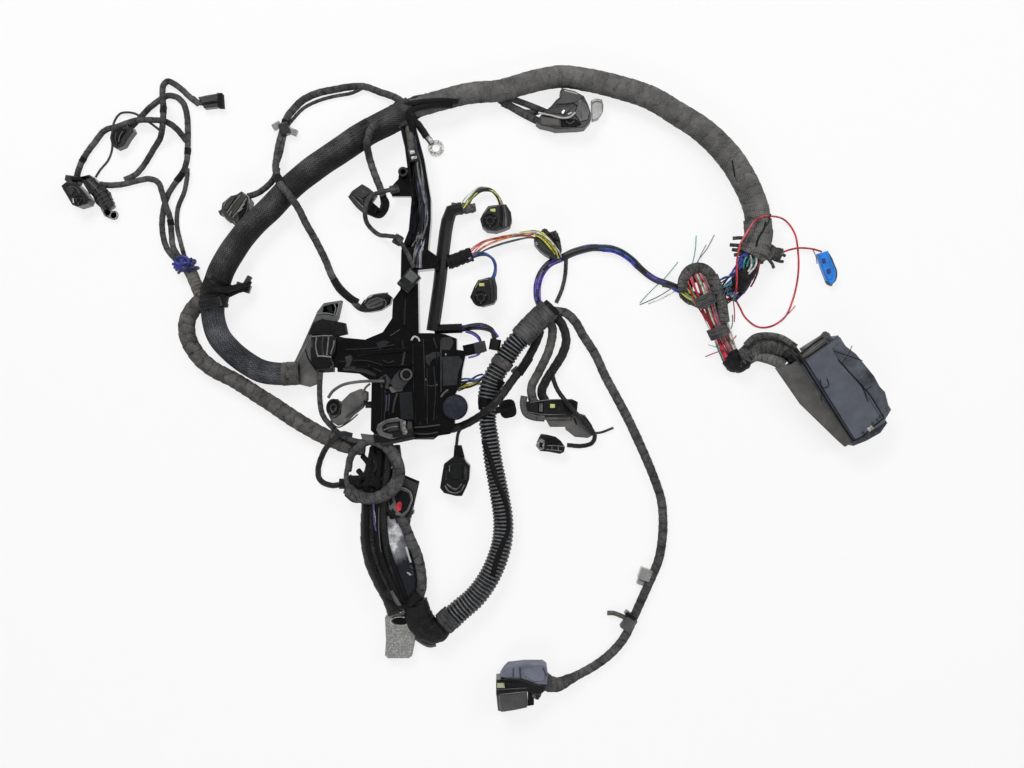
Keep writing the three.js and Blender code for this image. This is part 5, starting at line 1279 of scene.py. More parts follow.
for points in ([(-0.030, -0.006, 0.028), (-0.029, -0.014, 0.028), (-0.030, -0.021, 0.028)], [(-0.025, -0.003, 0.029), (-0.024, -0.014, 0.029), (-0.025, -0.023, 0.029)], [(-0.018, -0.004, 0.029), (-0.017, -0.014, 0.029), (-0.018, -0.022, 0.029)],
               [(-0.033, -0.013, 0.028), (-0.022, -0.026, 0.028), (-0.010, -0.018, 0.028)]):
    fittings.tube(strand(points), 0.0006, BLUE_DARK, 6)
fittings.build("gloss_duct")

# Coloured wires of the coil plugs, and torn tape at the rail's mouth and on the stub; their lips, pins and locks come
# with the plugs further on

coil_wires = Piece("coil_wires")
wires(coil_wires, ["yellow", "green", "black", "white"], [(-0.015, 0.203, 0.014), (-0.006, 0.215, 0.01), (0.005, 0.224, 0.009),
        (0.016, 0.223, 0.01), (0.024, 0.216, 0.012), (0.029, 0.205, 0.014)],
      0.0008, 0.0022, 3)
wires(coil_wires, ["red", "orange", "pink"], [(-0.010, 0.149, 0.014), (-0.002, 0.158, 0.012), (0.009, 0.166, 0.012),
        (0.027, 0.171, 0.014), (0.048, 0.174, 0.014), (0.066, 0.175, 0.016),
        (0.075, 0.169, 0.02)],
      0.0008, 0.0020, 4)
wires(coil_wires, ["yellow", "white"], [(0.040, 0.172, 0.015), (0.050, 0.174, 0.016), (0.068, 0.173, 0.024),
        (0.078, 0.166, 0.028), (0.087, 0.155, 0.028), (0.091, 0.147, 0.024)],
      0.0008, 0.0022, 5)
wires(coil_wires, ["blue", "slate", "blue"], [(-0.008, 0.149, 0.013), (0.003, 0.153, 0.01), (0.013, 0.152, 0.009),
        (0.021, 0.144, 0.01), (0.022, 0.133, 0.012), (0.018, 0.123, 0.018)],
      0.0009, 0.0018, 6)
wires(coil_wires, ["grey", "slate"], [(-0.004, 0.150, 0.012), (0.005, 0.155, 0.012), (0.013, 0.159, 0.012),
        (0.027, 0.164, 0.01), (0.044, 0.168, 0.01), (0.059, 0.170, 0.012), (0.070, 0.167, 0.016)], 0.0008, 0.0014, 16)
coil_wires.build("violet_wire")

torn = Piece("torn_rail_tape")
rail_mouth = Run([(-0.026, 0.202), (-0.017, 0.203), (-0.008, 0.203), (0.000, 0.204)], 0.007)
torn.loft(rail_mouth, wound(lambda s: 0.0076 - 0.1 * s, 0.006, 0.0012, 63, 0.12), LOOM_TAPE, 14, 0.001)
stub_run = Run([(-0.031, 0.143), (-0.022, 0.146), (-0.013, 0.150), (-0.004, 0.153)], 0.008)
torn.loft(stub_run, wound(0.0078, 0.006, 0.0012, 64, 0.10), BLACK_TAPE, 16, 0.001)
torn.build("dark_tape")

# Small plugs and their wires on the duct's right side

side_wires = Piece("duct_side_wires")
wires(side_wires, ["white", "violet", "black"], [(-0.011, 0.069, 0.01), (-0.002, 0.067, 0.01), (0.005, 0.061, 0.012),
        (0.007, 0.052, 0.014), (0.004, 0.044, 0.012), (-0.008, 0.040, 0.01)],
      0.0010, 0.0016, 21)
wires(side_wires, ["black", "black", "violet", "black"], [(-0.019, 0.070, 0.008), (-0.006, 0.073, 0.008), (0.007, 0.074, 0.008),
        (0.017, 0.070, 0.008), (0.022, 0.061, 0.008)],
      0.0013, 0.0022, 22)
wires(side_wires, ["blue", "white", "yellow", "black", "black", "black"],
      [(-0.021, 0.008, 0.01), (-0.011, 0.012, 0.008), (0.000, 0.015, 0.008),
        (0.009, 0.019, 0.008)], 0.0012, 0.0030, 23)
wires(side_wires, ["yellow", "white", "grey"], [(-0.020, 0.006, 0.006), (-0.009, 0.009, 0.005), (0.002, 0.011, 0.005),
        (0.011, 0.013, 0.006)], 0.0011, 0.0016, 24)
side_wires.block(spot(0.005, 0.051, 0.0152), 12, (0.013, 0.012, 0.0015), DARK_GREY)
side_wires.build("violet_wire")

# Black wedge and cap between the two conduits, the clamp band and the cuff's cap

wedge = Piece("conduit_wedge")
wedge_run = Run([(0.023, 0.018), (0.017, 0.007), (0.012, -0.005), (0.012, -0.017)], 0.011)
wedge.loft(wedge_run, lambda s, turn: 0.0108 - 0.05 * s, BLACK_SOFT, 20, 0.0015)
wedge.block(spot(0.035, -0.016, 0.001), 12, (0.018, 0.020, 0.012), BLACK_SOFT, 0.006)
wedge.tube(strand([(0.018, -0.018, 0.016), (0.027, -0.017, 0.013), (0.040, -0.014, 0.01)]), 0.0038, BLACK_TAPE, 10)
wedge.build("black_plug")

cuffs = Piece("conduit_bands")
upper_conduit = Run(CONDUIT_UPPER_ROUTE, CONDUIT_RADIUS)
band(cuffs, upper_conduit, nearest(upper_conduit, 0.029, 0.034), 0.0085, CONDUIT_RADIUS + 0.0006, LOOM_TAPE)
cap_run = Run([(0.071, 0.085), (0.078, 0.090), (0.084, 0.096)], 0.012)
cuffs.loft(cap_run, lambda s, turn: 0.0118 - 0.12 * s, BLACK_TAPE, 22, 0.0012)
cuffs.tube(strand([(0.047, 0.022, 0.012), (0.053, 0.031, 0.013), (0.059, 0.040, 0.012)]), 0.0046, BLACK_TAPE, 10)
cuffs.tube(strand([(0.009, -0.050, 0.02), (0.013, -0.060, 0.021), (0.018, -0.076, 0.0226),
        (0.023, -0.093, 0.0228), (0.030, -0.109, 0.0224), (0.034, -0.125, 0.0212),
        (0.035, -0.147, 0.0216), (0.031, -0.158, 0.0228), (0.027, -0.168, 0.0234),
        (0.022, -0.182, 0.0238), (0.019, -0.195, 0.0236)]), 0.0030, BLACK_SOFT, 12)
cuffs.build("conduit")


# Film-covered strands beside the lower loom

sheath = Run([(-0.098, -0.124), (-0.093, -0.143), (-0.085, -0.165), (-0.078, -0.187),
            (-0.074, -0.208), (-0.074, -0.229)], 0.009)
strands = Piece("lower_loom_strands")
# The film's pale patch is painted glare.
strands.loft(sheath, lambda s, turn: 0.0165 * (1 + 0.06 * math.sin(70 * s + 6 * turn)) * (1 - 3.6 * abs(s - 0.045)),
             FILM, 28, 0.0015, squash=0.5)
for points, radius, look in (
    ([(-0.111, -0.057, 0.021), (-0.114, -0.082, 0.021), (-0.118, -0.109, 0.021),
        (-0.118, -0.136, 0.021), (-0.117, -0.163, 0.021), (-0.110, -0.188, 0.021),
        (-0.099, -0.212, 0.02)], 0.0034, BLACK_TAPE),
    ([(-0.103, -0.060, 0.022), (-0.105, -0.093, 0.022), (-0.105, -0.114, 0.021),
        (-0.106, -0.136, 0.02), (-0.105, -0.163, 0.02), (-0.098, -0.188, 0.02),
        (-0.086, -0.214, 0.02), (-0.080, -0.234, 0.017)], 0.0034, BLACK_TAPE),
    ([(-0.093, -0.058, 0.021), (-0.095, -0.082, 0.02), (-0.099, -0.109, 0.019),
        (-0.100, -0.136, 0.018), (-0.098, -0.160, 0.016), (-0.092, -0.186, 0.015),
        (-0.084, -0.211, 0.014), (-0.079, -0.233, 0.013)], 0.0042, DARK_TAPE),
    ([(-0.086, -0.056, 0.018), (-0.085, -0.074, 0.014), (-0.090, -0.093, 0.014),
        (-0.094, -0.113, 0.016), (-0.096, -0.131, 0.014)], 0.0046, BLACK_TAPE),
    ([(-0.101, -0.066, 0.012), (-0.102, -0.094, 0.012), (-0.104, -0.121, 0.01),
        (-0.103, -0.148, 0.009), (-0.098, -0.176, 0.008), (-0.089, -0.203, 0.008)], 0.0080, BLACK_SOFT),
    # A thin grey line along the black strands: painted highlight.
    ([(-0.104, -0.114, 0.023), (-0.104, -0.147, 0.023), (-0.101, -0.175, 0.022),
        (-0.093, -0.201, 0.021), (-0.085, -0.223, 0.02)], 0.0006, GREY),
    ([(-0.096, -0.164, 0.017), (-0.091, -0.180, 0.017), (-0.083, -0.202, 0.017),
        (-0.075, -0.223, 0.016)], 0.0026, BLACK_TAPE),
    ([(-0.090, -0.212, 0.02), (-0.084, -0.225, 0.02), (-0.078, -0.236, 0.016)], 0.0030, GREY),
    ([(-0.097, -0.221, 0.018), (-0.086, -0.229, 0.02), (-0.073, -0.230, 0.018)], 0.0026, BLACK_TAPE),
):
    strands.tube(strand(points), radius, look, 10)
wires(strands, ["mauve", "white", "mauve"], [(-0.110, -0.111, 0.023), (-0.109, -0.123, 0.023), (-0.108, -0.134, 0.023),
        (-0.106, -0.147, 0.022)], 0.0008, 0.0011, 31)
# Two pale slivers between the film and its side lead: painted highlight.
strands.tube(strand([(-0.075, -0.165, 0.02), (-0.073, -0.172, 0.02), (-0.070, -0.182, 0.019)]), 0.0012, PALE, 8)
strands.tube(strand([(-0.074, -0.193, 0.019), (-0.070, -0.196, 0.018)]), 0.0009, PALE, 8)
strands.build("dark_tape")

# Film side plug seen on its mouth: frame, oval lip and a slanted red seal

mouth = Piece("film_side_plug_face")
for outline, bottom, top, material in (
    ([(-0.0966, -0.1068), (-0.0868, -0.0992), (-0.0760, -0.0982), (-0.0674, -0.1036),
            (-0.0652, -0.1133), (-0.0696, -0.1284), (-0.0771, -0.1371), (-0.0868, -0.1338),
            (-0.0966, -0.1263)], 0.0205, 0.0220, BLACK),
    ([(-0.0943, -0.1078), (-0.0857, -0.1013), (-0.0770, -0.1002), (-0.0695, -0.1045),
            (-0.0673, -0.1132), (-0.0716, -0.1261), (-0.0781, -0.1326), (-0.0857, -0.1305),
            (-0.0932, -0.1240)], 0.0214, 0.0226, GREY_WORN),
    ([(-0.0877, -0.1088), (-0.0802, -0.1034), (-0.0715, -0.1066), (-0.0694, -0.1142),
            (-0.0737, -0.1249), (-0.0791, -0.1293), (-0.0845, -0.1260), (-0.0856, -0.1174)], 0.0220, 0.0230, BLACK_SOFT),
    ([(-0.0845, -0.1174), (-0.0812, -0.1152), (-0.0791, -0.1174), (-0.0802, -0.1249),
            (-0.0834, -0.1271), (-0.0856, -0.1228)], 0.0226, 0.0234, SEAL_RED),
    ([(-0.0823, -0.1185), (-0.0802, -0.1195), (-0.0812, -0.1228)], 0.0230, 0.0237, BLACK),
    ([(-0.0942, -0.1131), (-0.0899, -0.1109), (-0.0888, -0.1174), (-0.0920, -0.1206)], 0.0222, 0.0230, BLACK_SOFT),
    ([(-0.0899, -0.1228), (-0.0856, -0.1271), (-0.0866, -0.1303), (-0.0909, -0.1271)], 0.0222, 0.0231, BLACK),
    ([(-0.0871, -0.0862), (-0.0620, -0.0972), (-0.0675, -0.1190), (-0.0719, -0.1420),
            (-0.0751, -0.1420), (-0.0740, -0.1048)], 0.0198, 0.0206, DARK_GREY),
):
    mouth.slab(outline, bottom, top, material)
# A pale line along the rim of the mouth: painted highlight.
mouth.tube(strand([(-0.086, -0.103, 0.023), (-0.078, -0.101, 0.023), (-0.070, -0.106, 0.023),
        (-0.068, -0.113, 0.023), (-0.072, -0.124, 0.023)]), 0.0005, EDGE_HIGHLIGHT, 7)
mouth.build("black_plug")

# Thick turn of the taped ring beside the loop plug, and the crumpled tape inside it

ring_piece = Piece("taped_ring_turn")
ring_piece.tube(strand([(-0.102, -0.051, 0.027), (-0.091, -0.059, 0.027), (-0.083, -0.073, 0.026),
        (-0.081, -0.088, 0.026), (-0.086, -0.101, 0.026), (-0.098, -0.110, 0.026),
        (-0.113, -0.113, 0.026), (-0.129, -0.110, 0.024), (-0.139, -0.103, 0.02)]), 0.0056, CORD_TAPE, 14)
ring_piece.tube(strand([(-0.134, -0.068, 0.014), (-0.139, -0.078, 0.01), (-0.141, -0.090, 0.012),
        (-0.138, -0.103, 0.016)]), 0.0027, CORD_TAPE, 12)
for points in ([(-0.123, -0.067, 0.014), (-0.116, -0.076, 0.018), (-0.118, -0.086, 0.02),
        (-0.125, -0.093, 0.016)], [(-0.112, -0.062, 0.022), (-0.107, -0.073, 0.023), (-0.112, -0.084, 0.022),
        (-0.105, -0.095, 0.022)],
               [(-0.128, -0.083, 0.012), (-0.119, -0.091, 0.018), (-0.107, -0.093, 0.022),
        (-0.099, -0.091, 0.02)], [(-0.121, -0.102, 0.018), (-0.112, -0.097, 0.022), (-0.101, -0.101, 0.02)],
               [(-0.141, -0.109, 0.01), (-0.132, -0.115, 0.014), (-0.121, -0.115, 0.014)]):
    ring_piece.tube(strand(points), 0.0030, BLACK_TAPE, 10)
ring_piece.tube(strand([(-0.109, -0.071, 0.025), (-0.107, -0.077, 0.025), (-0.109, -0.084, 0.025)]), 0.0012, BLACK, 8)
ring_piece.build("cord_tape")

# Earth bracket: rim round its slot, scraped edge, and the plate behind it

foot = Piece("bracket_rim")
rim = []
for k in range(33):
    a = math.tau * k / 32
    rim.append(spot(-0.082, -0.247, 0.0126) + Vector((0.0102 * math.cos(a), 0.0048 * math.sin(a), 0)))
foot.tube(rim, 0.0011, TINNED, 8)
foot.slab([(-0.0911, -0.2460), (-0.0878, -0.2427), (-0.0824, -0.2416), (-0.0769, -0.2427),
            (-0.0737, -0.2460), (-0.0737, -0.2493), (-0.0780, -0.2514), (-0.0835, -0.2525),
            (-0.0889, -0.2514), (-0.0911, -0.2482)], 0.0100, 0.0122, BLACK_SOFT)
foot.slab([(-0.0989, -0.2432), (-0.0946, -0.2388), (-0.0706, -0.2388), (-0.0651, -0.2443),
            (-0.0662, -0.2683), (-0.0695, -0.2857), (-0.0728, -0.2879), (-0.0957, -0.2879),
            (-0.0989, -0.2846), (-0.0978, -0.2683)], 0.0004, 0.0116, ALUMINIUM)
foot.tube(strand([(-0.095, -0.238, 0.012), (-0.082, -0.237, 0.013), (-0.068, -0.239, 0.012)]), 0.0011, TINNED, 8)
foot.tube(strand([(-0.069, -0.263, 0.004), (-0.061, -0.270, 0.004), (-0.051, -0.275, 0.004),
        (-0.044, -0.274, 0.004)]), 0.0030, GREY, 10)
foot.build("aluminium")

# Bulk of the taped elbow

elbow = Piece("elbow_bulk")
elbow_run = Run([(-0.065, -0.229), (-0.062, -0.242), (-0.054, -0.254), (-0.043, -0.259),
            (-0.034, -0.249)], 0.012)
elbow.loft(elbow_run, wound(lambda s: 0.0135 + 0.002 * math.sin(90 * s), 0.012, 0.0010, 71, 0.09), BLACK_TAPE, 24, 0.0012)
elbow.tube(strand([(-0.073, -0.237, 0.014), (-0.067, -0.223, 0.018), (-0.060, -0.217, 0.018)]), 0.0060, BLACK_TAPE, 12)
elbow.build("dark_tape")

# End of the tape trunk: clip teeth, cuff, tear, and the short branch to the right

end = Piece("trunk_end_fittings")
for points in ([(0.299, 0.166, 0.022), (0.288, 0.169, 0.02), (0.279, 0.169, 0.017)], [(0.297, 0.160, 0.022), (0.286, 0.161, 0.019), (0.276, 0.162, 0.016)],
               [(0.295, 0.154, 0.02), (0.287, 0.152, 0.018), (0.281, 0.151, 0.015)], [(0.292, 0.156, 0.02), (0.284, 0.156, 0.018), (0.279, 0.157, 0.015)]):
    end.tube(strand(points), 0.0020, WORN_TAPE, 10)
cuff_run = Run([(0.307, 0.165), (0.303, 0.158), (0.298, 0.149)], 0.014)
end.loft(cuff_run, wound(0.0166, 0.006, 0.0012, 72, 0.05), WORN_TAPE, 26, 0.0010)
branch_run = Run([(0.307, 0.157), (0.317, 0.155), (0.325, 0.153), (0.333, 0.150)], 0.010)
end.loft(branch_run, wound(lambda s: 0.0120 - 0.22 * s, 0.007, 0.0012, 73, 0.10), WORN_TAPE, 22, 0.0010)
for points in ([(0.322, 0.157, 0.014), (0.329, 0.158, 0.012), (0.335, 0.157, 0.01)], [(0.327, 0.153, 0.012), (0.333, 0.153, 0.01), (0.338, 0.151, 0.008)],
               [(0.325, 0.147, 0.01), (0.332, 0.145, 0.008), (0.336, 0.145, 0.006)], [(0.318, 0.148, 0.012), (0.324, 0.142, 0.008), (0.326, 0.138, 0.006)]):
    end.tube(strand(points), 0.0018, WORN_TAPE, 8)
end.tube(strand([(0.312, 0.185, 0.03), (0.309, 0.176, 0.031), (0.305, 0.170, 0.031),
        (0.302, 0.162, 0.031), (0.301, 0.155, 0.03)]), 0.0010, BLACK_SOFT, 6)
end.tube(strand([(0.318, 0.194, 0.026), (0.315, 0.185, 0.028), (0.310, 0.176, 0.03)]), 0.0007, BLACK_SOFT, 6)
end.tube(strand([(0.276, 0.251, 0.029), (0.277, 0.243, 0.0294), (0.279, 0.233, 0.0292)]), 0.0007, BLACK_SOFT, 6)
end.build("cloth_tape")

# Wires of the fan, its black middle, and the loose ends round the knot

loose = Piece("loose_wires")
black_middle = Run([(0.297, 0.138, 0.005), (0.290, 0.126, 0.006), (0.283, 0.113, 0.003)], 0.011)
loose.loft(black_middle, wound(lambda s: 0.0090 + 0.0016 * math.sin(110 * s), 0.008, 0.0010, 74, 0.10), BLACK_TAPE, 20, 0.0011)
wires(loose, ["violet", "blue", "violet", "blue"], [(0.293, 0.151, 0.024), (0.286, 0.147, 0.024), (0.283, 0.140, 0.022),
        (0.279, 0.129, 0.018)], 0.0011, 0.0034, 41)
wires(loose, ["teal", "white", "teal", "teal", "white"], [(0.298, 0.149, 0.026), (0.296, 0.140, 0.026), (0.294, 0.132, 0.024),
        (0.291, 0.121, 0.02), (0.287, 0.111, 0.016)], 0.0011, 0.0040, 42)
wires(loose, ["red", "crimson", "grey"], [(0.307, 0.149, 0.022), (0.308, 0.141, 0.018), (0.305, 0.133, 0.014),
        (0.297, 0.118, 0.01)], 0.0010, 0.0030, 43)
wires(loose, ["blue", "teal", "black"], [(0.288, 0.132, 0.02), (0.280, 0.128, 0.018), (0.270, 0.124, 0.016),
        (0.259, 0.115, 0.016)], 0.0009, 0.0026, 44)
wires(loose, ["red", "crimson", "black", "red"], [(0.293, 0.111, 0.01), (0.284, 0.105, 0.01), (0.275, 0.099, 0.01), (0.264, 0.094, 0.012)], 0.0010, 0.0030, 45)
for colour, points, radius in (
    ("teal", [(0.242, 0.174, 0.001), (0.241, 0.162, 0.003), (0.239, 0.151, 0.006),
        (0.235, 0.139, 0.014)], 0.0006),
    ("grey", [(0.262, 0.175, 0.001), (0.254, 0.160, 0.002), (0.244, 0.147, 0.005),
        (0.237, 0.135, 0.014)], 0.0006),
    ("grey", [(0.253, 0.164, 0.001), (0.246, 0.151, 0.003), (0.240, 0.137, 0.012)], 0.0005),
    ("teal", [(0.222, 0.145, 0.001), (0.207, 0.127, 0.002), (0.193, 0.114, 0.002),
        (0.180, 0.100, 0.001)], 0.0006),
    ("black", [(0.237, 0.133, 0.014), (0.223, 0.122, 0.006), (0.202, 0.108, 0.002),
        (0.180, 0.098, 0.001)], 0.0006),
    ("white", [(0.233, 0.124, 0.012), (0.220, 0.114, 0.003), (0.202, 0.104, 0.001),
        (0.189, 0.099, 0.001)], 0.0006),
    ("grey", [(0.282, 0.087, 0.001), (0.281, 0.076, 0.004), (0.274, 0.063, 0.014)], 0.0006),
    ("pink", [(0.286, 0.064, 0.001), (0.279, 0.057, 0.008), (0.268, 0.048, 0.012),
        (0.259, 0.044, 0.004), (0.252, 0.041, 0.001)], 0.0007),
    ("white", [(0.277, 0.055, 0.012), (0.266, 0.051, 0.012), (0.255, 0.054, 0.003)], 0.0006),
    ("red", [(0.282, 0.103, 0.004), (0.284, 0.090, 0.002), (0.284, 0.079, 0.001)], 0.0006),
    ("red", [(0.323, 0.074, 0.002), (0.332, 0.079, 0.001), (0.345, 0.090, 0.001),
        (0.351, 0.097, 0.001)], 0.0006),
    ("grey", [(0.369, 0.159, 0.004), (0.373, 0.152, 0.002), (0.375, 0.143, 0.001)], 0.0005),
):
    loose.tube(strand(points), radius, WIRES[colour], 6)
loose.build("violet_wire")

# Open knot: the bare bundle shows on top of its ring

knot = Piece("knot_wires")
draw = random.Random(12)
knot_colours = ["crimson", "green", "white", "crimson", "red", "pink", "crimson", "brown", "white", "green", "crimson",
                "white", "pink", "crimson", "grey", "brown"]
knot_line = strand([(0.236, 0.130, 0.022), (0.240, 0.119, 0.025), (0.245, 0.106, 0.026),
        (0.251, 0.093, 0.024), (0.257, 0.080, 0.021), (0.264, 0.065, 0.02),
        (0.270, 0.051, 0.019), (0.276, 0.039, 0.017)])
for number, colour in enumerate(knot_colours):
    reach = (number / (len(knot_colours) - 1) - 0.5) * 0.017
    moved = []
    phase = draw.uniform(0, math.tau)
    lift = draw.uniform(-0.001, 0.0015)
    for i, p in enumerate(knot_line):
        forward = knot_line[min(i + 1, len(knot_line) - 1)] - knot_line[max(i - 1, 0)]
        side = Vector((-forward.y, forward.x, 0.0)).normalized()
        t = i / (len(knot_line) - 1)
        width = reach * (0.75 + 0.25 * math.sin(3 * t + 1)) + 0.0018 * math.sin(phase + 7 * t)
        moved.append(p + side * width + Vector((0, 0, lift - 14 * reach * reach)))
    knot.tube(moved, 0.0010, WIRES[colour], 6)
wires(knot, ["yellow", "green", "yellow", "white", "yellow"], [(0.226, 0.113, 0.02), (0.230, 0.106, 0.022), (0.236, 0.102, 0.022), (0.243, 0.098, 0.02)], 0.0010, 0.0030, 46)
wires(knot, ["violet", "blue", "grey", "violet"], [(0.206, 0.122, 0.003), (0.217, 0.117, 0.005), (0.227, 0.112, 0.01),
        (0.233, 0.109, 0.016)], 0.0010, 0.0036, 47)
knot.tube(strand([(0.247, 0.091, 0.01), (0.251, 0.082, 0.012), (0.255, 0.073, 0.012)]), 0.0021, WIRES["blue"], 8)
knot_run = Run([(0.240, 0.120, 0.012), (0.247, 0.104, 0.014), (0.254, 0.089, 0.01),
            (0.264, 0.066, 0.008), (0.271, 0.052, 0.006), (0.278, 0.040, 0.004)], 0.010)
for x, y, length in ((0.247, 0.102, 0.010), (0.262, 0.067, 0.011)):
    band(knot, knot_run, nearest(knot_run, x, y), length, 0.0116, CUFF_TAPE)
for points in ([(0.226, 0.111, 0.018), (0.225, 0.123, 0.02), (0.232, 0.134, 0.022),
        (0.244, 0.136, 0.022), (0.253, 0.130, 0.022), (0.258, 0.119, 0.022)],
               [(0.256, 0.128, 0.022), (0.261, 0.115, 0.022), (0.266, 0.102, 0.02),
        (0.268, 0.089, 0.018), (0.270, 0.078, 0.016)]):
    knot.tube(strand(points), 0.0060, WORN_TAPE, 14)
knot.build("red_wire")

# Pale tape under the wrapped lead, and its wrinkled black elbow

lead = Piece("ecu_lead_fittings")
lead.tube(strand([(0.297, 0.038, 0.009), (0.306, 0.042, 0.009), (0.317, 0.040, 0.009),
        (0.328, 0.036, 0.009), (0.336, 0.031, 0.01)]), 0.0064, GREY_TAPE, 14)
lead_elbow = Run([(0.276, 0.046), (0.282, 0.035), (0.290, 0.034), (0.296, 0.043)], 0.010)
lead.loft(lead_elbow, wound(lambda s: 0.0106 + 0.0012 * math.sin(150 * s), 0.005, 0.0014, 75, 0.12), BLACK_TAPE, 22, 0.0010)
lead.tube(strand([(0.292, 0.053, 0.02), (0.302, 0.062, 0.021), (0.316, 0.064, 0.021),
        (0.331, 0.061, 0.022), (0.346, 0.051, 0.024)]), 0.0032, WORN_TAPE, 10)
lead.tube(strand([(0.338, 0.048, 0.026), (0.345, 0.040, 0.027), (0.350, 0.032, 0.028)]), 0.0022, BLACK, 8)
lead.build("dark_tape")

# Covers, seams, latch and clamp bar of the control unit plug

unit = Piece("ecu_plug_details")
ECU_TOP = 0.034
unit.slab([(0.3221, 0.0282), (0.3479, 0.0346), (0.4059, -0.0513), (0.3974, -0.0567),
            (0.3898, -0.0502), (0.3490, -0.0105)], 0.0272, 0.0288, ECU_SIDE, 0.0010)
unit.slab([(0.3891, 0.0570), (0.4073, 0.0431), (0.4265, 0.0196), (0.4393, -0.0040),
            (0.4372, -0.0243), (0.4222, 0.0003), (0.3880, 0.0377), (0.3816, 0.0484)], ECU_TOP - 0.0004, ECU_TOP + 0.0005, ECU_MOTTLED)
unit.slab([(0.4193, 0.0196), (0.4300, 0.0121), (0.4396, 0.0024), (0.4429, -0.0104),
            (0.4407, -0.0212), (0.4321, -0.0255), (0.4214, -0.0104)], 0.0275, 0.0318, ECU_SIDE, 0.0015)
for points, radius in (
    ([(0.346, 0.041, 0.0344), (0.375, -0.005, 0.0344), (0.404, -0.050, 0.0344)], 0.0009),
    ([(0.388, 0.037, 0.0344), (0.405, 0.018, 0.0344), (0.422, -0.001, 0.0344),
        (0.437, -0.025, 0.0344)], 0.0005),
    ([(0.369, 0.016, 0.0343), (0.371, 0.007, 0.0343), (0.378, 0.009, 0.0343),
        (0.376, 0.017, 0.0343)], 0.0005),
    ([(0.369, -0.001, 0.0343), (0.371, -0.007, 0.0343)], 0.0005),
    ([(0.384, 0.046, 0.0344), (0.399, 0.041, 0.0344), (0.414, 0.036, 0.0344)], 0.0005), ([(0.392, 0.033, 0.0344), (0.399, 0.043, 0.0344), (0.403, 0.052, 0.0344)], 0.0004),
    ([(0.418, 0.004, 0.0346), (0.424, 0.009, 0.0346)], 0.0004), ([(0.413, 0.011, 0.0346), (0.420, -0.008, 0.0346)], 0.0004),
    ([(0.404, -0.050, 0.034), (0.414, -0.045, 0.034), (0.424, -0.036, 0.034),
        (0.437, -0.025, 0.034)], 0.0008),
):
    unit.tube(strand(points, 4), radius, BLACK_SOFT, 6)
unit.slab([(0.4032, -0.0501), (0.4386, -0.0244), (0.4429, -0.0308), (0.4354, -0.0416),
            (0.4203, -0.0501), (0.4064, -0.0555)], 0.0020, 0.0296, ECU_MOTTLED, 0.0015)
unit.slab([(0.3464, 0.0431), (0.3709, 0.0634), (0.3784, 0.0548), (0.3538, 0.0356)], 0.0300, 0.0346, ECU_SIDE)
for points, look in (([(0.348, 0.043, 0.035), (0.360, 0.053, 0.035), (0.372, 0.061, 0.035)], BLACK_SOFT), ([(0.350, 0.040, 0.035), (0.362, 0.049, 0.035), (0.374, 0.058, 0.035)], GREY),
                     ([(0.352, 0.038, 0.035), (0.364, 0.046, 0.035), (0.376, 0.055, 0.035)], BLACK_SOFT)):
    unit.tube(strand(points, 4), 0.0009, look, 6)
unit.block(spot(0.374, 0.062, 0.026), -38, (0.006, 0.010, 0.009), ECU_SIDE)
unit.slab([(0.4180, -0.0371), (0.4233, -0.0328), (0.4265, -0.0360), (0.4212, -0.0403)], ECU_TOP - 0.0005, ECU_TOP + 0.0008, TINNED, 0.0002)
for x, y in ((0.425, -0.031), (0.430, -0.027), (0.433, -0.024), (0.415, -0.041)):
    unit.block(spot(x, y, ECU_TOP - 0.001), -58, (0.003, 0.0022, 0.0022), DARK_GREY, 0.0004, 0.0003)
unit.build("ecu_plastic")

# Blue plug: tapering body with its lid, slots and a worn olive edge

blue = Piece("blue_plug_body")
blue.slab([(0.3737, 0.1534), (0.3847, 0.1567), (0.3901, 0.1479), (0.3945, 0.1359),
            (0.3934, 0.1238), (0.3890, 0.1194), (0.3836, 0.1238), (0.3781, 0.1381)], 0.0, 0.0085, BLUE, 0.0009)
blue.slab([(0.3748, 0.1507), (0.3824, 0.1529), (0.3868, 0.1442), (0.3901, 0.1344),
            (0.3890, 0.1256), (0.3846, 0.1245), (0.3791, 0.1366)], 0.0080, 0.0100, BLUE, 0.0007)
blue.slab([(0.3767, 0.1474), (0.3810, 0.1484), (0.3821, 0.1430), (0.3788, 0.1419)], 0.0095, 0.0103, NAVY, 0.0002)
blue.slab([(0.3821, 0.1354), (0.3865, 0.1375), (0.3876, 0.1321), (0.3843, 0.1299)], 0.0095, 0.0104, NAVY, 0.0002)
blue.tube(strand([(0.386, 0.153, 0.008), (0.390, 0.144, 0.008), (0.394, 0.134, 0.008),
        (0.393, 0.125, 0.008), (0.388, 0.119, 0.007)]), 0.0009, OLIVE, 8)
blue.slab([(0.3833, 0.1237), (0.3920, 0.1237), (0.3898, 0.1183), (0.3855, 0.1205)], 0.0, 0.0075, OLIVE, 0.0006)
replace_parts(blue.build("blue_plastic"), "blue_plug")

# Plugs: stacked plates cut to the outlines that the photograph shows, with their edges, pins and locks


def plug(node, slot, plates, lines=(), look=None):
    """A plug of plates (outline, bottom, top, material) and thin raised lines (points, radius, material)."""
    piece = Piece(node + "_body")
    for outline, bottom, top, material in plates:
        piece.slab(outline, bottom, top, material, min(0.0008, 0.4 * (top - bottom)))
    # Lines in the pale edge material are painted highlights along the plug's edges.
    for points, radius, material in lines:
        piece.tube(strand(points, 4), radius, material, 7)
    if look:
        look(piece)
    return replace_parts(piece.build(slot), node)


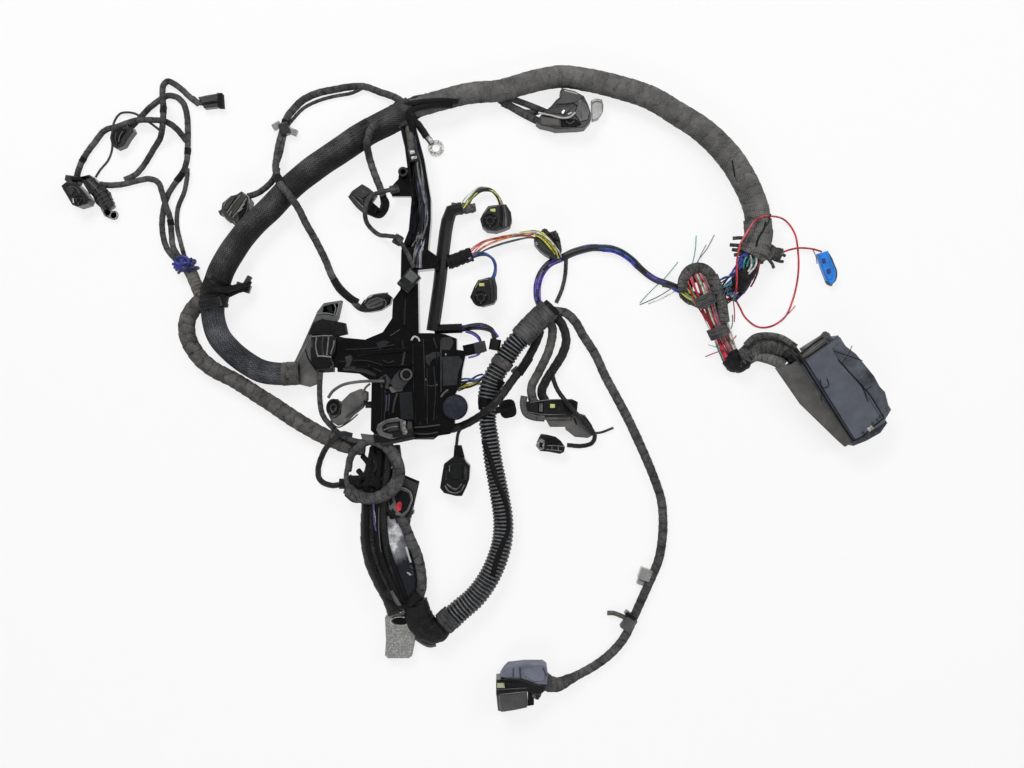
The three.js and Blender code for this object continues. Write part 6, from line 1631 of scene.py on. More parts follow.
plug("sensor_plug_far_left", "black_plug", [
    ([(-0.3032, 0.3243), (-0.2934, 0.3265), (-0.2792, 0.3287), (-0.2770, 0.3232),
            (-0.2781, 0.3145), (-0.2967, 0.3123), (-0.2999, 0.3178)], 0.0, 0.0092, BLACK),
    ([(-0.3018, 0.3241), (-0.2800, 0.3273), (-0.2789, 0.3208), (-0.2986, 0.3175)], 0.0086, 0.0100, DARK_GREY),
    ([(-0.2825, 0.3287), (-0.2770, 0.3287), (-0.2759, 0.3134), (-0.2814, 0.3134)], 0.0, 0.0104, BLACK_SOFT),
], [([(-0.299, 0.316, 0.009), (-0.288, 0.318, 0.01), (-0.279, 0.319, 0.01)], 0.0006, BLACK_SOFT), ([(-0.301, 0.323, 0.01), (-0.290, 0.325, 0.01), (-0.280, 0.327, 0.01)], 0.0005, GREY),
    ([(-0.311, 0.325, 0.0034), (-0.305, 0.320, 0.0036), (-0.296, 0.319, 0.004)], 0.0031, CORD_TAPE)])


def round_face(x, y, z, radius, inner=BLACK_SOFT, pins=3):
    """Adds a round mouth with its rim, core and pins."""

    def add(piece):
        ring(piece, spot(x, y, z), radius, radius * 0.76, 0.0016, BLACK)
        piece.turned(spot(x, y, z - 0.001), (0, 0, 1), [(0, radius * 0.76), (0.0012, radius * 0.74)], inner)
        ring(piece, spot(x, y, z), radius * 0.46, radius * 0.32, 0.0012, DARK_GREY, 18)
        for turn in range(pins):
            a = math.tau * turn / pins + 0.5
            place = spot(x, y, z) + Vector((math.cos(a), math.sin(a), 0)) * radius * 0.60
            piece.turned(place, (0, 0, 1), [(0, 0.0008), (0.0010, 0.0007)], GREY, 10)

    return add


plug("left_round_plug", "black_plug", [
    ([(-0.3964, 0.2900), (-0.3876, 0.2933), (-0.3746, 0.2911), (-0.3724, 0.2867),
            (-0.3789, 0.2780), (-0.3833, 0.2704), (-0.3909, 0.2671), (-0.3964, 0.2704),
            (-0.3985, 0.2791)], 0.0, 0.0120, BLACK),
    ([(-0.3938, 0.2876), (-0.3862, 0.2898), (-0.3797, 0.2876), (-0.3851, 0.2789),
            (-0.3895, 0.2713), (-0.3938, 0.2734), (-0.3960, 0.2800)], 0.0110, 0.0134, BLACK_SOFT),
], [([(-0.384, 0.286, 0.013), (-0.387, 0.280, 0.014), (-0.388, 0.274, 0.014)], 0.0006, GREY), ([(-0.391, 0.285, 0.013), (-0.392, 0.277, 0.014), (-0.390, 0.271, 0.013)], 0.0006, DARK_GREY)])
plug("left_block_plug", "black_plug", [
    ([(-0.4491, 0.2259), (-0.4436, 0.2303), (-0.4338, 0.2292), (-0.4251, 0.2204),
            (-0.4186, 0.2117), (-0.4207, 0.2063), (-0.4316, 0.2030), (-0.4371, 0.2052),
            (-0.4436, 0.2161), (-0.4469, 0.2215)], 0.0, 0.0180, BLACK),
    ([(-0.4469, 0.2390), (-0.4382, 0.2379), (-0.4316, 0.2335), (-0.4338, 0.2292),
            (-0.4447, 0.2303), (-0.4480, 0.2335)], 0.0, 0.0120, DARK_GREY),
    ([(-0.4434, 0.2237), (-0.4390, 0.2259), (-0.4336, 0.2216), (-0.4369, 0.2150),
            (-0.4401, 0.2161)], 0.0175, 0.0190, DARK_GREY),
    ([(-0.4409, 0.2360), (-0.4192, 0.2371), (-0.4170, 0.2328), (-0.4388, 0.2317)], 0.0, 0.0150, BLACK_SOFT),
], [([(-0.439, 0.225, 0.019), (-0.432, 0.223, 0.019), (-0.428, 0.217, 0.019)], 0.0006, GREY), ([(-0.436, 0.212, 0.019), (-0.435, 0.207, 0.019)], 0.0009, TINNED)],
    round_face(-0.430, 0.210, 0.018, 0.0068))


def tip_rings(piece):
    for x, y in ((-0.404, 0.199), (-0.397, 0.196)):
        ring(piece, spot(x, y, 0.0040), 0.0046, 0.0034, 0.0014, TINNED, 20)
        ring(piece, spot(x, y, 0.0030), 0.0050, 0.0040, 0.0014, BLACK, 20)
    piece.loft(Run([(-0.412, 0.222), (-0.406, 0.213), (-0.400, 0.202)], 0.008), lambda s, turn: 0.0086 - 0.06 * s, BLACK, 22, 0.002)
    band_run = Run([(-0.412, 0.222), (-0.406, 0.213), (-0.400, 0.202)], 0.008)
    for at in (0.004, 0.009, 0.014, 0.018):
        piece.loft(band_run, lambda s, turn: 0.0092 - 0.06 * s, DARK_GREY, 22, 0.0008, at, at + 0.0016)


plug("left_boss_plug", "black_plug", [
    ([(-0.4287, 0.2364), (-0.4200, 0.2386), (-0.4134, 0.2332), (-0.4025, 0.2212),
            (-0.4069, 0.2168), (-0.4200, 0.2179), (-0.4243, 0.2255), (-0.4276, 0.2310)], 0.0, 0.0150, BLACK),
    ([(-0.4235, 0.2339), (-0.4181, 0.2350), (-0.4094, 0.2252), (-0.4148, 0.2208)], 0.0142, 0.0162, DARK_GREY),
    ([(-0.4193, 0.2208), (-0.4018, 0.2219), (-0.3975, 0.2077), (-0.4051, 0.2000),
            (-0.4139, 0.2077)], 0.0, 0.0120, BLACK_SOFT),
], [([(-0.421, 0.232, 0.016), (-0.414, 0.226, 0.016), (-0.410, 0.220, 0.016)], 0.0006, GREY), ([(-0.410, 0.202, 0.005), (-0.405, 0.195, 0.005), (-0.399, 0.192, 0.005)], 0.0008, TINNED)],
    tip_rings)

plug("ribbed_plug", "black_plug", [
    ([(-0.2741, 0.2068), (-0.2654, 0.2144), (-0.2579, 0.2165), (-0.2535, 0.2198),
            (-0.2481, 0.2165), (-0.2438, 0.2100), (-0.2460, 0.1992), (-0.2470, 0.1949),
            (-0.2579, 0.1808), (-0.2676, 0.1884), (-0.2752, 0.1949), (-0.2784, 0.1970),
            (-0.2752, 0.2003)],
     0.0, 0.0195, OLIVE_DARK),
    ([(-0.2719, 0.2057), (-0.2654, 0.2122), (-0.2589, 0.2133), (-0.2687, 0.1981),
            (-0.2730, 0.2003)], 0.0188, 0.0212, OLIVE_DARK),
    ([(-0.2557, 0.2144), (-0.2525, 0.2176), (-0.2470, 0.2133), (-0.2611, 0.1927),
            (-0.2665, 0.1960)], 0.0188, 0.0218, OLIVE_DARK),
    ([(-0.2568, 0.1981), (-0.2470, 0.2089), (-0.2481, 0.1981), (-0.2557, 0.1873)], 0.0188, 0.0206, BLACK_SOFT),
    ([(-0.2800, 0.1991), (-0.2746, 0.2013), (-0.2735, 0.1969), (-0.2779, 0.1947)], 0.0, 0.0150, GREY),
], [(points, 0.0006, EDGE_HIGHLIGHT) for points in (
    [(-0.272, 0.203, 0.022), (-0.269, 0.209, 0.022), (-0.264, 0.213, 0.022)], [(-0.268, 0.196, 0.022), (-0.262, 0.205, 0.022), (-0.254, 0.215, 0.022)], [(-0.262, 0.191, 0.022), (-0.254, 0.201, 0.022), (-0.247, 0.212, 0.022)],
    [(-0.266, 0.193, 0.022), (-0.263, 0.198, 0.022)], [(-0.251, 0.217, 0.022), (-0.245, 0.213, 0.022), (-0.244, 0.206, 0.022)], [(-0.258, 0.196, 0.022), (-0.254, 0.200, 0.022), (-0.249, 0.206, 0.022)],
    [(-0.274, 0.196, 0.02), (-0.269, 0.189, 0.02), (-0.264, 0.185, 0.02)], [(-0.262, 0.187, 0.02), (-0.258, 0.182, 0.02)], [(-0.256, 0.197, 0.022), (-0.251, 0.201, 0.022)])])

plug("upper_sensor_plug", "black_plug", [
    ([(-0.1384, 0.2140), (-0.1341, 0.2205), (-0.1232, 0.2281), (-0.1156, 0.2237),
            (-0.1080, 0.2172), (-0.1134, 0.2096), (-0.1232, 0.1977), (-0.1308, 0.2042)], 0.0, 0.0165, DARK_GREY),
    ([(-0.1339, 0.2181), (-0.1231, 0.2257), (-0.1133, 0.2181), (-0.1220, 0.2116)], 0.0160, 0.0180, DARK_GREY),
    ([(-0.1220, 0.2094), (-0.1133, 0.2149), (-0.1100, 0.2116), (-0.1198, 0.2008)], 0.0160, 0.0176, BLACK_SOFT),
    ([(-0.1237, 0.2059), (-0.1129, 0.2092), (-0.1052, 0.2027), (-0.1085, 0.1961),
            (-0.1194, 0.1972)], 0.0, 0.0165, BLACK_SOFT),
], [([(-0.134, 0.215, 0.017), (-0.126, 0.207, 0.017), (-0.119, 0.200, 0.017)], 0.0006, EDGE_HIGHLIGHT), ([(-0.131, 0.217, 0.018), (-0.124, 0.211, 0.018)], 0.0005, EDGE_HIGHLIGHT),
    ([(-0.130, 0.213, 0.017), (-0.122, 0.205, 0.017)], 0.0007, BLACK_SOFT),
    ([(-0.101, 0.215, 0.014), (-0.097, 0.208, 0.013), (-0.099, 0.200, 0.012),
        (-0.105, 0.195, 0.01), (-0.114, 0.198, 0.01), (-0.119, 0.200, 0.012)], 0.0036, BLACK_TAPE)])

plug("oval_plug", "black_plug", [
    ([(-0.1256, 0.0958), (-0.1213, 0.1023), (-0.1104, 0.1078), (-0.0963, 0.1099),
            (-0.0909, 0.1056), (-0.0930, 0.0980), (-0.1028, 0.0915), (-0.1148, 0.0893),
            (-0.1224, 0.0893)], 0.0, 0.0150, BLACK),
    ([(-0.1201, 0.0968), (-0.1157, 0.1022), (-0.1070, 0.1055), (-0.0994, 0.1033),
            (-0.1005, 0.0968), (-0.1103, 0.0925), (-0.1168, 0.0925)], 0.0145, 0.0160, GREY_WORN),
    ([(-0.0994, 0.1055), (-0.0929, 0.1055), (-0.0929, 0.0990), (-0.0984, 0.0946)], 0.0145, 0.0164, BLACK_SOFT),
], [([(-0.117, 0.098, 0.016), (-0.110, 0.102, 0.016), (-0.103, 0.104, 0.016)], 0.0008, DARK_GREY), ([(-0.115, 0.095, 0.016), (-0.107, 0.098, 0.016), (-0.100, 0.101, 0.016)], 0.0006, BLACK),
    ([(-0.099, 0.103, 0.016), (-0.097, 0.099, 0.016), (-0.098, 0.095, 0.016)], 0.0006, EDGE_HIGHLIGHT), ([(-0.121, 0.099, 0.015), (-0.116, 0.106, 0.015), (-0.106, 0.109, 0.015),
        (-0.095, 0.110, 0.015)], 0.0006, EDGE_HIGHLIGHT),
    ([(-0.136, 0.104, 0.004), (-0.129, 0.096, 0.005), (-0.122, 0.093, 0.006),
        (-0.116, 0.095, 0.008)], 0.0036, CORD_TAPE)])

plug("bracket_plug", "black_plug", [
    ([(-0.1771, 0.0617), (-0.1695, 0.0638), (-0.1555, 0.0638), (-0.1501, 0.0606),
            (-0.1512, 0.0477), (-0.1555, 0.0401), (-0.1534, 0.0336), (-0.1577, 0.0272),
            (-0.1695, 0.0261), (-0.1771, 0.0336), (-0.1782, 0.0455)], 0.0143, 0.0238, BLACK),
    ([(-0.1760, 0.0390), (-0.1566, 0.0401), (-0.1555, 0.0304), (-0.1609, 0.0272),
            (-0.1706, 0.0272), (-0.1771, 0.0336)], 0.0232, 0.0252, BLACK_SOFT),
], [(points, radius, look) for points, radius, look in (
    ([(-0.171, 0.062, 0.024), (-0.172, 0.052, 0.024), (-0.170, 0.042, 0.024)], 0.0008, EDGE_HIGHLIGHT), ([(-0.164, 0.062, 0.024), (-0.165, 0.052, 0.024), (-0.164, 0.042, 0.024)], 0.0011, DARK_GREY),
    ([(-0.158, 0.062, 0.024), (-0.159, 0.052, 0.024), (-0.160, 0.042, 0.024)], 0.0008, EDGE_HIGHLIGHT), ([(-0.152, 0.058, 0.024), (-0.153, 0.052, 0.024), (-0.156, 0.043, 0.024)], 0.0007, EDGE_HIGHLIGHT),
    ([(-0.170, 0.041, 0.025), (-0.163, 0.041, 0.025), (-0.155, 0.040, 0.025)], 0.0009, EDGE_HIGHLIGHT), ([(-0.176, 0.062, 0.024), (-0.165, 0.063, 0.024), (-0.154, 0.063, 0.024)], 0.0006, EDGE_HIGHLIGHT),
    ([(-0.176, 0.058, 0.024), (-0.176, 0.050, 0.024)], 0.0009, DARK_GREY), ([(-0.156, 0.038, 0.024), (-0.153, 0.031, 0.024), (-0.157, 0.027, 0.024)], 0.0008, DARK_GREY))])

bracket_trim = Piece("bracket_trim")
for outline, bottom, top, material in (
    ([(-0.1876, 0.0491), (-0.1833, 0.0523), (-0.1789, 0.0414), (-0.1713, 0.0251),
            (-0.1713, 0.0110), (-0.1800, 0.0077), (-0.1941, 0.0110), (-0.2028, 0.0175),
            (-0.1952, 0.0306)], 0.0120, 0.0142, GREY_WORN),
    ([(-0.1767, 0.0773), (-0.1670, 0.0817), (-0.1420, 0.0773), (-0.1398, 0.0654),
            (-0.1550, 0.0621), (-0.1811, 0.0654)], 0.0030, 0.0168, BLACK_TAPE),
    ([(-0.1659, 0.0958), (-0.1550, 0.0991), (-0.1474, 0.0991), (-0.1507, 0.0860),
            (-0.1550, 0.0838), (-0.1670, 0.0893)], 0.0120, 0.0140, DARK_GREY),
    ([(-0.1626, 0.0947), (-0.1572, 0.0969), (-0.1539, 0.0893), (-0.1583, 0.0860)], 0.0136, 0.0146, BLACK_SOFT),
    ([(-0.1410, 0.0402), (-0.1345, 0.0424), (-0.1324, 0.0391), (-0.1356, 0.0294),
            (-0.1410, 0.0283), (-0.1389, 0.0348)], 0.0215, 0.0240, DARK_GREY),
    ([(-0.1598, 0.0652), (-0.1446, 0.0619), (-0.1338, 0.0554), (-0.1338, 0.0262),
            (-0.1468, 0.0273), (-0.1576, 0.0305)], 0.0, 0.0180, BLACK_SOFT),
):
    bracket_trim.slab(outline, bottom, top, material, 0.0007)
# Lines in the pale edge material here are painted highlights along the bracket's edges.
for points, radius, look in (
    ([(-0.173, 0.087, 0.015), (-0.162, 0.088, 0.015), (-0.154, 0.086, 0.015)], 0.0007, EDGE_HIGHLIGHT), ([(-0.154, 0.099, 0.014), (-0.152, 0.093, 0.014), (-0.154, 0.086, 0.014)], 0.0006, EDGE_HIGHLIGHT),
    ([(-0.148, 0.100, 0.014), (-0.150, 0.091, 0.014), (-0.152, 0.085, 0.014)], 0.0007, EDGE_HIGHLIGHT), ([(-0.194, 0.035, 0.014), (-0.188, 0.046, 0.014), (-0.180, 0.061, 0.014),
        (-0.175, 0.074, 0.014)], 0.0007, EDGE_HIGHLIGHT),
    ([(-0.185, 0.048, 0.014), (-0.181, 0.037, 0.014), (-0.173, 0.026, 0.014)], 0.0009, BLACK),
):
    bracket_trim.tube(strand(points), radius, look, 7)
bracket_trim.build("grey_bracket")


def oval_face(piece):
    place = spot(-0.154, -0.015, 0.0165)
    for outer, height, look in ((0.0092, 0.0016, BLACK), (0.0070, 0.0020, BLACK_SOFT), (0.0040, 0.0024, DARK_GREY)):
        loop = []
        for k in range(25):
            a = math.tau * k / 24
            loop.append(place + Vector((0.78 * outer * math.cos(a), outer * math.sin(a), height - 0.0012)))
        piece.tube(loop, 0.0010, look, 7)
    piece.turned(place, (0, 0, 1), [(-0.001, 0.0078), (0.0006, 0.0074)], BLACK_SOFT)
    for dx, dy in ((-0.002, 0.003), (0.002, -0.001), (-0.001, -0.005)):
        piece.turned(place + Vector((dx, dy, 0)), (0, 0, 1), [(0, 0.0009), (0.0014, 0.0008)], GREY, 10)


plug("flat_oval_plug", "black_plug", [
    ([(-0.1461, -0.0086), (-0.1364, 0.0012), (-0.1255, 0.0056), (-0.1179, 0.0023),
            (-0.1179, -0.0064), (-0.1233, -0.0151), (-0.1342, -0.0238), (-0.1418, -0.0324),
            (-0.1494, -0.0346), (-0.1570, -0.0292), (-0.1603, -0.0216), (-0.1614, -0.0118),
            (-0.1570, -0.0053)],
     0.0, 0.0160, GREY_WORN),
    ([(-0.1612, -0.0118), (-0.1568, -0.0053), (-0.1492, -0.0053), (-0.1449, -0.0118),
            (-0.1460, -0.0216), (-0.1525, -0.0259), (-0.1590, -0.0216)], 0.0150, 0.0170, BLACK),
    ([(-0.1197, -0.0086), (-0.1066, -0.0065), (-0.1066, -0.0152), (-0.1197, -0.0152)], 0.0, 0.0150, BLACK),
], [([(-0.160, -0.004, 0.015), (-0.155, 0.003, 0.016), (-0.144, 0.010, 0.017),
        (-0.129, 0.013, 0.02), (-0.116, 0.014, 0.024), (-0.098, 0.014, 0.024)], 0.0017, GREY_WORN),
    ([(-0.158, -0.029, 0.014), (-0.150, -0.036, 0.014), (-0.139, -0.031, 0.014),
        (-0.128, -0.022, 0.014)], 0.0008, DARK_GREY),
    ([(-0.141, -0.025, 0.017), (-0.131, -0.017, 0.017), (-0.121, -0.009, 0.017)], 0.0010, DARK_GREY), ([(-0.123, 0.000, 0.016), (-0.119, 0.007, 0.018), (-0.114, 0.011, 0.022)], 0.0012, GREY_WORN),
    ([(-0.121, -0.007, 0.017), (-0.116, -0.012, 0.018), (-0.110, -0.012, 0.02)], 0.0010, BLACK)], oval_face)

side_box = Piece("duct_side_plug_frame")
for outline, bottom, top, material in (
    ([(-0.1033, -0.0316), (-0.0969, -0.0284), (-0.0819, -0.0252), (-0.0766, -0.0274),
            (-0.0755, -0.0423), (-0.0883, -0.0466), (-0.1011, -0.0444), (-0.1054, -0.0380)], 0.0360, 0.0380, GREY_WORN),
    ([(-0.0989, -0.0337), (-0.0935, -0.0305), (-0.0797, -0.0284), (-0.0786, -0.0401),
            (-0.0904, -0.0423), (-0.0978, -0.0401)], 0.0374, 0.0385, BLACK_SOFT),
    ([(-0.0946, -0.0327), (-0.0818, -0.0305), (-0.0808, -0.0380), (-0.0925, -0.0401)], 0.0378, 0.0391, DARK_GREY),
    ([(-0.0776, -0.0273), (-0.0733, -0.0284), (-0.0744, -0.0348), (-0.0712, -0.0401),
            (-0.0733, -0.0433), (-0.0765, -0.0423), (-0.0776, -0.0359)], 0.0365, 0.0393, TINNED),
    ([(-0.0714, -0.0285), (-0.0671, -0.0295), (-0.0671, -0.0391), (-0.0703, -0.0413),
            (-0.0724, -0.0381)], 0.0340, 0.0376, DARK_GREY),
    ([(-0.1226, -0.0424), (-0.1034, -0.0445), (-0.0799, -0.0456), (-0.0767, -0.0424),
            (-0.0756, -0.0488), (-0.1012, -0.0509), (-0.1204, -0.0488)], 0.0240, 0.0330, GREY_WORN),
):
    side_box.slab(outline, bottom, top, material, 0.0005)
# Pale lines along the frame's edges: painted highlights.
for points in ([(-0.097, -0.038, 0.039), (-0.090, -0.035, 0.039), (-0.082, -0.034, 0.039)], [(-0.103, -0.033, 0.038), (-0.095, -0.028, 0.038), (-0.082, -0.025, 0.038)], [(-0.099, -0.044, 0.038), (-0.088, -0.047, 0.038), (-0.077, -0.042, 0.038)]):
    side_box.tube(strand(points), 0.0005, EDGE_HIGHLIGHT, 7)
side_box.build("grey_bracket")

plug("coil_plug_upper", "black_plug", [
    ([(0.0051, 0.1889), (0.0083, 0.1953), (0.0137, 0.2029), (0.0191, 0.2040),
            (0.0331, 0.2050), (0.0385, 0.1964), (0.0396, 0.1878), (0.0374, 0.1813),
            (0.0299, 0.1781), (0.0224, 0.1759), (0.0126, 0.1770), (0.0073, 0.1813)],
     0.0, 0.0232, DARK_GREY),
    ([(0.0073, 0.1878), (0.0105, 0.1953), (0.0159, 0.2007), (0.0256, 0.2029),
            (0.0277, 0.1943), (0.0267, 0.1813), (0.0213, 0.1770), (0.0126, 0.1781),
            (0.0083, 0.1824)], 0.0225, 0.0245, BLACK),
], [([(0.031, 0.203, 0.024), (0.033, 0.193, 0.024), (0.033, 0.181, 0.024)], 0.0006, EDGE_HIGHLIGHT), ([(0.035, 0.201, 0.024), (0.037, 0.191, 0.024), (0.036, 0.182, 0.024)], 0.0006, BLACK),
    ([(0.028, 0.203, 0.024), (0.029, 0.192, 0.024), (0.028, 0.180, 0.024)], 0.0009, BLACK_SOFT), ([(0.009, 0.194, 0.025), (0.015, 0.201, 0.025), (0.023, 0.203, 0.025)], 0.0005, EDGE_HIGHLIGHT)],
    round_face(0.016, 0.187, 0.0248, 0.0100, BLACK_SOFT, 3))
plug("coil_plug_middle", "black_plug", [
    ([(-0.0057, 0.1048), (-0.0014, 0.1156), (0.0029, 0.1231), (0.0148, 0.1263),
            (0.0213, 0.1253), (0.0234, 0.1166), (0.0234, 0.1037), (0.0202, 0.0983),
            (0.0083, 0.0951), (-0.0014, 0.0983)], 0.0, 0.0232, DARK_GREY),
    ([(-0.0046, 0.1048), (-0.0003, 0.1156), (0.0051, 0.1220), (0.0137, 0.1242),
            (0.0170, 0.1145), (0.0170, 0.0994), (0.0083, 0.0962), (-0.0003, 0.0994)], 0.0225, 0.0245, BLACK),
], [([(0.019, 0.123, 0.024), (0.020, 0.112, 0.024), (0.019, 0.099, 0.024)], 0.0008, BLACK), ([(-0.000, 0.114, 0.025), (0.005, 0.122, 0.025), (0.014, 0.124, 0.025)], 0.0005, EDGE_HIGHLIGHT)],
    round_face(0.006, 0.104, 0.0248, 0.0098, BLACK_SOFT, 3))
plug("coil_plug_branch", "black_plug", [
    ([(0.0634, 0.1687), (0.0677, 0.1741), (0.0752, 0.1795), (0.0806, 0.1751),
            (0.0871, 0.1773), (0.0914, 0.1687), (0.0936, 0.1557), (0.0914, 0.1471),
            (0.0828, 0.1471), (0.0752, 0.1514), (0.0698, 0.1557), (0.0644, 0.1622)],
     0.0, 0.0215, DARK_GREY),
    ([(0.0655, 0.1676), (0.0731, 0.1708), (0.0828, 0.1600), (0.0882, 0.1492),
            (0.0763, 0.1535), (0.0698, 0.1589)], 0.0208, 0.0228, OLIVE_DARK),
    ([(0.0720, 0.1784), (0.0774, 0.1784), (0.0806, 0.1719), (0.0752, 0.1708)], 0.0208, 0.0235, BLACK),
    ([(0.0839, 0.1751), (0.0893, 0.1741), (0.0914, 0.1654), (0.0860, 0.1665)], 0.0208, 0.0235, BLACK),
], [([(0.066, 0.164, 0.022), (0.067, 0.161, 0.022)], 0.0013, TINNED), ([(0.081, 0.173, 0.023), (0.087, 0.162, 0.023), (0.091, 0.151, 0.023)], 0.0009, BLACK_SOFT)])
coil_locks = Piece("coil_plug_locks")
for x, y, turn in ((0.019, 0.198, 8), (0.007, 0.118, 0)):
    coil_locks.block(spot(x, y, 0.0244), turn, (0.0056, 0.0034, 0.0014), YELLOW, 0.0006, 0.0003)
coil_locks.tube(strand([(0.063, 0.172, 0.024), (0.071, 0.168, 0.026), (0.078, 0.161, 0.026),
        (0.086, 0.151, 0.025)]), 0.0010, WIRES["yellow"], 7)
coil_locks.tube(strand([(0.067, 0.174, 0.024), (0.076, 0.167, 0.026), (0.084, 0.158, 0.026),
        (0.089, 0.149, 0.024)]), 0.0009, WIRES["yellow"], 7)
coil_locks.build("black_plug")

plug("injector_plug", "black_plug", [
    ([(-0.0341, -0.0757), (-0.0243, -0.0681), (-0.0124, -0.0692), (-0.0102, -0.0735),
            (-0.0059, -0.0778), (-0.0070, -0.0930), (-0.0102, -0.1017), (-0.0146, -0.1104),
            (-0.0211, -0.1104), (-0.0341, -0.1071), (-0.0384, -0.1017), (-0.0362, -0.0876)],
     0.0, 0.0190, BLACK),
    ([(-0.0232, -0.0562), (-0.0157, -0.0562), (-0.0124, -0.0692), (-0.0243, -0.0692)], 0.0, 0.0120, BLACK_SOFT),
    ([(-0.0285, -0.0755), (-0.0145, -0.0745), (-0.0134, -0.0907), (-0.0275, -0.0928)], 0.0184, 0.0206, BLACK),
    ([(-0.0123, -0.0777), (-0.0080, -0.0799), (-0.0091, -0.0928), (-0.0123, -0.0928)], 0.0184, 0.0200, DARK_GREY),
], [([(-0.033, -0.099, 0.019), (-0.029, -0.105, 0.019), (-0.021, -0.107, 0.019),
        (-0.015, -0.104, 0.019), (-0.012, -0.098, 0.019)], 0.0007, EDGE_HIGHLIGHT),
    ([(-0.031, -0.097, 0.019), (-0.025, -0.102, 0.019), (-0.019, -0.102, 0.019),
        (-0.015, -0.097, 0.019)], 0.0007, EDGE_HIGHLIGHT), ([(-0.027, -0.099, 0.02), (-0.022, -0.104, 0.02), (-0.017, -0.100, 0.02)], 0.0005, GREY),
    ([(-0.028, -0.077, 0.021), (-0.028, -0.084, 0.021)], 0.0005, EDGE_HIGHLIGHT), ([(-0.031, -0.082, 0.02), (-0.032, -0.093, 0.02)], 0.0006, DARK_GREY),
    ([(-0.021, -0.057, 0.012), (-0.020, -0.063, 0.012), (-0.021, -0.070, 0.013)], 0.0007, BLACK)])

plug("silver_mouth_plug", "black_plug", [
    ([(0.0712, -0.0434), (0.0788, -0.0445), (0.0875, -0.0467), (0.0929, -0.0510),
            (0.0973, -0.0575), (0.0962, -0.0630), (0.0918, -0.0652), (0.0809, -0.0630),
            (0.0701, -0.0619), (0.0657, -0.0565), (0.0679, -0.0499)], 0.0, 0.0135, BLACK),
    ([(0.0668, -0.0510), (0.0711, -0.0477), (0.0755, -0.0510), (0.0744, -0.0597),
            (0.0700, -0.0608), (0.0657, -0.0564)], 0.0128, 0.0142, TINNED),
    ([(0.0700, -0.0521), (0.0733, -0.0531), (0.0722, -0.0586), (0.0690, -0.0575)], 0.0138, 0.0146, BLACK_SOFT),
    ([(0.0766, -0.0477), (0.0863, -0.0499), (0.0896, -0.0542), (0.0787, -0.0542)], 0.0130, 0.0144, BLACK_SOFT),
], [([(0.078, -0.056, 0.014), (0.086, -0.056, 0.014), (0.096, -0.057, 0.014)], 0.0005, EDGE_HIGHLIGHT), ([(0.077, -0.060, 0.014), (0.086, -0.061, 0.014), (0.094, -0.062, 0.014)], 0.0005, EDGE_HIGHLIGHT),
    ([(0.083, -0.056, 0.014), (0.083, -0.061, 0.014)], 0.0004, EDGE_HIGHLIGHT), ([(0.090, -0.056, 0.014), (0.090, -0.062, 0.014)], 0.0004, EDGE_HIGHLIGHT),
    ([(0.071, -0.044, 0.013), (0.081, -0.046, 0.013), (0.090, -0.050, 0.013)], 0.0004, EDGE_HIGHLIGHT)])

plug("two_row_plug", "black_plug", [
    ([(0.0526, -0.0085), (0.0700, -0.0064), (0.1047, -0.0053), (0.1112, -0.0085),
            (0.1101, -0.0194), (0.1025, -0.0237), (0.0754, -0.0248), (0.0570, -0.0226),
            (0.0505, -0.0161)], 0.0, 0.0165, BLACK),
    ([(0.0678, -0.0085), (0.0743, -0.0085), (0.0743, -0.0204), (0.0678, -0.0204)], 0.0160, 0.0176, BLACK_SOFT),
    ([(0.0938, -0.0074), (0.1079, -0.0074), (0.1090, -0.0172), (0.0982, -0.0194)], 0.0160, 0.0180, BLACK_SOFT),
    ([(0.0526, -0.0205), (0.0755, -0.0238), (0.1048, -0.0238), (0.1037, -0.0281),
            (0.0755, -0.0281), (0.0570, -0.0260)], 0.0, 0.0140, GREY_WORN),
    ([(0.0755, -0.0260), (0.0984, -0.0260), (0.0984, -0.0358), (0.0810, -0.0358)], 0.0, 0.0120, GREY_WORN),
    ([(0.0962, -0.0249), (0.1104, -0.0206), (0.1191, -0.0228), (0.1267, -0.0336),
            (0.1300, -0.0435), (0.1224, -0.0478), (0.1082, -0.0467), (0.0984, -0.0391)], 0.0, 0.0125, GREY_WORN),
    ([(0.0776, -0.0107), (0.0873, -0.0096), (0.0873, -0.0161), (0.0776, -0.0161)], 0.0160, 0.0178, BLACK),
    ([(0.0808, -0.0107), (0.0862, -0.0107), (0.0862, -0.0150), (0.0808, -0.0150)], 0.0172, 0.0184, YELLOW),
], [([(0.070, -0.010, 0.018), (0.070, -0.019, 0.018)], 0.0005, EDGE_HIGHLIGHT), ([(0.072, -0.010, 0.018), (0.072, -0.019, 0.018)], 0.0005, EDGE_HIGHLIGHT),
    ([(0.055, -0.019, 0.016), (0.075, -0.022, 0.016), (0.098, -0.022, 0.016)], 0.0006, EDGE_HIGHLIGHT), ([(0.059, -0.009, 0.017), (0.081, -0.006, 0.017), (0.105, -0.006, 0.017)], 0.0005, EDGE_HIGHLIGHT),
    ([(0.111, -0.021, 0.013), (0.121, -0.028, 0.013), (0.129, -0.041, 0.013)], 0.0012, BLACK), ([(0.107, -0.026, 0.013), (0.110, -0.033, 0.013)], 0.0008, BLACK_SOFT),
    ([(0.053, -0.002, 0.014), (0.052, -0.011, 0.014), (0.055, -0.021, 0.014),
        (0.064, -0.025, 0.014), (0.075, -0.026, 0.014)], 0.0040, CLOTH),
    ([(0.130, -0.043, 0.003), (0.138, -0.042, 0.002), (0.151, -0.037, 0.002)], 0.0014, CORD_TAPE)])

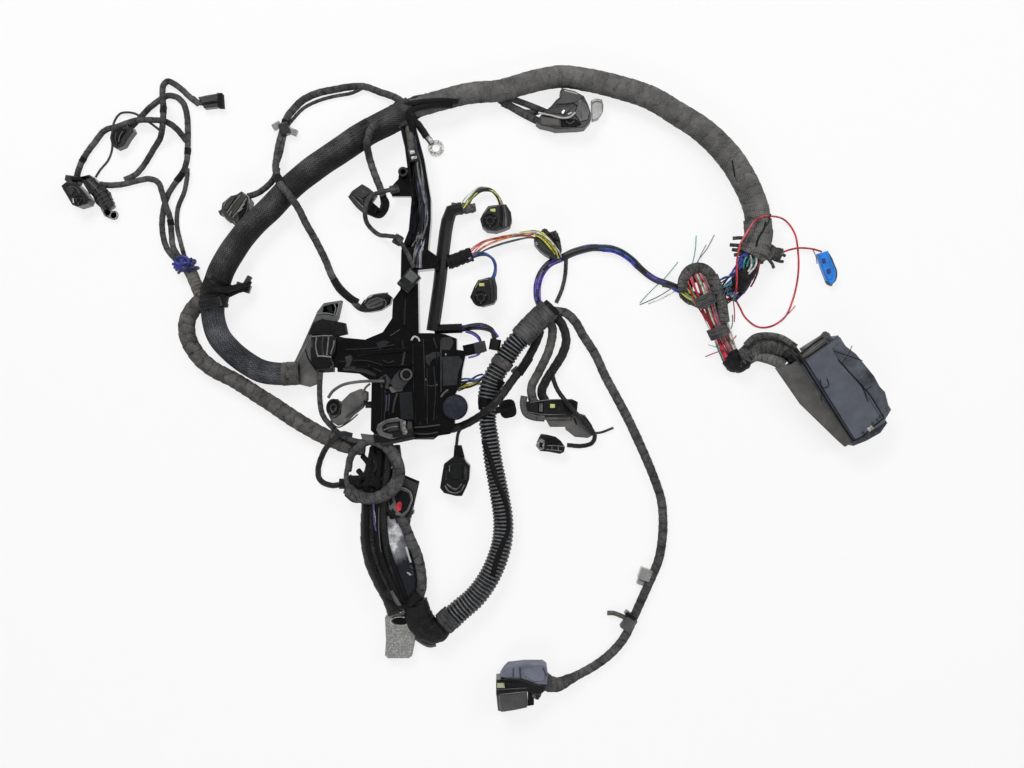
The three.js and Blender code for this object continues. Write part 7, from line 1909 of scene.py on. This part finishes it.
plug("cable_end_plug", "black_plug", [
    ([(0.0224, -0.3221), (0.0558, -0.3199), (0.0568, -0.3361), (0.0482, -0.3394),
            (0.0310, -0.3426), (0.0245, -0.3415)], 0.0, 0.0240, GREY_DARKER),
    ([(0.0224, -0.3078), (0.0374, -0.3057), (0.0525, -0.3078), (0.0633, -0.3121),
            (0.0751, -0.3143), (0.0762, -0.3186), (0.0698, -0.3240), (0.0568, -0.3207),
            (0.0396, -0.3218), (0.0224, -0.3240)], 0.0, 0.0255, BLACK),
    # These two blue-grey plates stand where a shadow lies on the floor beside the plug: painted shadow built as a
    # raised cover.
    ([(0.0267, -0.3051), (0.0310, -0.2986), (0.0353, -0.2943), (0.0536, -0.2922),
            (0.0730, -0.2922), (0.0774, -0.2954), (0.0784, -0.3040), (0.0774, -0.3138),
            (0.0677, -0.3138), (0.0569, -0.3094), (0.0493, -0.3073), (0.0353, -0.3073)],
     0.0, 0.0230, SHADOW_BLUE_GREY),
    ([(0.0504, -0.2952), (0.0698, -0.2941), (0.0752, -0.2995), (0.0752, -0.3092),
            (0.0633, -0.3102), (0.0525, -0.3038)], 0.0222, 0.0242, SHADOW_BLUE_GREY),
    ([(0.0235, -0.3108), (0.0310, -0.3108), (0.0321, -0.3162), (0.0235, -0.3162)], 0.0250, 0.0262, PALE_LOCK),
    ([(0.0569, -0.3200), (0.0634, -0.3200), (0.0634, -0.3362), (0.0569, -0.3373)], 0.0, 0.0210, BLACK_SOFT),
    ([(0.0612, -0.3178), (0.0656, -0.3189), (0.0656, -0.3297), (0.0612, -0.3276)], 0.0, 0.0216, GREY_WORN),
    ([(0.0645, -0.3184), (0.0732, -0.3184), (0.0710, -0.3271), (0.0678, -0.3314),
            (0.0645, -0.3303)], 0.0, 0.0190, DARK_GREY),
], [([(0.041, -0.295, 0.024), (0.041, -0.305, 0.024)], 0.0005, BLUE_DARK), ([(0.048, -0.295, 0.024), (0.049, -0.306, 0.024)], 0.0008, BLUE_DARK),
    ([(0.023, -0.318, 0.026), (0.040, -0.317, 0.026), (0.056, -0.316, 0.026)], 0.0006, DARK_GREY), ([(0.025, -0.323, 0.025), (0.040, -0.322, 0.025), (0.056, -0.320, 0.025)], 0.0005, EDGE_HIGHLIGHT),
    ([(0.026, -0.325, 0.024), (0.027, -0.340, 0.024)], 0.0005, EDGE_HIGHLIGHT), ([(0.073, -0.295, 0.024), (0.077, -0.304, 0.024)], 0.0006, BLUE_DARK),
    ([(0.027, -0.309, 0.026), (0.040, -0.310, 0.026), (0.050, -0.309, 0.026)], 0.0007, BLACK_SOFT), ([(0.028, -0.342, 0.024), (0.042, -0.340, 0.024), (0.056, -0.337, 0.024)], 0.0006, DARK_GREY)])

flare = Piece("cable_end_flare")
flare_run = Run([(0.071, -0.311), (0.080, -0.316), (0.090, -0.317), (0.101, -0.312), (0.112, -0.307)], 0.009)
flare.loft(flare_run, wound(lambda s: 0.0104 - 0.13 * s, 0.008, 0.0006, 81, 0.03), CORD_TAPE, 20, 0.0012)
flare.build("cord_tape")

plug("branch_plug", "black_plug", [
    ([(0.0937, 0.3312), (0.1077, 0.3279), (0.1175, 0.3225), (0.1218, 0.3139),
            (0.1251, 0.3041), (0.1251, 0.2966), (0.1186, 0.2890), (0.1110, 0.2879),
            (0.0872, 0.2868), (0.0796, 0.2890), (0.0699, 0.2912), (0.0656, 0.2944),
            (0.0710, 0.3020), (0.0753, 0.3063), (0.0818, 0.3117), (0.0872, 0.3182),
            (0.0926, 0.3225), (0.0915, 0.3279)], 0.0, 0.0200, DARK_GREY),
    ([(0.0936, 0.3287), (0.1077, 0.3266), (0.1163, 0.3212), (0.1088, 0.3147),
            (0.0980, 0.3136), (0.0872, 0.3136), (0.0926, 0.3212)], 0.0190, 0.0222, GREY_DARKER),
    ([(0.1023, 0.3169), (0.1131, 0.3212), (0.1207, 0.3136), (0.1239, 0.3039),
            (0.1217, 0.2963), (0.1131, 0.2942), (0.1066, 0.3039), (0.1098, 0.3114)], 0.0190, 0.0214, BLACK),
    ([(0.0709, 0.3006), (0.0915, 0.2974), (0.0915, 0.2898), (0.0796, 0.2898),
            (0.0709, 0.2920)], 0.0190, 0.0216, GREY_WORN),
    ([(0.0926, 0.2974), (0.1088, 0.2974), (0.1153, 0.2920), (0.1088, 0.2888),
            (0.0926, 0.2888)], 0.0190, 0.0210, BLACK_SOFT),
    ([(0.0763, 0.3071), (0.0872, 0.3114), (0.1044, 0.3104), (0.1001, 0.3050),
            (0.0872, 0.3028), (0.0763, 0.3039)], 0.0190, 0.0208, BLACK),
    ([(0.1259, 0.3202), (0.1314, 0.3224), (0.1379, 0.3213), (0.1390, 0.3148),
            (0.1379, 0.3060), (0.1336, 0.3006), (0.1270, 0.2984)], 0.0, 0.0110, CLEAR),
], [([(0.068, 0.304, 0.022), (0.081, 0.301, 0.023), (0.094, 0.298, 0.023),
        (0.102, 0.299, 0.023), (0.108, 0.304, 0.023)], 0.0011, PALE), ([(0.094, 0.303, 0.023), (0.096, 0.306, 0.023)], 0.0013, TINNED),
    ([(0.113, 0.318, 0.022), (0.113, 0.309, 0.022), (0.115, 0.298, 0.022)], 0.0006, EDGE_HIGHLIGHT), ([(0.118, 0.314, 0.022), (0.121, 0.305, 0.022)], 0.0005, EDGE_HIGHLIGHT),
    ([(0.096, 0.328, 0.022), (0.104, 0.326, 0.022), (0.111, 0.324, 0.022)], 0.0006, PALE), ([(0.098, 0.295, 0.022), (0.102, 0.292, 0.022), (0.107, 0.295, 0.022)], 0.0006, GREY),
    ([(0.104, 0.304, 0.023), (0.100, 0.302, 0.023)], 0.0009, PALE), ([(0.127, 0.317, 0.011), (0.132, 0.319, 0.011), (0.138, 0.317, 0.011),
        (0.138, 0.307, 0.011)], 0.0006, GREY)])
second_lead = Piece("branch_second_lead")
second_lead.tube(strand([(0.026, 0.322, 0.008), (0.040, 0.314, 0.005), (0.054, 0.306, 0.005),
        (0.068, 0.298, 0.009)]), 0.0042, CORD_TAPE, 12)
second_lead.tube(strand([(0.032, 0.325, 0.008), (0.048, 0.320, 0.006), (0.065, 0.313, 0.008),
        (0.077, 0.307, 0.012)]), 0.0034, CORD_TAPE, 12)
second_lead.build("cord_tape")

# Finish of the CAD pieces that stay

CAD_LOOKS = {
    "main_duct": GLOSS, "coil_rail_duct": RAIL, "sleeve_bracket": GREY, "aluminium_bracket": ALUMINIUM,
    "ring_terminal": TINNED, "ecu_plug_housing": ECU, "blue_plug": BLUE, "blue_tie": NAVY,
    "ribbed_plug": OLIVE, "upper_sensor_plug": DARK_GREY, "sleeve_tie_band": BLACK_TAPE,
}
replaced = {n for o in bpy.data.objects for n in o.get("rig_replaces", [])}
for name, node in frame["nodes"].items():
    if name in replaced:
        continue
    node.data.materials.clear()
    node.data.materials.append(CAD_LOOKS.get(name, BLACK))
    bevel = node.modifiers.new("edges", "BEVEL")
    bevel.width = 0.0007
    bevel.segments = 2
    bevel.limit_method = "ANGLE"
    bevel.angle_limit = math.radians(35)
    bevel.harden_normals = False


# Stage and light

floor_material, floor_tree, floor_shader = new_material("floor", 0.9)
floor_shader.inputs["Base Color"].default_value = (0.86, 0.86, 0.86, 1.0)
glow = floor_tree.nodes.new("ShaderNodeEmission")
glow.inputs["Color"].default_value = (1.0, 1.0, 1.0, 1.0)
glow.inputs["Strength"].default_value = 1.0
blend_in = floor_tree.nodes.new("ShaderNodeMixShader")
rays = floor_tree.nodes.new("ShaderNodeLightPath")
seen = rays.outputs["Is Camera Ray"]
for other in ("Is Glossy Ray", "Is Transmission Ray"):
    either = floor_tree.nodes.new("ShaderNodeMath")
    either.operation = "MAXIMUM"
    floor_tree.links.new(seen, either.inputs[0])
    floor_tree.links.new(rays.outputs[other], either.inputs[1])
    seen = either.outputs[0]
share = floor_tree.nodes.new("ShaderNodeMath")
share.operation = "MULTIPLY"
share.inputs[1].default_value = 0.8
floor_tree.links.new(seen, share.inputs[0])
floor_tree.links.new(share.outputs[0], blend_in.inputs[0])
floor_tree.links.new(floor_shader.outputs[0], blend_in.inputs[1])
floor_tree.links.new(glow.outputs[0], blend_in.inputs[2])
floor_tree.links.new(blend_in.outputs[0], floor_tree.nodes["Material Output"].inputs["Surface"])
floor_mesh = bpy.data.meshes.new("floor")
reach = 4.0
wall_height = 5.0
floor_corners = [(-reach, -reach), (reach, -reach), (reach, reach), (-reach, reach)]
floor_mesh.from_pydata([(x, y, z) for z in (0.0, wall_height) for x, y in floor_corners], [],
                       [(0, 1, 2, 3), (0, 1, 5, 4), (1, 2, 6, 5), (2, 3, 7, 6), (3, 0, 4, 7)])
floor_mesh.materials.append(floor_material)
floor = bpy.data.objects.new("floor", floor_mesh)
bpy.context.scene.collection.objects.link(floor)

world = bpy.data.worlds.new("world")
world.use_nodes = True
world.node_tree.nodes["Background"].inputs["Color"].default_value = (1.0, 1.0, 1.0, 1.0)
world.node_tree.nodes["Background"].inputs["Strength"].default_value = 0.1
bpy.context.scene.world = world


def area_light(name, place, target, size, power):
    data = bpy.data.lights.new(name, "AREA")
    data.shape = "RECTANGLE"
    data.size, data.size_y = size
    data.energy = power
    light = bpy.data.objects.new(name, data)
    light.location = place
    light.rotation_euler = (Vector(target) - Vector(place)).to_track_quat("-Z", "Y").to_euler()
    bpy.context.scene.collection.objects.link(light)


area_light("key", (-0.7, 1.5, 1.7), (0, 0, 0), (1.1, 0.8), 34.0)
area_light("side", (1.6, 0.5, 1.5), (0, 0, 0), (0.8, 1.1), 14.0)
area_light("glint", (0.28, 0.62, 1.75), (0, 0, 0), (0.22, 0.22), 2.6)
area_light("low", (-0.4, -1.7, 1.5), (0, 0, 0), (1.2, 0.6), 12.0)

bpy.context.scene.view_settings.view_transform = "Standard"
bpy.context.scene.view_settings.look = "None"
